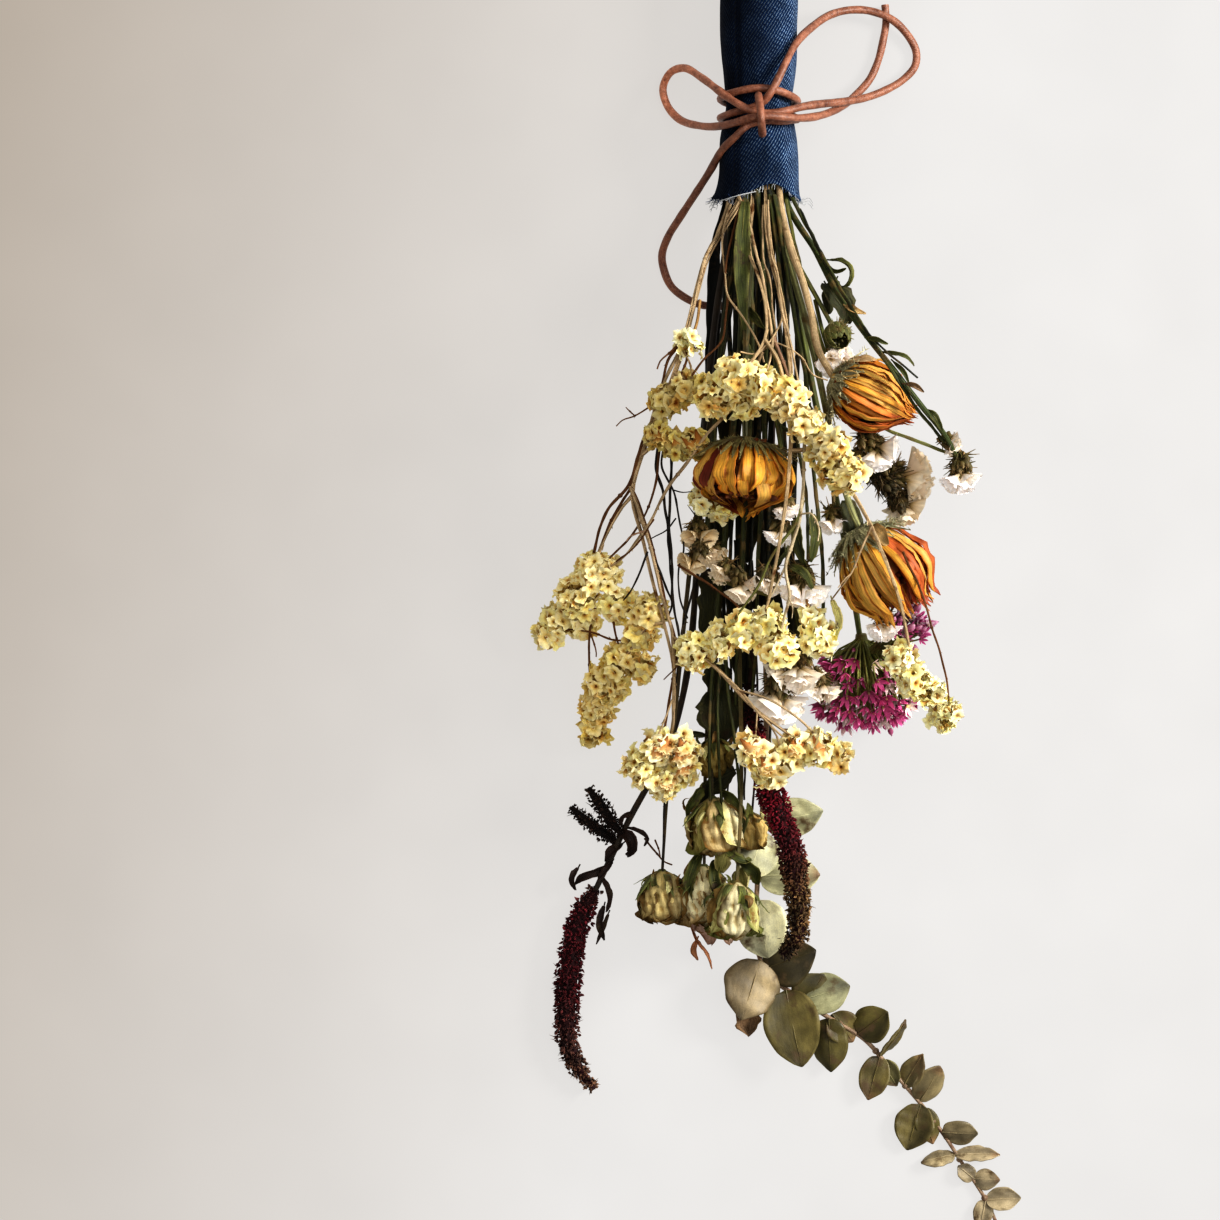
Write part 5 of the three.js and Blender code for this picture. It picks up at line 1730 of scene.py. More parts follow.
# Lumps of florets in each cluster: [column, row, height, radius]. A fifth number of a yellow lump is
# how many florets seen from the side it has. A white one has the way that its papery side faces:
# right, down in the view, and up from the surface, and its age, which browns the florets; large
# ages also darken them as painted shade.
YELLOW_CLUMPS = [
    [[716, 399, 79, 7.4], [738, 380, 84, 8.6], [762, 388, 86, 8.0], [744, 404, 80, 6.4]],
    [
        [786, 402, 88, 7.8], [806, 424, 90, 7.0], [828, 446, 89, 7.8], [846, 474, 87, 7.4],
        [829, 472, 84, 5.4],
    ],
    [[665, 401, 58, 6.4], [684, 391, 60, 6.2], [700, 386, 60, 5.0]],
    [[659, 436, 58, 6.2, 2], [675, 445, 59, 5.4, 1], [692, 444, 61, 6.2, 3]],
    [
        [597, 573, 28, 8.6], [578, 598, 20, 8.8], [562, 620, 13, 7.6], [548, 634, 8.5, 6.0],
        [619, 604, 26, 7.2], [585, 624, 16, 6.2],
    ],
    [
        [650, 612, 37, 7.2], [641, 634, 33, 6.0], [622, 662, 26, 8.0], [606, 684, 19, 8.4],
        [597, 708, 12, 7.2], [595, 732, 7.5, 5.6], [644, 668, 30, 5.4],
    ],
    [
        [696, 652, 58, 7.8], [720, 641, 64, 6.8], [744, 631, 69, 7.2], [768, 626, 70, 7.6],
        [778, 648, 68, 7.2],
    ],
    [
        [640, 767, 43, 6.8], [660, 750, 45, 7.2, 4], [682, 753, 46, 7.4, 5], [664, 783, 43, 7.0, 3],
        [684, 772, 44, 5.2, 2],
    ],
    [
        [753, 750, 60, 6.6, 4], [771, 768, 60, 7.8, 2], [794, 750, 61, 6.8, 4],
        [818, 748, 61, 7.2, 2], [838, 756, 59, 5.8],
    ],
    [[900, 658, 60, 6.4], [913, 679, 57, 6.8], [931, 692, 54, 6.6], [945, 715, 51, 6.4]],
]
WHITE_CLUMPS = [
    [[857, 462, 55, 5.6, -0.2, 1, 0.2, 0.6], [879, 452, 57, 8.0, 0.7, 0.9, 0.05]],
    [[961, 478, 55, 7.6, 0.1, 1, 0], [951, 443, 60, 4.6, 0.9, 0.5, 0.1, 1]],
    [[909, 478, 43, 10.6, 1, 0.15, 0, 2.2], [904, 507, 42, 8.0, 0.5, 1, 0, 2.3]],
    [
        [699, 536, 44, 7.0, 0.1, 0.9, 0.3, 3], [712, 553, 44, 5.6, 0.2, 0.9, 0.3, 2.4],
        [692, 563, 43, 5.2, -0.4, 0.9, 0.3, 3],
    ],
    [
        [722, 573, 50, 5.6, -0.5, 0.9, 0.2, 2.4], [743, 588, 54, 6.2, 0.3, 0.9, 0.3, 1.6],
        [768, 583, 55, 6.0, -0.4, 0.9, 0.2, 0.8], [803, 589, 57, 9.2, 0.1, 1, 0.05],
    ],
    [
        [796, 670, 50, 10.4, 0, 1, -0.05, 0.8], [779, 699, 46, 10.4, -0.1, 1, -0.05, 0.6],
        [824, 688, 47, 6.4, 0.3, 1, 0, 0.9],
    ],
]
# How much of each colour each yellow cluster keeps: partly browner with age, and partly darker as painted shade, most
# on the clusters to the left
YELLOW_SHADE_AND_AGE = [
    (0.93, 0.87, 0.75), (0.88, 0.81, 0.73), (0.76, 0.68, 0.52), (0.66, 0.58, 0.4),
    (0.94, 0.88, 0.78), (0.85, 0.76, 0.6), (1.0, 0.97, 0.9), (0.95, 0.91, 0.9), (0.92, 0.87, 0.83),
    (1, 1, 1),
]
# Small clusters on twigs of their own: kind, route of the twig, lumps
SPRIGS = [
    ["yellow", [[700, 300, 54], [697, 322, 58], [691, 340, 60]], [[690, 344, 60, 4.6]]],
    [
        "yellow", [[745, 440, 52], [722, 480, 48], [708, 498, 47]],
        [[704, 500, 46, 6.4], [722, 508, 45, 5.0]],
    ],
    [
        "yellow", [[786, 560, 55], [806, 600, 60], [818, 632, 64]],
        [[820, 640, 64, 7.2], [812, 620, 60, 4.6]],
    ],
    ["white", [[824, 440, 45], [832, 480, 48], [834, 508, 50]], [[834, 522, 51, 6.0, 0.2, 1, 0.1]]],
    ["white", [[776, 420, 47], [784, 470, 54], [786, 500, 58]], [[786, 508, 58, 5.2, 0.2, 1, 0.1]]],
    [
        "white", [[784, 470, 50], [776, 500, 52], [780, 520, 53]],
        [[781, 533, 53, 6.2, -0.2, 1, 0.1]],
    ],
    [
        "white", [[862, 560, 44], [876, 600, 46], [882, 618, 47]],
        [[884, 628, 46, 6.4, 0, 0.9, 0.25]],
    ],
    [
        "white", [[815, 300, 46], [822, 330, 50], [828, 350, 52]],
        [[834, 360, 52, 7.0, 0.4, 0.3, 0.9]],
    ],
]


def yellow_clumps(piece, clumps, rng, tone=(1, 1, 1)):
    """Papery florets edge to edge over lumps, on short stalks from each lump's middle."""
    clumps = np.array([row + [0] * (5 - len(row)) for row in clumps], float)
    centres, radii = seen(clumps[:, :3]), clumps[:, 3]
    backs = [yellow_calyx(rng) for _ in range(4)]
    for centre, radius, number in zip(centres, radii, clumps[:, 4].astype(int)):
        for k in range(number):
            turn = 2.0 * (k + rng.uniform(0, 1)) / number - 1.0
            way = unit(np.array([math.sin(turn), -math.cos(turn), rng.uniform(-0.1, 0.3)]))
            at = centre + radius * (rng.uniform(0.0, 0.45) * way + [0.2 * rng.normal(), 0, 0.78])
            size = rng.uniform(2.6, 3.7)
            stamp(piece, backs[k % 4], at[None], way[None], size, rng, np.array([tone]))
    # The lower layers of florets are painted darker, as painted shade under the top ones
    for scale, spacing, dim in ((0.95, 4.3, 1.06), (0.8, 4.7, 0.88), (0.56, 5.8, 0.68)):
        variants = [yellow_floret(rng, scale > 0.9) for _ in range(10)]
        at, out, ball = over_balls(centres, radii * scale, spacing, rng)
        lift = 0.7 * ripple(at, 7, int(rng.integers(999))) + rng.uniform(-0.5, 0.5, len(at))
        at = at + lift[:, None] * out
        way = unit(out + 0.42 * rng.normal(size=out.shape))
        sizes = rng.uniform(2.5, 4.1, len(at))
        keep_above(at, 0.9 + 0.75 * sizes * np.sqrt(1 - way[:, 2] ** 2))
        shades = (1 + 0.1 * rng.normal(size=(len(at), 1))) * dim * np.ones(3)
        old = rng.random(len(at))
        shades[old < 0.25] *= [0.93, 0.93, 0.76]
        shades[old > 0.94] *= [0.92, 0.76, 0.55]
        stamp_any(piece, variants, at, way, sizes, rng, np.clip(shades, 0.3, 1.12) * tone)
        foot = at - way * sizes[:, None]
        middle = centres[ball] + 0.8 * rng.normal(size=at.shape)
        keep_above(middle, 0.8)
        keep_above(foot, 0.6)
        sticks(piece, middle, foot, 0.4, 0.3, rgb(168, 140, 84), 1)
        bud = small_bud(rgb(196, 176, 112), rgb(168, 138, 80), rng)
        some = rng.random(len(at)) < 0.6
        tip = middle + 0.45 * (foot - middle)
        heading = unit(way + 0.6 * rng.normal(size=way.shape))
        sizes = rng.uniform(1.2, 2.4, some.sum())
        stamp(piece, bud, tip[some], heading[some], sizes, rng, finish=1)


def brush(piece, base, face, radius, rng, dim=1.0, finish=1):
    """The bristly calyces that white florets grow from."""
    count = int(14 * radius)
    ways = unit(1.1 * face + 0.75 * rng.normal(size=(count, 3)))
    starts = base + 0.16 * radius * rng.normal(size=(count, 3))
    ends = base + ways * radius * rng.uniform(0.5, 1.15, (count, 1))
    tone = np.where(rng.random((count, 1)) < 0.5, rgb(96, 90, 48), rgb(150, 124, 84))
    tone = tone * dim * rng.uniform(0.45, 1.4, (count, 1))
    keep_above(starts, 0.8)
    keep_above(ends, 0.8)
    sticks(piece, starts, ends, rng.uniform(0.25, 0.6, count), 0.1, tone, finish)
    number = int(3.2 * radius)
    back = unit(0.9 * rng.normal(size=(number, 3)) - 0.2 * face)
    place = base + back * radius * rng.uniform(0.2, 0.5, (number, 1)) + 0.35 * radius * face
    keep_above(place, 1.0)
    bract = small_bud(rgb(112, 100, 56), rgb(176, 150, 108), rng)
    shades = dim * rng.uniform(0.6, 1.2, (number, 1)) * np.ones(3)
    sizes = rng.uniform(1.4, 3.0, number)
    stamp(piece, bract, place, unit(0.7 * back + 1.3 * face), sizes, rng, shades, finish)


def white_clumps(piece, clumps, rng):
    """Frilled white florets over one side of each lump, and the bristly brush that carries them."""
    clumps = np.array([row + [0] * (8 - len(row)) for row in clumps], float)
    centres, radii, age_and_shade = seen(clumps[:, :3]), clumps[:, 3], clumps[:, 7:8]
    facing = unit(clumps[:, 4:7] * [1, -1, 1])
    # Age browns the florets, and the larger ages also darken them as painted shade
    paper = 1 - age_and_shade * [0.08, 0.11, 0.17]
    wide = [white_skirt(rng) for _ in range(6)]
    narrow = [white_floret(rng) for _ in range(5)]
    for centre, radius, face, tone in zip(centres, radii, facing, paper):
        lateral = unit(np.cross(face, [0, 0, 1.0]))
        rise = np.cross(lateral, face)
        kinds = (1.7, wide, 1.1, 0.34, 0.56), (2.2, narrow, 1.4, 0.28, 0.42)
        for share, shapes, fan, low, high in kinds:
            count = int(3 + radius / share)
            place = 2 * (np.arange(count) + 0.5) / count - 1 + 0.1 * rng.normal(size=count)
            level = np.where(np.arange(count) % 2, 0.55, -0.4) + 0.2 * rng.normal(size=count)
            way = face + fan * place[:, None] * lateral + 0.4 * level[:, None] * rise
            way = unit(way + 0.22 * rng.normal(size=(count, 3)))
            at = centre - 0.3 * radius * face + way * radius * rng.uniform(0.8, 1.2, (count, 1))
            at = at + 0.5 * radius * level[:, None] * rise
            sizes = radius * rng.uniform(low, high, count) + 0.9
            keep_above(at, 1 + sizes)
            shades = (1 + 0.03 * rng.normal(size=(count, 1))) * np.ones(3)
            old = rng.random(count)
            shades[old < 0.2] *= [0.97, 0.94, 0.9]
            shades[old > 0.93] *= [0.9, 0.82, 0.74]
            stamp_any(piece, shapes, at, way, sizes, rng, np.clip(shades * tone, 0.3, 1.01))
    for centre, radius, face in zip(centres, radii, facing):
        brush(piece, centre - 0.85 * radius * face, face, radius, rng)


# Calyces whose florets have dropped: column, row, height, radius, way (right, down, up), and a tone
BRUSHES = [
    [864, 440, 58, 6.0, 0.6, 1, 0.2, 0.8], [879, 462, 53, 7.0, 0.5, 0.8, 0.2, 0.5],
    [886, 484, 50, 9.0, 0.7, 0.6, 0.2, 0.34], [898, 500, 48, 7.0, 0.4, 1, 0.1, 0.4],
    [872, 474, 46, 7.0, 0.2, 1, 0.1, 0.3], [961, 462, 60, 6.0, 0.1, 1, 0.1, 0.9],
    [795, 652, 58, 7.0, 0, 1, 0.1, 0.8], [774, 684, 55, 5.6, -0.1, 1, 0.1, 0.7],
    [817, 674, 53, 3.8, 0.3, 1, 0.1, 0.7], [700, 548, 50, 5.0, 0, 1, 0.1, 0.5],
    [738, 574, 58, 4.6, 0, 1, 0.1, 0.6], [764, 572, 59, 4.4, 0, 1, 0.1, 0.6],
]


def add_brushes():
    rng = np.random.default_rng(58)
    piece = Piece()
    for column, row, height, radius, right, down, rise, dim in BRUSHES:
        face = unit(np.array([right, -down, rise], float))
        base = seen([column, row, height]) - 0.4 * radius * face
        brush(piece, base, face, radius, rng, dim, finish=0)
    piece.build("dry_calyces", "green_stem", [GREEN])


def yellow_bloom(name, clumps, route, thick, tint, rng, tone=(1, 1, 1), replaces=()):
    piece = Piece()
    yellow_clumps(piece, clumps, rng, tone)
    tube(piece, route_line(route, 2.0), thick, tint, 7, finish=1)
    piece.build(name, "yellow_floret", [YELLOW, STRAW], replaces)


def white_bloom(name, clumps, stalk, tint, flutes, depth, rng, replaces=()):
    piece = Piece()
    white_clumps(piece, clumps, rng)
    tube(piece, stalk, 0.8, tint, 7, flutes, depth, finish=1)
    piece.build(name, "white_floret", [WHITE, GREEN], replaces)


def add_blooms():
    rng = np.random.default_rng(41)
    # Each cluster's tone browns it with age and darkens it as painted shade
    rows = zip(YELLOW_AXES, YELLOW_CLUMPS, YELLOW_SHADE_AND_AGE)
    for number, (axis, clumps, tone) in enumerate(rows, 1):
        name = f"yellow_statice_bloom_{number}"
        tint = rgb(160, 124, 76)
        yellow_bloom(f"{name}_grown", clumps, axis, 0.75, tint, rng, tone, [name])
    for number, (axis, clumps) in enumerate(zip(WHITE_AXES, WHITE_CLUMPS), 1):
        name = f"white_statice_bloom_{number}"
        stalk = route_line(axis, 2.0)
        stalk = stalk[: int(0.6 * len(stalk))]
        white_bloom(f"{name}_grown", clumps, stalk, rgb(112, 108, 58), 0, 0.0, rng, [name])
    for number, (kind, route, clumps) in enumerate(SPRIGS, 1):
        name = f"{kind}_sprig_{number}"
        if kind == "yellow":
            yellow_bloom(name, clumps, route, 0.6, rgb(170, 134, 86), rng)
        else:
            stalk = route_line(route, 2.0)
            white_bloom(name, clumps, stalk, rgb(104, 108, 56), 3, 0.1, rng)


# Strap-petalled flowers


class Head:
    """A bloom's axis, to be read at any share of its length."""

    def __init__(self, name, count=40):
        axis, radii = HEADS[name]
        axis = seen(axis)
        self.line = evenly(line_through(axis), count=count)
        along = lengths_along(axis)
        swell = line_through(np.c_[along, radii, 0 * along])
        self.size = np.interp(np.linspace(0, along[-1], count), swell[:, 0], swell[:, 1])
        self.side, self.up, self.along = frames_along(self.line)
        self.length = along[-1]
        self.shares = np.linspace(0, 1, count)

    def read(self, share, rows):
        return np.stack([np.interp(share, self.shares, rows[:, k]) for k in range(3)], axis=-1)

    def at(self, share, turn):
        """Centre, radius, and the ways outward, around and along, at shares that may pass the end."""
        along = self.read(share, self.along)
        centre = self.read(share, self.line)
        centre = centre + np.clip(share - 1, 0, None)[:, None] * self.length * along
        size = np.interp(share, self.shares, self.size)
        ways = turned(self.read(share, self.side), self.read(share, self.up), turn)
        return centre, size, *ways, along


def strap_flower(name, whorls, width, tints, hot, seed, hair, bracts, papers=(), lean=0.0):
    """A dried daisy-like head: straps from a hairy base, curled in at their tips.

    whorls are (number, scale, start, stop, how far the tips close, tone). hot is the direction in
    which the petals are redder, with the two tints they have there. lean shortens the petals on top,
    so that the mouth of the head opens upwards.
    """
    rng = np.random.default_rng(seed)
    head = Head(name)
    piece = Piece()
    span = np.linspace(0, 1, 19)
    shares, swell = [0, 0.12, 0.35, 0.62, 0.82, 0.93, 1], [0.3, 0.58, 0.9, 1.0, 0.78, 0.46, 0.04]
    swell = np.interp(span, shares, swell)
    for number, scale, start, stop, close, dim in whorls:
        for k in range(number):
            turn = 2 * PI * (k + rng.uniform(-0.3, 0.3)) / number + 0.7 * scale
            middle = turned(head.side[20], head.up[20], turn)[0]
            end = stop * rng.uniform(0.9, 1.08) - lean * middle[2]
            centre, size, outward, around, _ = head.at(start + (end - start) * span, turn)
            bulge = 1 - close * rng.uniform(0.6, 1.2) * np.clip((span - 0.6) / 0.4, 0, 1) ** 2
            radius = size * scale * rng.uniform(0.86, 1.06) * bulge
            sway = rng.uniform(-1, 1) * 0.8 * width * span**1.6
            spine = centre + radius[:, None] * outward + sway[:, None] * around
            spine = spine + 0.45 * ripple(spine, 9, int(rng.integers(999)))[:, None] * outward
            twist = rng.uniform(-0.4, 0.4) + rng.uniform(-0.9, 0.9) * span**2
            across, face = turned(around, outward, twist[:, None])
            halves = width / 2 * swell * rng.uniform(0.82, 1.15)
            pick = rng.choice(len(tints), p=[t[0] for t in tints])
            _, base, tip = tints[pick]
            if outward[9].dot(unit(np.array(hot[0], float))) > rng.uniform(0.35, 1.1):
                base, tip = hot[1], hot[2]
            mix = np.clip((span - 0.6) / 0.4, 0, 1)[:, None] ** 1.3
            shade = (base * (1 - mix) + tip * mix) * rng.uniform(0.84, 1.12) * dim
            foot = np.clip(1 - span / 0.14, 0, 1)[:, None]
            shade = shade * (1 - foot) + rgb(120, 112, 66) * dim * foot
            columns, thick = (9, 0.3) if scale > 0.98 else (7, 0.0)
            mean = shade.mean(0)
            blade(
                piece, spine, across, halves, face, rng.uniform(-0.45, 0.1), columns, shade,
                edge=mean * [0.8, 0.48, 0.32], thick=thick, wave=0.4, wave_size=4,
                seed=int(rng.integers(999)), under=mean * [0.7, 0.52, 0.42], pleat=0.14 * width**0.5,
            )
    tube(piece, head.line[3:25], 0.72 * head.size[3:25], tints[0][1] * [0.3, 0.19, 0.14], 16)
    at, out, _ = sprinkle(head.line[4:31], head.size[4:31] * 0.5, 2.2, rng, tries=6)
    seed_bud = small_bud(rgb(96, 50, 24), rgb(140, 80, 34), rng)
    stamp(piece, seed_bud, at, out, rng.uniform(1.6, 3.2, len(at)), rng)
    # The hairy base: rows of narrow bracts that hug the petals' feet
    tone = rgb(*hair)
    span, hairs = span[::3], 9
    for k in range(bracts):
        start = rng.uniform(-0.02, 0.07)
        end = start + rng.uniform(0.1, 0.26)
        shares = np.clip(start + (end - start) * span, 0, 2)
        centre, size, outward, around, along = head.at(shares, 2.4 * k)
        flare = 1.0 + rng.uniform(0.02, 0.6) * span**1.5
        spine = centre + (size * flare + 0.5)[:, None] * outward
        halves = rng.uniform(0.7, 1.5) * np.interp(span, [0, 0.3, 0.8, 1], [0.8, 1, 0.55, 0.05])
        shade = tone * rng.uniform(0.5, 1.35)
        blade(
            piece, spine, around, halves, outward, 0.5, 5, shade, edge=shade * 1.25, thick=0.24,
            seed=int(rng.integers(999)), finish=1, under=shade * 1.1,
        )
        at = spine[rng.integers(1, len(spine), hairs)]
        lean = outward[:1] * 0.8 + along[:1] * rng.uniform(-0.4, 0.8, (hairs, 1))
        lean = unit(lean + 0.7 * rng.normal(size=(hairs, 3)))
        ends = at + lean * rng.uniform(0.9, 2.3, (hairs, 1))
        sticks(piece, at, ends, 0.26, 0.05, tone * rng.uniform(0.9, 1.5, (hairs, 1)), 1)
    tube(piece, head.line[:6], np.maximum(1.5, head.size[:6] * 0.93), tone * 0.6, 16, finish=1)
    span = np.linspace(0, 1, 9)
    for turn, start, end, half, tint in papers:
        centre, size, outward, around, _ = head.at(np.linspace(start, end, 9), math.radians(turn))
        spine = centre + (size * 1.06 + 1.2 * span)[:, None] * outward
        halves = half * np.interp(span, [0, 0.4, 0.8, 1], [0.6, 1, 0.7, 0.05])
        blade(
            piece, spine, around, halves, outward, 0.3, 7, tint, edge=tint * 1.1, thick=0.25,
            wave=0.5, wave_size=4, seed=seed,
        )
    piece.build(f"{name}_grown", "orange_petal", [PETAL, GREEN], [name])


def add_strap_flowers():
    gold, amber, honey = rgb(236, 178, 72), rgb(214, 140, 48), rgb(242, 194, 100)
    fire, umber = rgb(180, 78, 38), rgb(176, 104, 44)
    straw, tan = rgb(214, 178, 112), rgb(200, 168, 124)
    strap_flower(
        "strawflower_head_1",
        [
            (40, 1.0, 0.08, 1.04, 0.2, 1.0), (32, 0.85, 0.1, 1.08, 0.24, 0.95),
            (16, 0.6, 0.2, 1.08, 0.4, 0.7),
        ],
        2.8, [(0.3, gold, fire), (0.5, honey, amber), (0.2, amber, fire)],
        ((-0.4, -1, 0.5), rgb(226, 146, 66), rgb(158, 54, 26)), 41, (176, 170, 136), 60,
        [
            (60, 0.02, 0.4, 3.0, tan), (95, 0.0, 0.32, 2.6, straw), (130, 0.02, 0.3, 2.2, straw),
            (20, 0.0, 0.3, 2.0, straw),
        ],
    )
    strap_flower(
        "strawflower_head_2",
        [
            (17, 1.0, 0.06, 0.8, 0.5, 1.08), (17, 0.88, 0.1, 0.88, 0.6, 0.9),
            (14, 0.84, 0.4, 0.96, 0.7, 0.95),
        ],
        5.8, [(0.5, gold, gold), (0.42, honey, gold), (0.08, amber, umber)],
        ((-1, -0.25, -0.3), rgb(122, 48, 26), rgb(160, 80, 36)), 42, (134, 126, 84), 40, lean=0.1,
    )
    strap_flower(
        "strawflower_head_3",
        [
            (34, 1.0, 0.08, 1.1, -0.14, 1.0), (28, 0.84, 0.12, 1.12, -0.05, 0.95),
            (16, 0.58, 0.24, 1.08, 0.1, 0.7),
        ],
        3.4, [(0.66, honey, gold), (0.24, gold, amber), (0.1, amber, fire)],
        ((1, 0.55, 0.7), rgb(206, 112, 52), fire), 43, (170, 168, 134), 70,
        [(40, 0.02, 0.3, 3.4, tan), (75, 0.0, 0.26, 2.6, straw)],
    )


def magenta_floret(rng):
    dark, rim = rgb(178, 70, 128), rgb(224, 150, 196)
    petals = petal_ring(6, 0.9, 0.42, 0.75, dark, rgb(120, 50, 82), rim, rng, curl=0.25)
    eye = small_bud(rgb(120, 96, 80), rgb(170, 140, 110), rng)
    return joined(petals, (eye[0] * 0.28, eye[1], eye[2]))


def lilac_floret(rng):
    pale, rim = rgb(204, 172, 190), rgb(226, 200, 214)
    petals = petal_ring(6, 0.9, 0.44, 0.75, pale, rgb(140, 118, 104), rim, rng, curl=0.3)
    eye = small_bud(rgb(150, 140, 100), rgb(180, 160, 130), rng)
    return joined(petals, (eye[0] * 0.3, eye[1], eye[2]))


def add_allium():
    rng = np.random.default_rng(61)
    head = Head("allium_head")
    line = head.line
    piece = Piece()
    foot, heart = line[2], line[20]
    at, out, share = sprinkle(line, head.size * 0.92, 4.3, rng)
    at, out = at[share > 0.25], out[share > 0.25]
    end = unit(head.along[-1] + 0.5 * rng.normal(size=(16, 3)))
    at = np.vstack([at, heart + 0.94 * np.linalg.norm(line[-1] - heart) * end])
    out = np.vstack([out, end])
    at = at + rng.uniform(-2.6, 1.2, (len(at), 1)) * out
    way = unit(at - foot + 0.25 * np.linalg.norm(at - foot, axis=1, keepdims=True) * out)
    way = unit(way + 0.22 * rng.normal(size=way.shape))
    keep_above(at, 2.2)
    right = np.clip((at[:, 0] - line[20, 0]) / 16, -1, 1)
    high = np.clip((at[:, 1] - line[24, 1]) / 14, -1, 1)
    pale = rng.random(len(at)) < 0.2 + 0.28 * np.clip(right + high, 0, 1.6)
    sizes = rng.uniform(3.2, 5.0, len(at))
    shades = rng.uniform(1.0, 2.5, (len(at), 1)) * [1.0, 1.2, 1.0]
    for mine, make in ((~pale, magenta_floret), (pale, lilac_floret)):
        for k in range(3):
            some = mine & (np.arange(len(at)) % 3 == k)
            stamp(piece, make(rng), at[some], way[some], sizes[some], rng, shades[some])
    buds = rng.random(len(at)) < 0.85
    count = buds.sum()
    inner = foot + rng.uniform(0.62, 1.04, (count, 1)) * (at[buds] - foot)
    inner = inner + 2.4 * rng.normal(size=(count, 3))
    keep_above(inner, 1.2)
    bud = small_bud(rgb(168, 84, 122), rgb(224, 172, 194), rng)
    stamp(piece, bud, inner, unit(inner - foot), rng.uniform(1.3, 2.4, count), rng)
    bend = foot + 0.55 * (at - foot) + 0.1 * np.linalg.norm(at - foot, axis=1, keepdims=True) * out
    green = rgb(132, 136, 74) * rng.uniform(0.7, 1.25, (len(at), 1))
    sticks(piece, foot + 0.5 * rng.normal(size=at.shape), bend, 0.5, 0.42, green, 1)
    sticks(piece, bend, at - 0.2 * way, 0.42, 0.38, green, 1)
    sticks(piece, bend[buds], inner, 0.36, 0.3, green[buds], 1)
    tube(piece, line[:7], np.linspace(2.2, 3.2, 7), rgb(116, 116, 66), 10, finish=1)
    # The paler half of the head, on longer stalks to the upper right
    for k in range(62):
        end = seen([909 + 12 * rng.normal(), 624 + 12 * rng.normal(), 36 + 9 * rng.random()])
        start = seen([878 + 4 * rng.normal(), 648 + 4 * rng.normal(), 30])
        mid = 0.5 * (start + end) + [0, 0, 3.0]
        path = line_through(np.vstack([start, mid, end]), 4)
        tint = rgb(128, 128, 76) * rng.uniform(0.8, 1.2)
        tube(piece, path, np.linspace(0.42, 0.34, len(path)), tint, 4, finish=1)
        heading = unit(end - start + [0, 0, 6.0] + 4 * rng.normal(size=3))
        bud = small_bud(rgb(180, 110, 146), rgb(220, 170, 194), rng)
        shape = (bud, lilac_floret(rng), magenta_floret(rng))[k % 3]
        stamp(piece, shape, end[None], heading[None], rng.uniform(2.4, 3.6), rng)
    piece.build("allium_head_grown", "magenta_floret", [MAGENTA, GREEN], ["allium_head"])


# Roses


def curls(piece, head, rng, number):
    """Curled strips round the foot of a bud: dried sepals and the ends of its outer petals."""
    line, size, side, up, along = head.line, head.size, head.side, head.up, head.along
    span = np.linspace(0, 1, 12)
    tones = [
        rgb(176, 180, 108), rgb(126, 130, 66), rgb(212, 206, 146), rgb(92, 96, 48),
        rgb(150, 116, 66),
    ]
    for k in range(number):
        angle = 2 * PI * (k + rng.uniform(-0.4, 0.4)) / number
        i = int(rng.integers(3, 12))
        out, around = turned(side[i], up[i], angle)
        turn = rng.uniform(-0.5, 0.5) + rng.uniform(1.6, 3.6) * span**1.4 * rng.choice([-1, 1])
        lean = unit(out + rng.uniform(-0.6, 0.9) * along[i])
        heading = turned(lean, along[i], turn[:, None])[0]
        heading = unit(heading + 0.35 * rng.uniform(-1, 1) * around)
        reach = size.max() * rng.uniform(0.7, 1.15)
        spine = line[i] + size[i] * 0.85 * out + np.cumsum(heading, axis=0) * reach / 12
        keep_above(spine, 0.8)
        halves = rng.uniform(0.9, 1.9) * np.interp(span, [0, 0.3, 0.7, 1], [0.7, 1, 0.75, 0.08])
        tone = tones[rng.integers(len(tones))] * rng.uniform(0.8, 1.15)
        face = unit(np.cross(around, heading))
        blade(
            piece, spine, around, halves, face, 0.55, 5, tone * np.linspace(1, 0.8, 12)[:, None],
            edge=tone * 1.35, wave=0.25, wave_size=3, seed=int(rng.integers(999)), finish=1,
        )


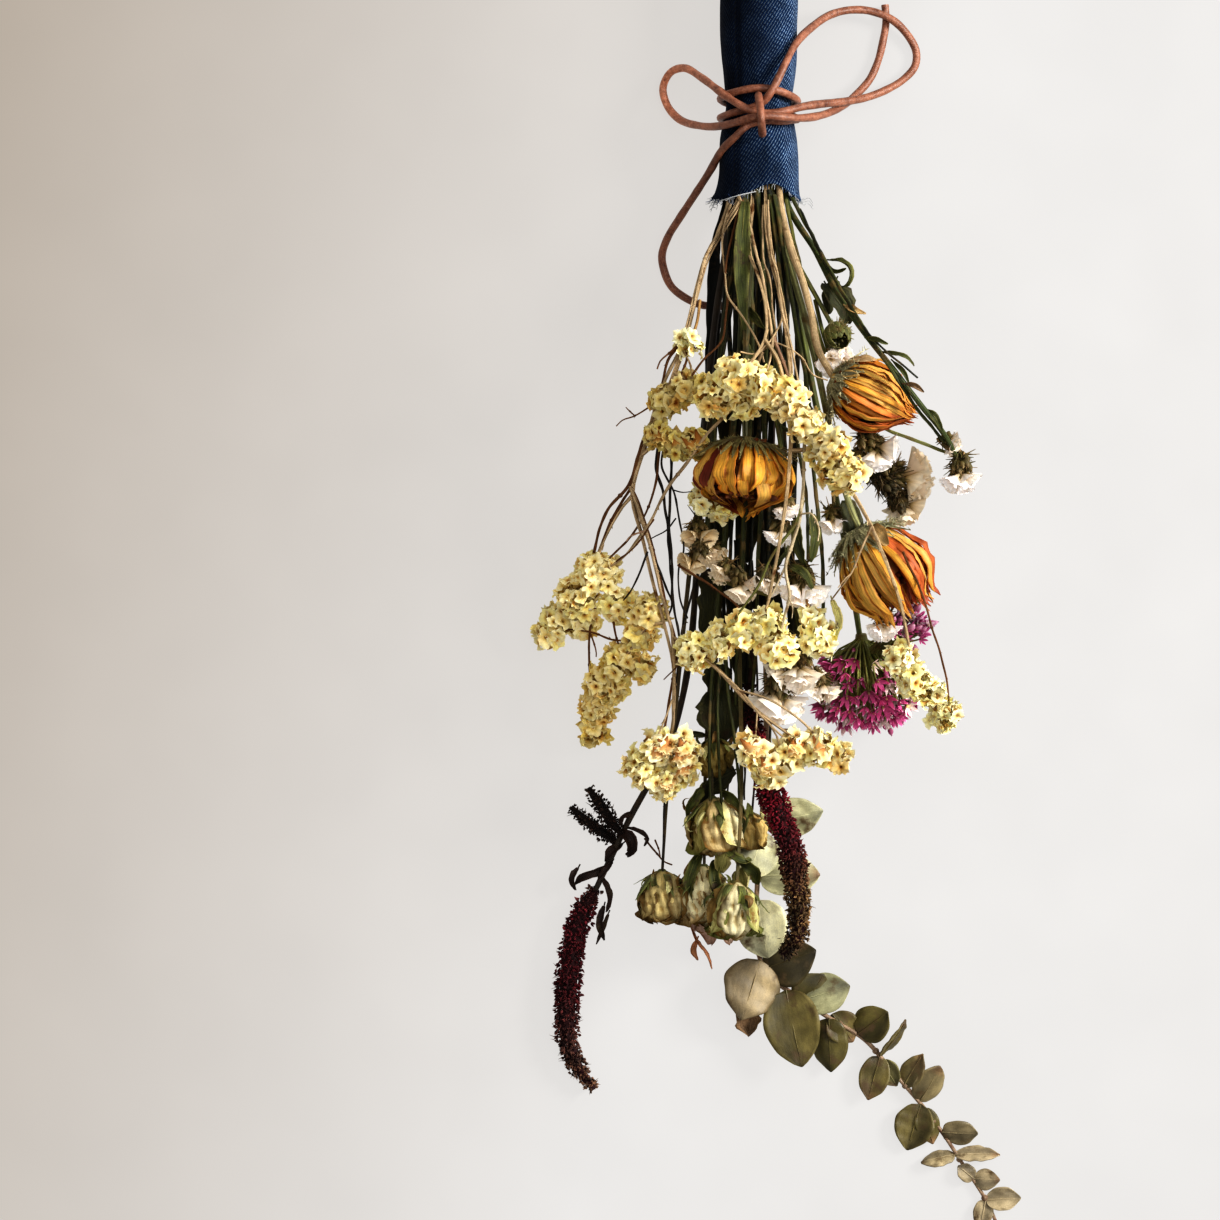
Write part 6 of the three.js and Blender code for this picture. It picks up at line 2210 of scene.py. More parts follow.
def rose(name, tints, seed, petals=13, sepals=5, extra=False):
    """A dried bud: crumpled petals wrapped round each other, with sepals at its foot.

    An extra bud stands for no solid.
    """
    rng = np.random.default_rng(seed)
    head = Head(name)
    line, size, side, up = head.line, head.size, head.side, head.up
    sepal = rgb(96, 100, 54)
    piece = Piece()
    rows, columns = 17, 27
    s = np.linspace(0, 1, rows)[:, None]
    x = np.linspace(-1, 1, columns)[None]
    for k in range(petals):
        layer = 1.03 - 0.5 * k / petals
        centre = 2.4 * k + rng.uniform(-0.4, 0.4)
        width = rng.uniform(0.95, 1.35)
        reach = rng.uniform(0.86, 1.0) + 0.06 * (k / petals)
        body = np.interp(s, [0, 0.15, 0.55, 0.85, 1], [0.35, 0.8, 1.0, 0.86, 0.5])
        angle = centre + width * x * body
        place = np.clip(s * reach * (1 - 0.1 * x**2), 0, 1) * 39
        i = np.clip(place.astype(int), 0, 38)
        f = (place - i)[..., None]
        centres, sides, ups = (v[i] * (1 - f) + v[i + 1] * f for v in (line, side, up))
        radius = (size[i] * (1 - f[..., 0]) + size[i + 1] * f[..., 0]) * layer
        flare = rng.uniform(-0.06, 0.3) * size.max() * np.clip((s - 0.7) / 0.3, 0, 1) ** 2
        radius = radius + flare * (1 + np.abs(x)) + 0.05 * size.max() * np.abs(x) ** 3
        out = turned(sides, ups, angle[..., None])[0]
        points = centres + radius[..., None] * out
        flat = points.reshape(-1, 3)
        crumple = 0.45 * ripple(flat + 31 * k, 4.2, seed + k)
        crumple = crumple + 0.25 * ripple(flat + 17 * k, 1.9, seed + 50 + k)
        creases = 0.5 * rng.integers(15, 25) * angle + rng.uniform(0, 6) + 2.2 * np.sin(3 * s + k)
        creases = np.abs(np.sin(creases))
        pleats = rng.uniform(0.7, 1.2) * (creases - 0.6) * np.sin(PI * s) ** 0.7
        crumple = (crumple + pleats.ravel()).reshape(rows, columns)
        points = points + (crumple * np.clip(1.2 - layer * 0.2, 0, 1))[..., None] * out
        keep_above(points, 0.3)
        pale, dark = tints[rng.integers(len(tints))]
        rim = np.maximum(np.abs(x) ** 3, np.clip((s - 0.8) / 0.2, 0, 1))[..., None]
        shade = (pale * (1 - rim) + dark * rim) * rng.uniform(0.86, 1.12)
        # Painted highlights on the crumples' ridges and painted shade in their hollows
        ridge = np.clip(crumple / 0.8, -1, 1)[..., None]
        shade = shade * (1 + 0.1 * ridge) * (1 + np.minimum(ridge, 0) * [0.36, 0.46, 0.62])
        foot = np.clip(1 - s / 0.22, 0, 1)[..., None]
        shade = shade * (1 - 0.5 * foot) + 0.5 * foot * rgb(150, 136, 88)
        grain = np.stack([x * 6 + 0 * s, s * 18 + 0 * x], axis=-1)
        piece.add(points, lattice(rows, columns), shade.reshape(-1, 3), grain)
    for k in range(sepals):
        angle = 2 * PI * (k + rng.uniform(-0.2, 0.2)) / sepals
        stop = rng.uniform(0.26, 0.5)
        span = np.linspace(0, 1, 13)
        i = (2 + stop * 37 * span).astype(int)
        out, around = turned(side[i], up[i], angle)
        lift = 0.8 + rng.uniform(0.6, 4.6) * span**2.2
        spine = line[i] + (size[i] + lift)[:, None] * out
        keep_above(spine, 0.6)
        halves = rng.uniform(1.1, 1.9) * np.interp(span, [0, 0.2, 0.6, 1], [0.8, 1, 0.6, 0.05])
        blade(
            piece, spine, around, halves, out, -0.4, 5, sepal * rng.uniform(0.7, 1.2), edge=sepal * 1.8,
            thick=0.25, wave=0.2, wave_size=4, seed=int(rng.integers(999)), finish=1,
        )
    curls(piece, head, rng, 9)
    foot = line[:7] - head.along[0] * 0.8
    tube(piece, foot, spread([1.2, 3.0, 3.4], 7), sepal * 1.1, 12, finish=1)
    piece.build(f"{name}_grown", "cream_petal", [CREAM, GREEN], [] if extra else [name])


def add_roses():
    cream, olive = rgb(246, 236, 194), rgb(214, 208, 144)
    brown, green = rgb(122, 98, 54), rgb(112, 116, 62)
    tints = [(rgb(150, 134, 80), rgb(82, 70, 34)), (rgb(178, 158, 100), rgb(96, 80, 42))]
    rose("rose_bud_upper", tints, 76, petals=9, sepals=4, extra=True)
    tints = [(cream, brown), (rgb(206, 182, 122), brown)]
    rose("rose_bud_behind", tints, 75, petals=10, sepals=4, extra=True)
    tints = [
        (rgb(232, 216, 164), rgb(116, 90, 50)), (rgb(212, 192, 136), rgb(108, 82, 46)),
        (rgb(184, 158, 104), rgb(100, 76, 42)),
    ]
    rose("rose_bud_1", tints, 71)
    tints = [
        (cream, brown), (cream, olive), (rgb(222, 200, 150), brown), (rgb(176, 164, 104), green),
    ]
    rose("rose_bud_2", tints, 78)
    tints = [(olive, green), (rgb(196, 164, 106), brown), (cream, brown)]
    rose("rose_bud_3", tints, 73, petals=14, sepals=6)
    tints = [(cream, brown), (rgb(212, 178, 122), brown), (rgb(228, 204, 156), brown)]
    rose("rose_bud_4", tints, 74, petals=14, sepals=6)


# Seed spikes


def tuft(rng, number):
    """A pinch of small bracts that lean apart."""
    shapes = []
    for _ in range(number):
        rings = [(0.34, -0.2), (0.5, 0.35), (0.07, rng.uniform(0.9, 1.5))]
        points = np.vstack([ring(r, round_angles(3), z) for r, z in rings])
        lean = unit(np.array([0.5 * rng.normal(), 0.5 * rng.normal(), 1.0]))
        helper = unit(np.cross(lean, [0.3, 1, 0]))
        turn = np.stack([helper, np.cross(lean, helper), lean], axis=1)
        points = points @ turn.T + [0.4 * rng.normal(), 0.4 * rng.normal(), -0.3]
        shade = rng.uniform(0.7, 1.2) * np.repeat([0.75, 1.0, 1.5], 3)[:, None] * np.ones(3)
        shapes.append((points, split(lattice(3, 3, True)), shade))
    return joined(*shapes)


def spike(name, stops, seed, bristle, spacing=1.25, size=(0.8, 1.38), slim=0.76):
    """A seed spike: hundreds of tufts along its axis. stops are (share, tint) along it."""
    rng = np.random.default_rng(seed)
    count = 60
    head = Head(name, count)
    shape = head.size * (1 + 0.1 * ripple(head.line, 9, seed)) * slim
    piece = Piece()
    at, out, share = sprinkle(head.line, shape, spacing, rng, tries=9)
    at = at + rng.uniform(-0.8, 0.9, (len(at), 1)) * out
    keep_above(at, 0.8)
    index = (share * (count - 1)).astype(int)
    out = unit(out + 0.35 * head.along[index] + 0.42 * rng.normal(size=out.shape))
    levels = [stop[0] for stop in stops]
    shades = np.array([stop[1] for stop in stops])
    tints = np.stack([np.interp(share, levels, shades[:, c]) for c in range(3)], axis=1)
    lively = 1 + 0.3 * rng.normal(size=(len(at), 1)) + 0.25 * ripple(at, 6, seed + 1)[:, None]
    tints = tints * np.clip(lively, 0.35, 2.0)
    spark = rng.random(len(at)) < 0.1
    tints[spark] *= 1.7
    for k in range(5):
        mine = np.arange(len(at)) % 5 == k
        pinch = tuft(rng, 2 + k % 2)
        sizes = rng.uniform(*size, mine.sum())
        stamp(piece, pinch, at[mine], out[mine], sizes, rng, tints[mine])
    some = rng.random(len(at)) < bristle * share
    lean = unit(out[some] + 0.5 * rng.normal(size=(some.sum(), 3)))
    ends = at[some] + lean * rng.uniform(1.4, 3.2, (some.sum(), 1))
    keep_above(ends, 0.3)
    sticks(piece, at[some], ends, 0.2, 0.03, tints[some] * 1.5)
    tube(piece, head.line, np.maximum(head.size * 0.6, 0.8), shades[len(stops) // 2] * 0.35, 14)
    piece.build(f"{name}_grown", "seed_spike", [SEED], [name])


def add_spikes():
    crimson, maroon, olive = rgb(134, 28, 46), rgb(86, 30, 34), rgb(112, 88, 58)
    burgundy, brown, tan = rgb(84, 24, 30), rgb(84, 56, 46), rgb(110, 82, 62)
    spike(
        "amaranth_right_spike",
        [
            (0, 0.4 * maroon), (0.12, 0.6 * maroon), (0.24, crimson), (0.42, rgb(134, 34, 52)),
            (0.58, maroon), (0.74, olive), (0.92, rgb(104, 82, 56)), (1, rgb(58, 46, 34)),
        ],
        81, 0.3,
    )
    spike(
        "amaranth_left_spike",
        [
            (0, 0.9 * brown), (0.12, rgb(88, 24, 32)), (0.5, 0.85 * burgundy), (0.8, 0.9 * brown),
            (1, tan),
        ],
        82, 0.4,
    )
    stops = [(0, rgb(44, 32, 26)), (0.4, rgb(52, 36, 30)), (1, rgb(62, 46, 36))]
    for number, seed in ((1, 83), (2, 84)):
        name = f"amaranth_left_side_spike_{number}"
        spike(name, stops, seed, 0.3, spacing=1.15, size=(0.65, 1.05), slim=0.85)


# Thin twigs, small leaves and loose petals between the larger pieces


def packed_stalks():
    """Stalks packed side by side in three layers, behind the others in the middle, tinted near-black as painted shade.
    """
    made = []
    for k, column in enumerate([728, 737, 745, 753, 761, 769, 777, 786, 794]):
        layer = k % 3
        sway, thick = (4, -3, 2)[layer], (2.4, 3.0, 2.7)[layer]
        low = 5 * layer
        start, end = 735 + (column - 728) // 2, column - sway
        columns = [start, column, column + sway, column, end, end]
        rows = [190, 290, 400, 500, 590, 650 + 12 * layer]
        heights = [22 + low, 28 + low, 32 + low, 32 + low, 30 + low, 28 + low]
        made.append(["deep", thick, 1.6, [list(place) for place in zip(columns, rows, heights)]])
    return made


# Thin stalks: tone, thickness in millimetres at both ends, route as [column, row, height]
FILLERS = [
    ["tan", 1.5, 1.2, [
        [730, 196, 32], [724, 216, 36], [714, 242, 42], [704, 262, 47], [697, 290, 52],
        [690, 322, 56], [682, 345, 58], [668, 374, 57], [655, 408, 54], [646, 440, 52],
        [633, 482, 49],
    ]],
    ["brown", 1.1, 0.9, [
        [683, 343, 57], [669, 358, 58], [663, 382, 55], [657, 405, 53], [648, 436, 50],
        [631, 486, 47],
    ]],
    ["brown", 0.9, 0.6, [[682, 340, 58], [669, 353, 61], [660, 361, 62], [657, 369, 61]]],
    ["brown", 1.0, 0.8, [[685, 345, 58], [687, 358, 60], [681, 374, 60], [678, 388, 59]]],
    ["tan", 0.8, 0.7, [[681, 348, 58], [689, 362, 61], [692, 375, 61], [690, 388, 61]]],
    ["brown", 1.0, 0.9, [
        [742, 200, 37], [733, 232, 44], [727, 256, 49], [725, 280, 52], [728, 298, 55],
        [726, 318, 57], [722, 340, 59], [704, 360, 61], [692, 376, 61],
    ]],
    ["tan", 1.0, 0.8, [
        [731, 205, 36], [723, 232, 42], [723, 254, 47], [726, 277, 52], [728, 296, 56],
        [744, 318, 60], [759, 345, 62], [764, 362, 60],
    ]],
    ["tan", 1.5, 1.2, [
        [739, 196, 36], [743, 208, 39], [752, 236, 48], [758, 260, 55], [765, 291, 63],
        [769, 314, 69], [772, 335, 74],
    ]],
    ["tan", 1.0, 0.8, [
        [768, 200, 36], [771, 253, 52], [778, 274, 58], [779, 292, 63], [782, 318, 69],
        [773, 337, 76], [763, 348, 80], [751, 363, 82],
    ]],
    ["tan", 0.9, 0.7, [
        [763, 205, 36], [763, 253, 50], [771, 287, 60], [773, 316, 68], [775, 340, 75],
        [755, 354, 81], [740, 352, 83],
    ]],
    ["tan", 1.2, 0.9, [[773, 337, 76], [771, 355, 82], [767, 370, 86]]],
    ["tan", 1.2, 0.9, [
        [778, 292, 62], [782, 312, 69], [788, 334, 77], [794, 360, 84], [799, 388, 88],
    ]],
    ["pink", 1.6, 1.2, [[774, 338, 74], [784, 364, 82], [792, 390, 86]]],
    ["tan", 0.8, 0.6, [[775, 342, 76], [800, 356, 78], [812, 374, 74], [828, 380, 72]]],
    ["green", 1.7, 1.2, [
        [792, 198, 36], [812, 236, 44], [838, 284, 62], [868, 334, 80], [894, 374, 84],
        [918, 410, 78], [944, 442, 66],
    ]],
    ["deep", 1.1, 0.8, [
        [800, 210, 38], [826, 262, 54], [850, 306, 70], [876, 342, 84], [904, 366, 86],
        [918, 378, 84],
    ]],
    ["olive", 1.6, 1.3, [
        [786, 200, 30], [794, 240, 38], [804, 282, 44], [818, 330, 50], [832, 372, 56],
        [860, 410, 60], [887, 429, 61], [946, 452, 58],
    ]],
    ["tan", 1.5, 1.0, [
        [762, 352, 80], [745, 395, 76], [709, 432, 70], [690, 458, 66], [667, 490, 60],
        [642, 534, 50], [620, 560, 38], [600, 574, 30],
    ]],
    ["brown", 0.9, 0.7, [[654, 520, 54], [636, 545, 46], [616, 562, 37]]],
    ["pink", 0.8, 0.6, [[645, 530, 51], [630, 536, 50], [626, 541, 49]]],
    ["brown", 1.7, 1.2, [
        [648, 430, 52], [640, 452, 51], [629, 485, 48], [609, 508, 42], [600, 528, 37],
        [594, 552, 31],
    ]],
    ["brown", 1.3, 1.0, [[632, 486, 48], [614, 516, 41], [603, 540, 35], [599, 556, 31]]],
    ["tan", 1.6, 1.2, [
        [630, 486, 48], [638, 508, 48], [648, 538, 47], [655, 565, 46], [661, 592, 45],
        [672, 634, 45], [674, 688, 45], [672, 740, 45],
    ]],
    ["brown", 1.4, 1.0, [
        [631, 488, 47], [641, 512, 45], [650, 540, 43], [659, 575, 42], [667, 610, 42],
        [676, 650, 42], [669, 700, 43], [662, 745, 44],
    ]],
    ["brown", 1.1, 0.8, [
        [660, 440, 56], [657, 478, 50], [646, 513, 44], [625, 543, 38], [610, 558, 33],
    ]],
    ["black", 1.3, 0.9, [
        [658, 446, 52], [656, 466, 48], [663, 493, 44], [667, 526, 41], [670, 560, 40],
        [673, 604, 42],
    ]],
    ["black", 1.2, 0.9, [
        [672, 446, 50], [671, 480, 46], [669, 520, 42], [672, 560, 41], [673, 600, 43],
        [680, 640, 50],
    ]],
    ["black", 0.9, 0.7, [
        [664, 446, 54], [662, 468, 50], [674, 492, 47], [680, 522, 45], [684, 549, 44],
        [679, 566, 44], [680, 597, 46], [687, 618, 50],
    ]],
    ["black", 0.6, 0.4, [[674, 490, 47], [682, 492, 50], [692, 491, 54]]],
    ["black", 0.7, 0.4, [[676, 518, 45], [666, 530, 47], [655, 536, 46], [648, 540, 46]]],
    ["brown", 1.1, 0.8, [
        [678, 565, 44], [691, 573, 50], [705, 582, 56], [720, 592, 59], [734, 603, 62],
        [745, 618, 66],
    ]],
    ["black", 0.9, 0.7, [[648, 552, 46], [640, 572, 42], [631, 590, 36], [622, 602, 30]]],
    ["black", 1.0, 0.8, [[655, 560, 45], [667, 590, 40], [672, 604, 38], [662, 626, 36]]],
    ["brown", 0.9, 0.7, [[640, 640, 32], [614, 640, 28], [590, 632, 22], [560, 628, 14]]],
    ["brown", 1.0, 0.7, [[590, 620, 20], [589, 650, 22], [591, 680, 17], [596, 704, 11]]],
    ["brown", 0.9, 0.6, [[613, 616, 25], [617, 640, 26], [624, 660, 25]]],
    ["brown", 0.7, 0.5, [[590, 632, 22], [596, 652, 24], [596, 657, 25]]],
    ["cream", 1.6, 1.2, [
        [798, 388, 86], [803, 420, 86], [804, 447, 84], [801, 513, 80], [792, 545, 78],
        [786, 566, 77], [789, 597, 76], [781, 630, 74],
    ]],
    ["cream", 0.9, 0.6, [[801, 514, 80], [812, 514, 84], [819, 528, 85], [818, 541, 84]]],
    ["olive", 1.2, 0.9, [
        [804, 500, 80], [794, 526, 80], [774, 553, 78], [757, 588, 75], [735, 618, 72],
    ]],
    ["cream", 0.9, 0.7, [[786, 566, 77], [777, 584, 76], [767, 603, 74]]],
    ["cream", 0.6, 0.4, [[789, 597, 76], [793, 608, 78], [792, 618, 78]]],
    ["tan", 1.0, 0.6, [[872, 525, 86], [860, 552, 84], [850, 575, 82], [832, 600, 76]]],
    ["tan", 0.6, 0.4, [[851, 574, 82], [844, 580, 84], [838, 588, 84]]],
    ["brown", 1.0, 0.7, [
        [903, 552, 76], [924, 600, 72], [936, 640, 66], [945, 672, 60], [949, 700, 54],
    ]],
    ["tan", 1.3, 0.9, [
        [675, 638, 46], [698, 654, 60], [717, 669, 62], [740, 690, 62], [757, 712, 62],
        [775, 730, 62], [790, 741, 61],
    ]],
    ["tan", 0.8, 0.6, [[757, 712, 62], [756, 728, 63], [755, 742, 62]]],
    ["tan", 0.8, 0.6, [[770, 724, 62], [778, 738, 64], [780, 752, 63]]],
    ["tan", 1.0, 0.8, [[740, 690, 62], [770, 700, 66], [800, 720, 64], [818, 738, 62]]],
    ["tan", 0.8, 0.6, [[672, 700, 46], [664, 722, 48], [655, 742, 47]]],
    ["brown", 0.8, 0.5, [[652, 405, 56], [634, 416, 60], [622, 420, 62], [616, 426, 62]]],
    ["brown", 0.6, 0.4, [[634, 416, 60], [629, 411, 61], [626, 407, 61]]],
    ["brown", 0.8, 0.5, [[690, 650, 55], [676, 668, 50], [664, 680, 47]]],
    ["green", 2.6, 1.8, [
        [738, 190, 30], [741, 240, 36], [742, 300, 42], [738, 380, 44], [730, 470, 42],
        [722, 560, 40], [716, 640, 40], [712, 700, 40],
    ]],
    ["green", 2.4, 1.6, [
        [746, 190, 31], [750, 250, 40], [752, 310, 46], [752, 380, 48], [747, 470, 46],
        [742, 560, 44], [738, 640, 44], [735, 705, 42],
    ]],
    ["green", 2.0, 1.4, [
        [757, 190, 32], [762, 250, 40], [766, 320, 47], [766, 400, 50], [762, 480, 48],
        [758, 560, 46], [756, 640, 44], [752, 700, 42],
    ]],
    ["green", 2.0, 1.4, [
        [774, 195, 34], [782, 240, 42], [790, 290, 50], [799, 340, 56], [807, 386, 58],
        [812, 440, 56], [816, 500, 54], [822, 560, 52], [824, 640, 50],
    ]],
    ["green", 1.8, 1.3, [
        [770, 195, 33], [777, 250, 42], [784, 310, 50], [790, 370, 54], [797, 430, 54],
        [806, 500, 52], [808, 560, 54],
    ]],
    ["green", 1.5, 1.2, [[716, 630, 41], [711, 690, 43], [709, 740, 43], [711, 800, 39]]],
    ["green", 1.4, 1.1, [
        [722, 630, 42], [718, 700, 44], [718, 745, 43], [721, 800, 40], [722, 846, 38],
    ]],
    ["green", 1.6, 1.2, [[724, 650, 43], [729, 700, 45], [736, 750, 45], [739, 800, 44]]],
    ["green", 1.2, 1.0, [[716, 600, 38], [714, 680, 38], [713, 738, 36]]],
    ["deep", 1.8, 1.3, [
        [731, 190, 26], [728, 250, 30], [722, 330, 32], [716, 410, 34], [714, 490, 34],
        [718, 570, 32], [722, 650, 32], [720, 720, 30],
    ]],
    ["deep", 1.8, 1.3, [
        [750, 190, 26], [748, 260, 32], [742, 340, 36], [736, 430, 38], [732, 520, 36],
        [728, 600, 34], [726, 680, 34],
    ]],
    ["deep", 1.7, 1.2, [
        [762, 190, 28], [766, 270, 34], [764, 350, 38], [758, 440, 40], [752, 530, 38],
        [748, 620, 38], [746, 700, 36],
    ]],
    ["deep", 1.6, 1.2, [
        [778, 192, 28], [784, 270, 36], [784, 350, 42], [780, 440, 42], [776, 530, 42],
        [772, 610, 42], [776, 670, 42],
    ]],
    ["deep", 1.5, 1.1, [
        [770, 192, 26], [774, 270, 30], [772, 350, 34], [766, 440, 36], [768, 540, 34],
        [772, 640, 34], [770, 740, 32], [764, 800, 28],
    ]],
    *packed_stalks(),
    ["black", 1.2, 0.9, [
        [735, 540, 30], [738, 620, 26], [742, 700, 24], [745, 760, 22], [744, 800, 20],
    ]],
    ["black", 1.1, 0.9, [
        [724, 540, 28], [728, 620, 24], [732, 700, 22], [730, 770, 20], [726, 810, 18],
    ]],
    ["black", 1.1, 0.9, [
        [752, 560, 30], [756, 640, 26], [757, 720, 24], [754, 790, 20], [748, 840, 18],
    ]],
    ["black", 0.9, 0.8, [
        [700, 560, 34], [690, 600, 38], [680, 645, 40], [676, 690, 38], [668, 760, 30],
        [664, 820, 26], [663, 872, 24],
    ]],
    ["brown", 0.9, 0.6, [[645, 838, 12], [656, 852, 16], [664, 862, 20], [672, 865, 22]]],
    ["brown", 0.7, 0.5, [[655, 840, 14], [659, 850, 18], [660, 858, 20]]],
]
# The deep and black tints are near-black, as painted shade among the stalks
FILLER_TINTS = {
    "tan": (STRAW, rgb(186, 162, 128)), "cream": (STRAW, rgb(212, 194, 160)),
    "pink": (STRAW, rgb(188, 152, 126)),
    "brown": (STRAW, rgb(112, 76, 48)), "olive": (GREEN, rgb(118, 118, 62)),
    "green": (GREEN, rgb(68, 72, 34)),
    "deep": (GREEN, rgb(34, 36, 20)), "black": (DARK, rgb(34, 27, 20)),
}


def add_fillers():
    rng = np.random.default_rng(91)
    pieces = {}
    for number, (tone, thick, thin, route) in enumerate(FILLERS):
        tint = FILLER_TINTS[tone][1]
        piece = pieces.setdefault(tone, Piece())
        path = route_line(route, 2.4 if tone == "deep" else 1.6)
        sway = [ripple(path, 14, 300 + 3 * number + k) for k in range(3)]
        path = path + 0.16 * np.stack(sway, axis=1)
        size = np.linspace(thick, thin, len(path)) / 2 * (1 + 0.09 * ripple(path, 5, 400 + number))
        keep_above(path, size + 0.2)
        shade = tint * (1 + 0.16 * ripple(path, 12, 500 + number))[:, None]
        sides, flutes = (9, 3) if tone in ("green", "olive") else (6, 0)
        tube(piece, path, size, shade, sides, flutes, depth=0.13, twist=0.02)
        if tone in ("tan", "brown", "cream", "pink"):
            spurs(piece, path, 0.4 * thick, tint, rng, 11, 1.8)
            for at in evenly(path, 29)[1:-1]:
                knee = at + np.linspace(-0.7, 0.7, 5)[:, None] * unit(path[-1] - path[0])
                radii = thick / 2 * np.array([0.8, 1.1, 1.22, 1.1, 0.8])
                tube(piece, knee, radii, tint * 0.85, 6, ends=False)
    for tone, piece in pieces.items():
        finish = FILLER_TINTS[tone][0]
        slot = {STRAW: "straw_stem", GREEN: "green_stem"}.get(finish, "dark_stem")
        piece.build(f"thin_{tone}_stalks", slot, [finish])


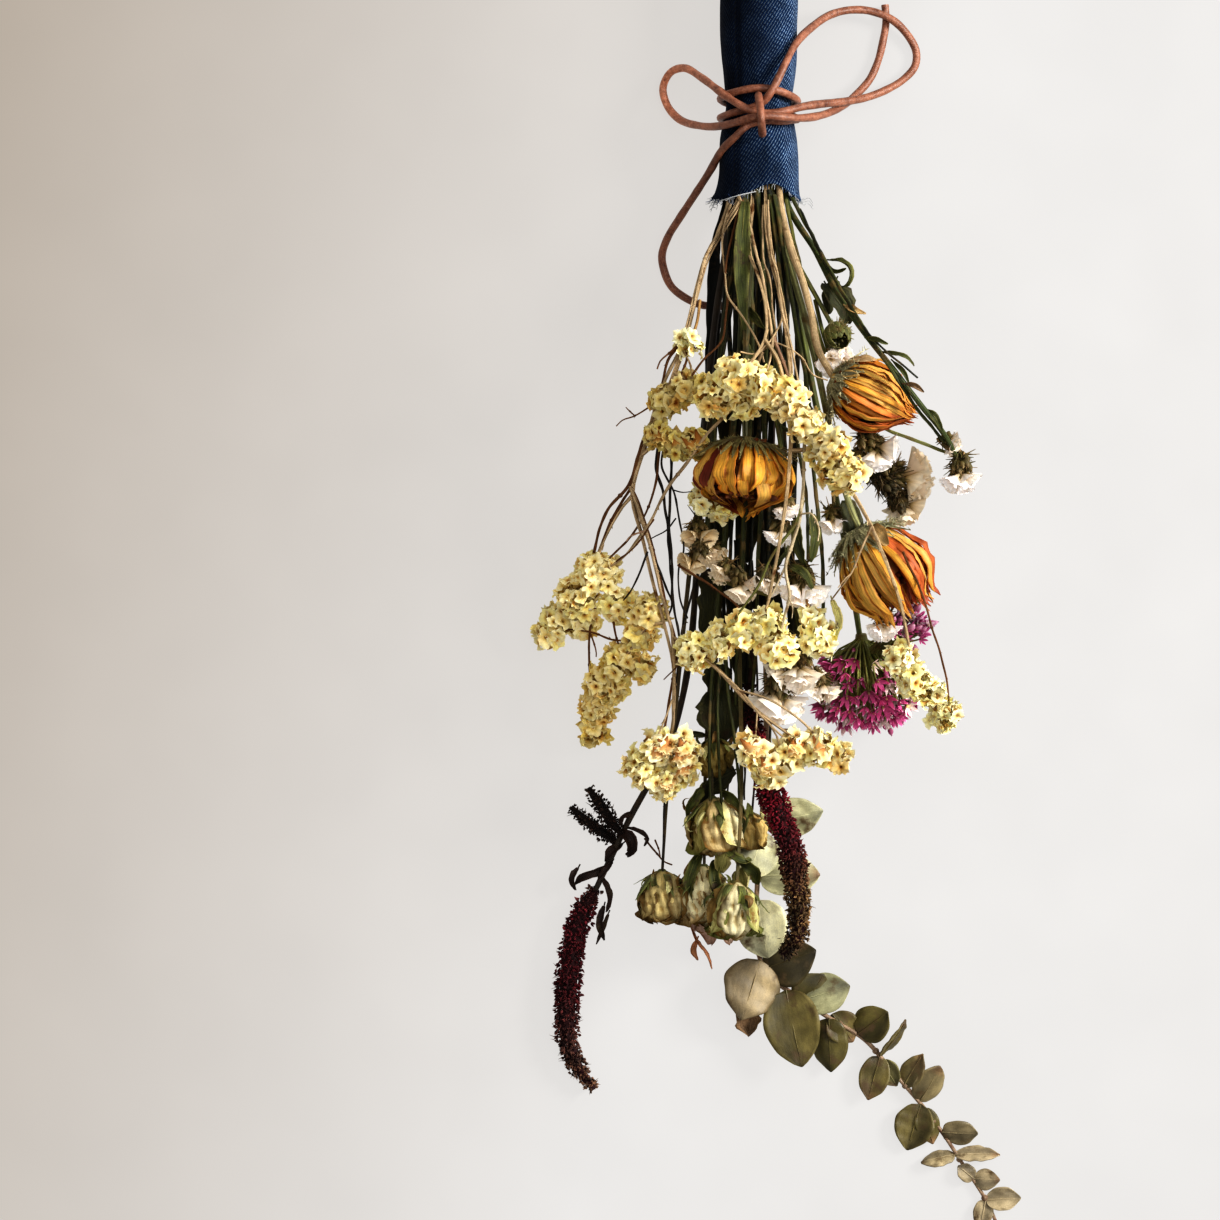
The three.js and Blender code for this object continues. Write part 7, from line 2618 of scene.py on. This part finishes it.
# Leaves and petals: tone, half width, cup, roll in degrees, route
SCRAPS = [
    ["dark", 5.0, 0.9, 20, [[826, 284, 50], [834, 296, 54], [842, 308, 53], [846, 324, 48]]],
    ["dark", 3.6, -0.9, -30, [[836, 280, 48], [828, 298, 50], [830, 314, 46]]],
    ["green", 1.6, 0.8, 60, [
        [830, 260, 49], [842, 262, 55], [850, 270, 58], [848, 282, 56], [842, 288, 52],
    ]],
    ["green", 1.2, 0.8, -40, [[822, 258, 48], [834, 270, 52], [846, 268, 56]]],
    ["tan", 1.5, 0.8, 20, [[846, 306, 68], [855, 311, 73], [866, 314, 74]]],
    ["green", 1.1, 0.8, -30, [[868, 338, 84], [878, 339, 88], [888, 344, 88]]],
    ["bark", 1.0, 0.8, 10, [[906, 384, 86], [915, 386, 89], [924, 392, 88]]],
    ["green", 1.0, 0.6, 20, [[884, 352, 82], [896, 354, 86], [906, 357, 88], [914, 366, 86]]],
    ["green", 0.9, 0.6, -20, [[894, 362, 82], [904, 372, 85], [909, 384, 83]]],
    ["green", 1.4, 0.5, 0, [[926, 410, 76], [934, 416, 78], [942, 430, 74]]],
    ["green", 1.9, 0.5, -25, [[747, 308, 50], [755, 317, 54], [764, 328, 56]]],
    ["green", 2.2, 0.6, 30, [[744, 340, 48], [752, 366, 50], [758, 384, 48]]],
    ["dark", 5.6, 0.3, 10, [[722, 372, 30], [725, 400, 32], [728, 425, 31], [727, 450, 28]]],
    ["dark", 5.0, 0.3, -10, [[752, 380, 30], [754, 405, 32], [752, 432, 30], [748, 455, 28]]],
    ["dark", 5.2, 0.3, 8, [[716, 476, 26], [720, 505, 29], [719, 535, 29], [714, 560, 26]]],
    ["dark", 5.6, 0.3, -8, [[746, 470, 28], [750, 500, 31], [748, 535, 31], [744, 562, 28]]],
    ["dark", 5.0, 0.3, 12, [[774, 490, 30], [778, 520, 33], [776, 550, 33], [770, 575, 30]]],
    ["dark", 4.6, 0.3, -12, [[706, 570, 26], [710, 595, 29], [708, 620, 29], [704, 640, 26]]],
    ["dark", 5.0, 0.3, 6, [[800, 560, 34], [804, 585, 37], [801, 610, 37], [795, 634, 34]]],
    ["green", 3.4, 0.5, 8, [[745, 202, 41], [742, 240, 48], [741, 285, 53], [744, 330, 56]]],
    ["dark", 5.4, 0.3, 14, [[738, 560, 27], [741, 590, 30], [739, 620, 30], [735, 645, 28]]],
    ["dark", 5.0, 0.3, -14, [[770, 580, 30], [772, 610, 32], [770, 640, 30], [766, 664, 28]]],
    ["dark", 6.2, 0.3, 12, [[713, 664, 34], [716, 674, 35], [718, 684, 35], [721, 694, 33]]],
    ["dark", 9.2, 0.25, -6, [[716, 690, 34], [720, 706, 36], [722, 724, 35], [722, 742, 32]]],
    ["dark", 2.2, 0.7, 22, [[737, 690, 36], [743, 701, 38], [744, 712, 37], [741, 724, 35]]],
    ["dark", 4.6, 0.4, 30, [[735, 770, 32], [722, 777, 33], [709, 787, 32], [699, 804, 29]]],
    ["dark", 2.2, 0.7, -20, [[737, 744, 35], [744, 753, 37], [750, 764, 34]]],
    ["dark", 1.5, 0.8, 30, [[705, 735, 36], [695, 733, 38], [684, 733, 36]]],
    ["dark", 4.6, 0.4, 20, [[736, 648, 36], [740, 664, 37], [746, 684, 35]]],
    ["green", 2.6, 0.8, 40, [[704, 784, 36], [696, 794, 40], [688, 806, 38], [686, 816, 36]]],
    ["green", 2.4, 0.8, -40, [[720, 790, 36], [732, 796, 42], [742, 806, 42], [746, 818, 38]]],
    ["green", 2.6, 0.7, 20, [[700, 852, 30], [692, 868, 34], [688, 884, 32], [694, 896, 30]]],
    ["green", 2.8, 0.7, -30, [[740, 858, 38], [748, 866, 42], [756, 872, 40], [757, 884, 36]]],
    ["green", 2.2, 0.8, 35, [[722, 846, 38], [734, 858, 44], [744, 862, 44], [752, 860, 42]]],
    ["green", 2.6, 0.7, 0, [[716, 860, 34], [714, 876, 38], [718, 890, 37], [724, 898, 34]]],
    ["green", 2.4, 0.8, -50, [[696, 872, 28], [690, 890, 30], [694, 906, 28]]],
    ["olive", 4.2, 0.7, 15, [[726, 842, 34], [722, 856, 37], [720, 872, 36]]],
    ["olive", 4.0, 0.8, -25, [[738, 870, 36], [742, 884, 40], [738, 900, 40]]],
    ["pink", 5.0, 0.6, 10, [[694, 896, 18], [697, 914, 19], [696, 930, 15]]],
    ["pink", 4.4, 0.7, -25, [[708, 908, 17], [710, 926, 17], [712, 944, 13]]],
    ["pink", 4.0, 0.5, 15, [[722, 918, 16], [728, 932, 15], [730, 944, 12]]],
    ["rust", 1.3, 0.5, 60, [[692, 930, 15], [697, 942, 16], [705, 952, 14], [712, 969, 11]]],
    ["rust", 1.2, 0.5, -25, [[697, 940, 15], [694, 950, 14], [698, 960, 12]]],
    ["bark", 5.4, 0.25, 10, [[746, 1000, 9], [747, 1018, 8], [750, 1036, 6]]],
    ["umber", 1.8, 0.9, 30, [[606, 866, 10], [594, 872, 12], [582, 876, 11], [575, 884, 8]]],
    ["umber", 1.5, 0.9, -30, [[578, 868, 9], [573, 878, 10], [576, 890, 8]]],
    ["umber", 1.6, 0.9, -40, [[612, 862, 11], [606, 872, 14], [598, 882, 13]]],
    ["umber", 1.6, 0.9, 50, [[602, 878, 9], [608, 896, 12], [606, 912, 10]]],
    ["umber", 1.5, 0.9, -20, [[604, 906, 9], [600, 924, 10], [604, 940, 7]]],
    ["umber", 1.1, 0.9, 30, [[608, 914, 8], [600, 932, 9], [596, 944, 6]]],
    ["umber", 2.2, 0.9, 10, [[620, 832, 12], [630, 838, 16], [632, 850, 14], [627, 856, 11]]],
    ["umber", 1.2, 0.9, 60, [[628, 828, 13], [638, 832, 16], [646, 838, 15], [644, 846, 13]]],
    ["umber", 1.9, 0.8, -30, [[622, 844, 10], [612, 852, 13], [606, 862, 12]]],
    ["umber", 1.4, 0.8, 40, [[632, 812, 14], [622, 816, 17], [618, 826, 16]]],
    ["green", 2.2, 0.7, 30, [[790, 566, 60], [802, 574, 64], [812, 590, 62]]],
    ["green", 2.6, 0.6, -30, [[796, 520, 62], [800, 546, 64], [806, 566, 62]]],
    ["green", 2.4, 0.6, 20, [[812, 514, 60], [814, 540, 63], [810, 562, 62]]],
    ["dark", 4.2, 0.5, 10, [[846, 500, 52], [852, 524, 54], [848, 552, 52]]],
    ["green", 3.2, 0.5, -10, [[806, 596, 56], [810, 626, 58], [806, 654, 55]]],
    ["olive", 1.8, 0.6, 30, [[832, 600, 64], [838, 622, 66], [834, 640, 63]]],
    ["tan", 3.4, 0.6, -10, [[872, 528, 70], [880, 534, 74], [888, 545, 75]]],
]
SCRAP_TINTS = {
    "dark": (rgb(62, 64, 36), rgb(84, 82, 50), rgb(96, 92, 58)),
    "green": (rgb(74, 80, 34), rgb(122, 118, 62), rgb(96, 94, 50)),
    "olive": (rgb(150, 144, 84), rgb(190, 176, 120), rgb(130, 112, 66)),
    "pink": (rgb(204, 176, 158), rgb(170, 130, 108), rgb(214, 190, 172)),
    "rust": (rgb(190, 138, 104), rgb(140, 86, 54), rgb(200, 152, 120)),
    "umber": (rgb(44, 28, 22), rgb(66, 42, 30), rgb(58, 38, 28)),
    "tan": (rgb(206, 176, 126), rgb(166, 130, 84), rgb(190, 160, 112)),
    "bark": (rgb(124, 98, 70), rgb(150, 120, 86), rgb(128, 104, 74)),
}


def add_scraps():
    rng = np.random.default_rng(95)
    span = np.linspace(0, 1, 13)
    pieces = {}
    for number, (tone, half, cup, roll, route) in enumerate(SCRAPS):
        leafy = tone in ("dark", "green", "olive", "umber", "bark")
        piece = pieces.setdefault("dried_leaves" if leafy else "fallen_petals", Piece())
        line = route_line(route, count=len(span))
        turn = np.radians(roll + rng.uniform(-35, 35) * span**2)[:, None]
        across, face = turned(*level_frame(frames_along(line)[2]), turn)
        halves = half * np.clip(np.sin(PI * (0.06 + 0.9 * span) ** 0.85), 0.05, 1) ** 0.7
        halves = halves * (1 + 0.1 * ripple(line, 3.5, 700 + number))
        tint, rim, under = SCRAP_TINTS[tone]
        shade = tint * (1 + 0.22 * ripple(line, 6, 800 + number))[:, None]
        lowest = line[:, 2] - halves * np.abs(across[:, 2]) - 0.3
        line[:, 2] += np.maximum(0, 0.4 - lowest.min())
        blade(
            piece, line, across, halves, face, cup * (0.6 + 0.5 * span), 7, shade, edge=rim,
            thick=0.26, wave=0.16 * half, wave_size=max(2.5, half), seed=900 + number, under=under,
        )
        rib = line - 0.05 * face
        tube(piece, rib[:-1], np.linspace(0.3, 0.1, 12), rim * 1.1, 5)
        stalk = np.vstack([line[0] + unit(line[0] - line[1]) * 1.8, line[0]])
        tube(piece, stalk, 0.32, tint, 5)
    pieces["dried_leaves"].build("dried_leaves", "dark_leaf", [DARK_LEAF])
    pieces["fallen_petals"].build("fallen_petals", "cream_petal", [CREAM])


def scaly_bud(piece, place, way, size, tint, rim, rng):
    """A closed bud of overlapping scales."""
    scales = 26
    way = unit(np.array(way, float))
    helper = unit(np.cross(way, [0.2, 0.3, 1]))
    other = np.cross(way, helper)
    span = np.linspace(0, 1, 9)
    for k in range(scales):
        level = k / scales
        outward, around = turned(helper, other, 2.4 * k)
        arc = (-1.3 + 1.5 * level) + span * (1.5 - 0.6 * level)
        grow = size * (1.04 - 0.16 * level)
        spine = place + grow * (np.cos(arc)[:, None] * outward + 1.15 * np.sin(arc)[:, None] * way)
        face = turned(outward, way, arc[:, None])[0]
        halves = size * 0.42 * np.interp(span, [0, 0.45, 0.8, 1], [0.8, 1, 0.6, 0.06])
        shade = tint * rng.uniform(0.75, 1.2)
        blade(piece, spine, around, halves, face, -0.25, 5, shade, edge=rim, thick=0.2)


def add_buds():
    rng = np.random.default_rng(97)
    piece = Piece()
    green, rim = rgb(104, 108, 58), rgb(140, 134, 84)
    scaly_bud(piece, seen([838, 336, 60]), [0.3, -0.5, 0.6], 5.4, green, rim, rng)
    hairs = unit(rng.normal(size=(60, 3)) + [0.2, 0.8, 0.2])
    start = seen([838, 334, 60]) + 4.6 * hairs
    sticks(piece, start, start + hairs * rng.uniform(1, 2.6, (60, 1)), 0.3, 0.05, rgb(150, 142, 98))
    stalk = route_line([[800, 268, 48], [818, 300, 54], [830, 322, 58]], 2)
    tube(piece, stalk, 0.9, rgb(104, 106, 58), 9, flutes=3, depth=0.12)
    piece.build("green_bud", "green_stem", [GREEN])


# Light and floor


def add_stage():
    mesh = bpy.data.meshes.new("surface")
    corners = [(x, y, -0.0003) for x, y in ((-3, -3), (3, -3), (3, 3), (-3, 3))]
    mesh.from_pydata(corners, [], [(0, 1, 2, 3)])
    mesh.uv_layers.new(name="grain")
    mesh.materials.append(floor_finish())
    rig.stage(linked("surface", mesh))


def add_light(name, place, size, power, tint):
    data = bpy.data.lights.new(name, "AREA")
    data.shape = "DISK"
    data.size = size
    data.energy = power
    data.color = tint
    light = linked(name, data)
    light.location = place
    light.rotation_euler = (-Vector(place)).to_track_quat("-Z", "Y").to_euler()


def add_lights():
    add_light("key", (1.3, 0.42, 0.95), 0.55, 23.0, (1.0, 0.985, 0.96))
    add_light("above", (0.6, 0.35, 2.0), 1.7, 11.5, (1.0, 0.998, 0.995))
    world = bpy.data.worlds.new("soft light")
    world.use_nodes = True
    background = world.node_tree.nodes["Background"].inputs
    background["Color"].default_value = (1.0, 0.98, 0.95, 1)
    background["Strength"].default_value = 0.3
    scene = bpy.context.scene
    scene.world = world
    scene.view_settings.view_transform = "Standard"
    scene.view_settings.look = "High Contrast"


add_camera()
add_cord()
add_denim()
add_stems()
add_strap_leaf()
add_eucalyptus_leaves()
add_blooms()
add_brushes()
add_strap_flowers()
add_allium()
add_roses()
add_spikes()
add_fillers()
add_scraps()
add_buds()
add_stage()
add_lights()

size = {"cad": cad_box, "visual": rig.bounds()}
with open("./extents.json", "w") as report:
    json.dump(size, report, default=lambda value: [float(v) for v in value])
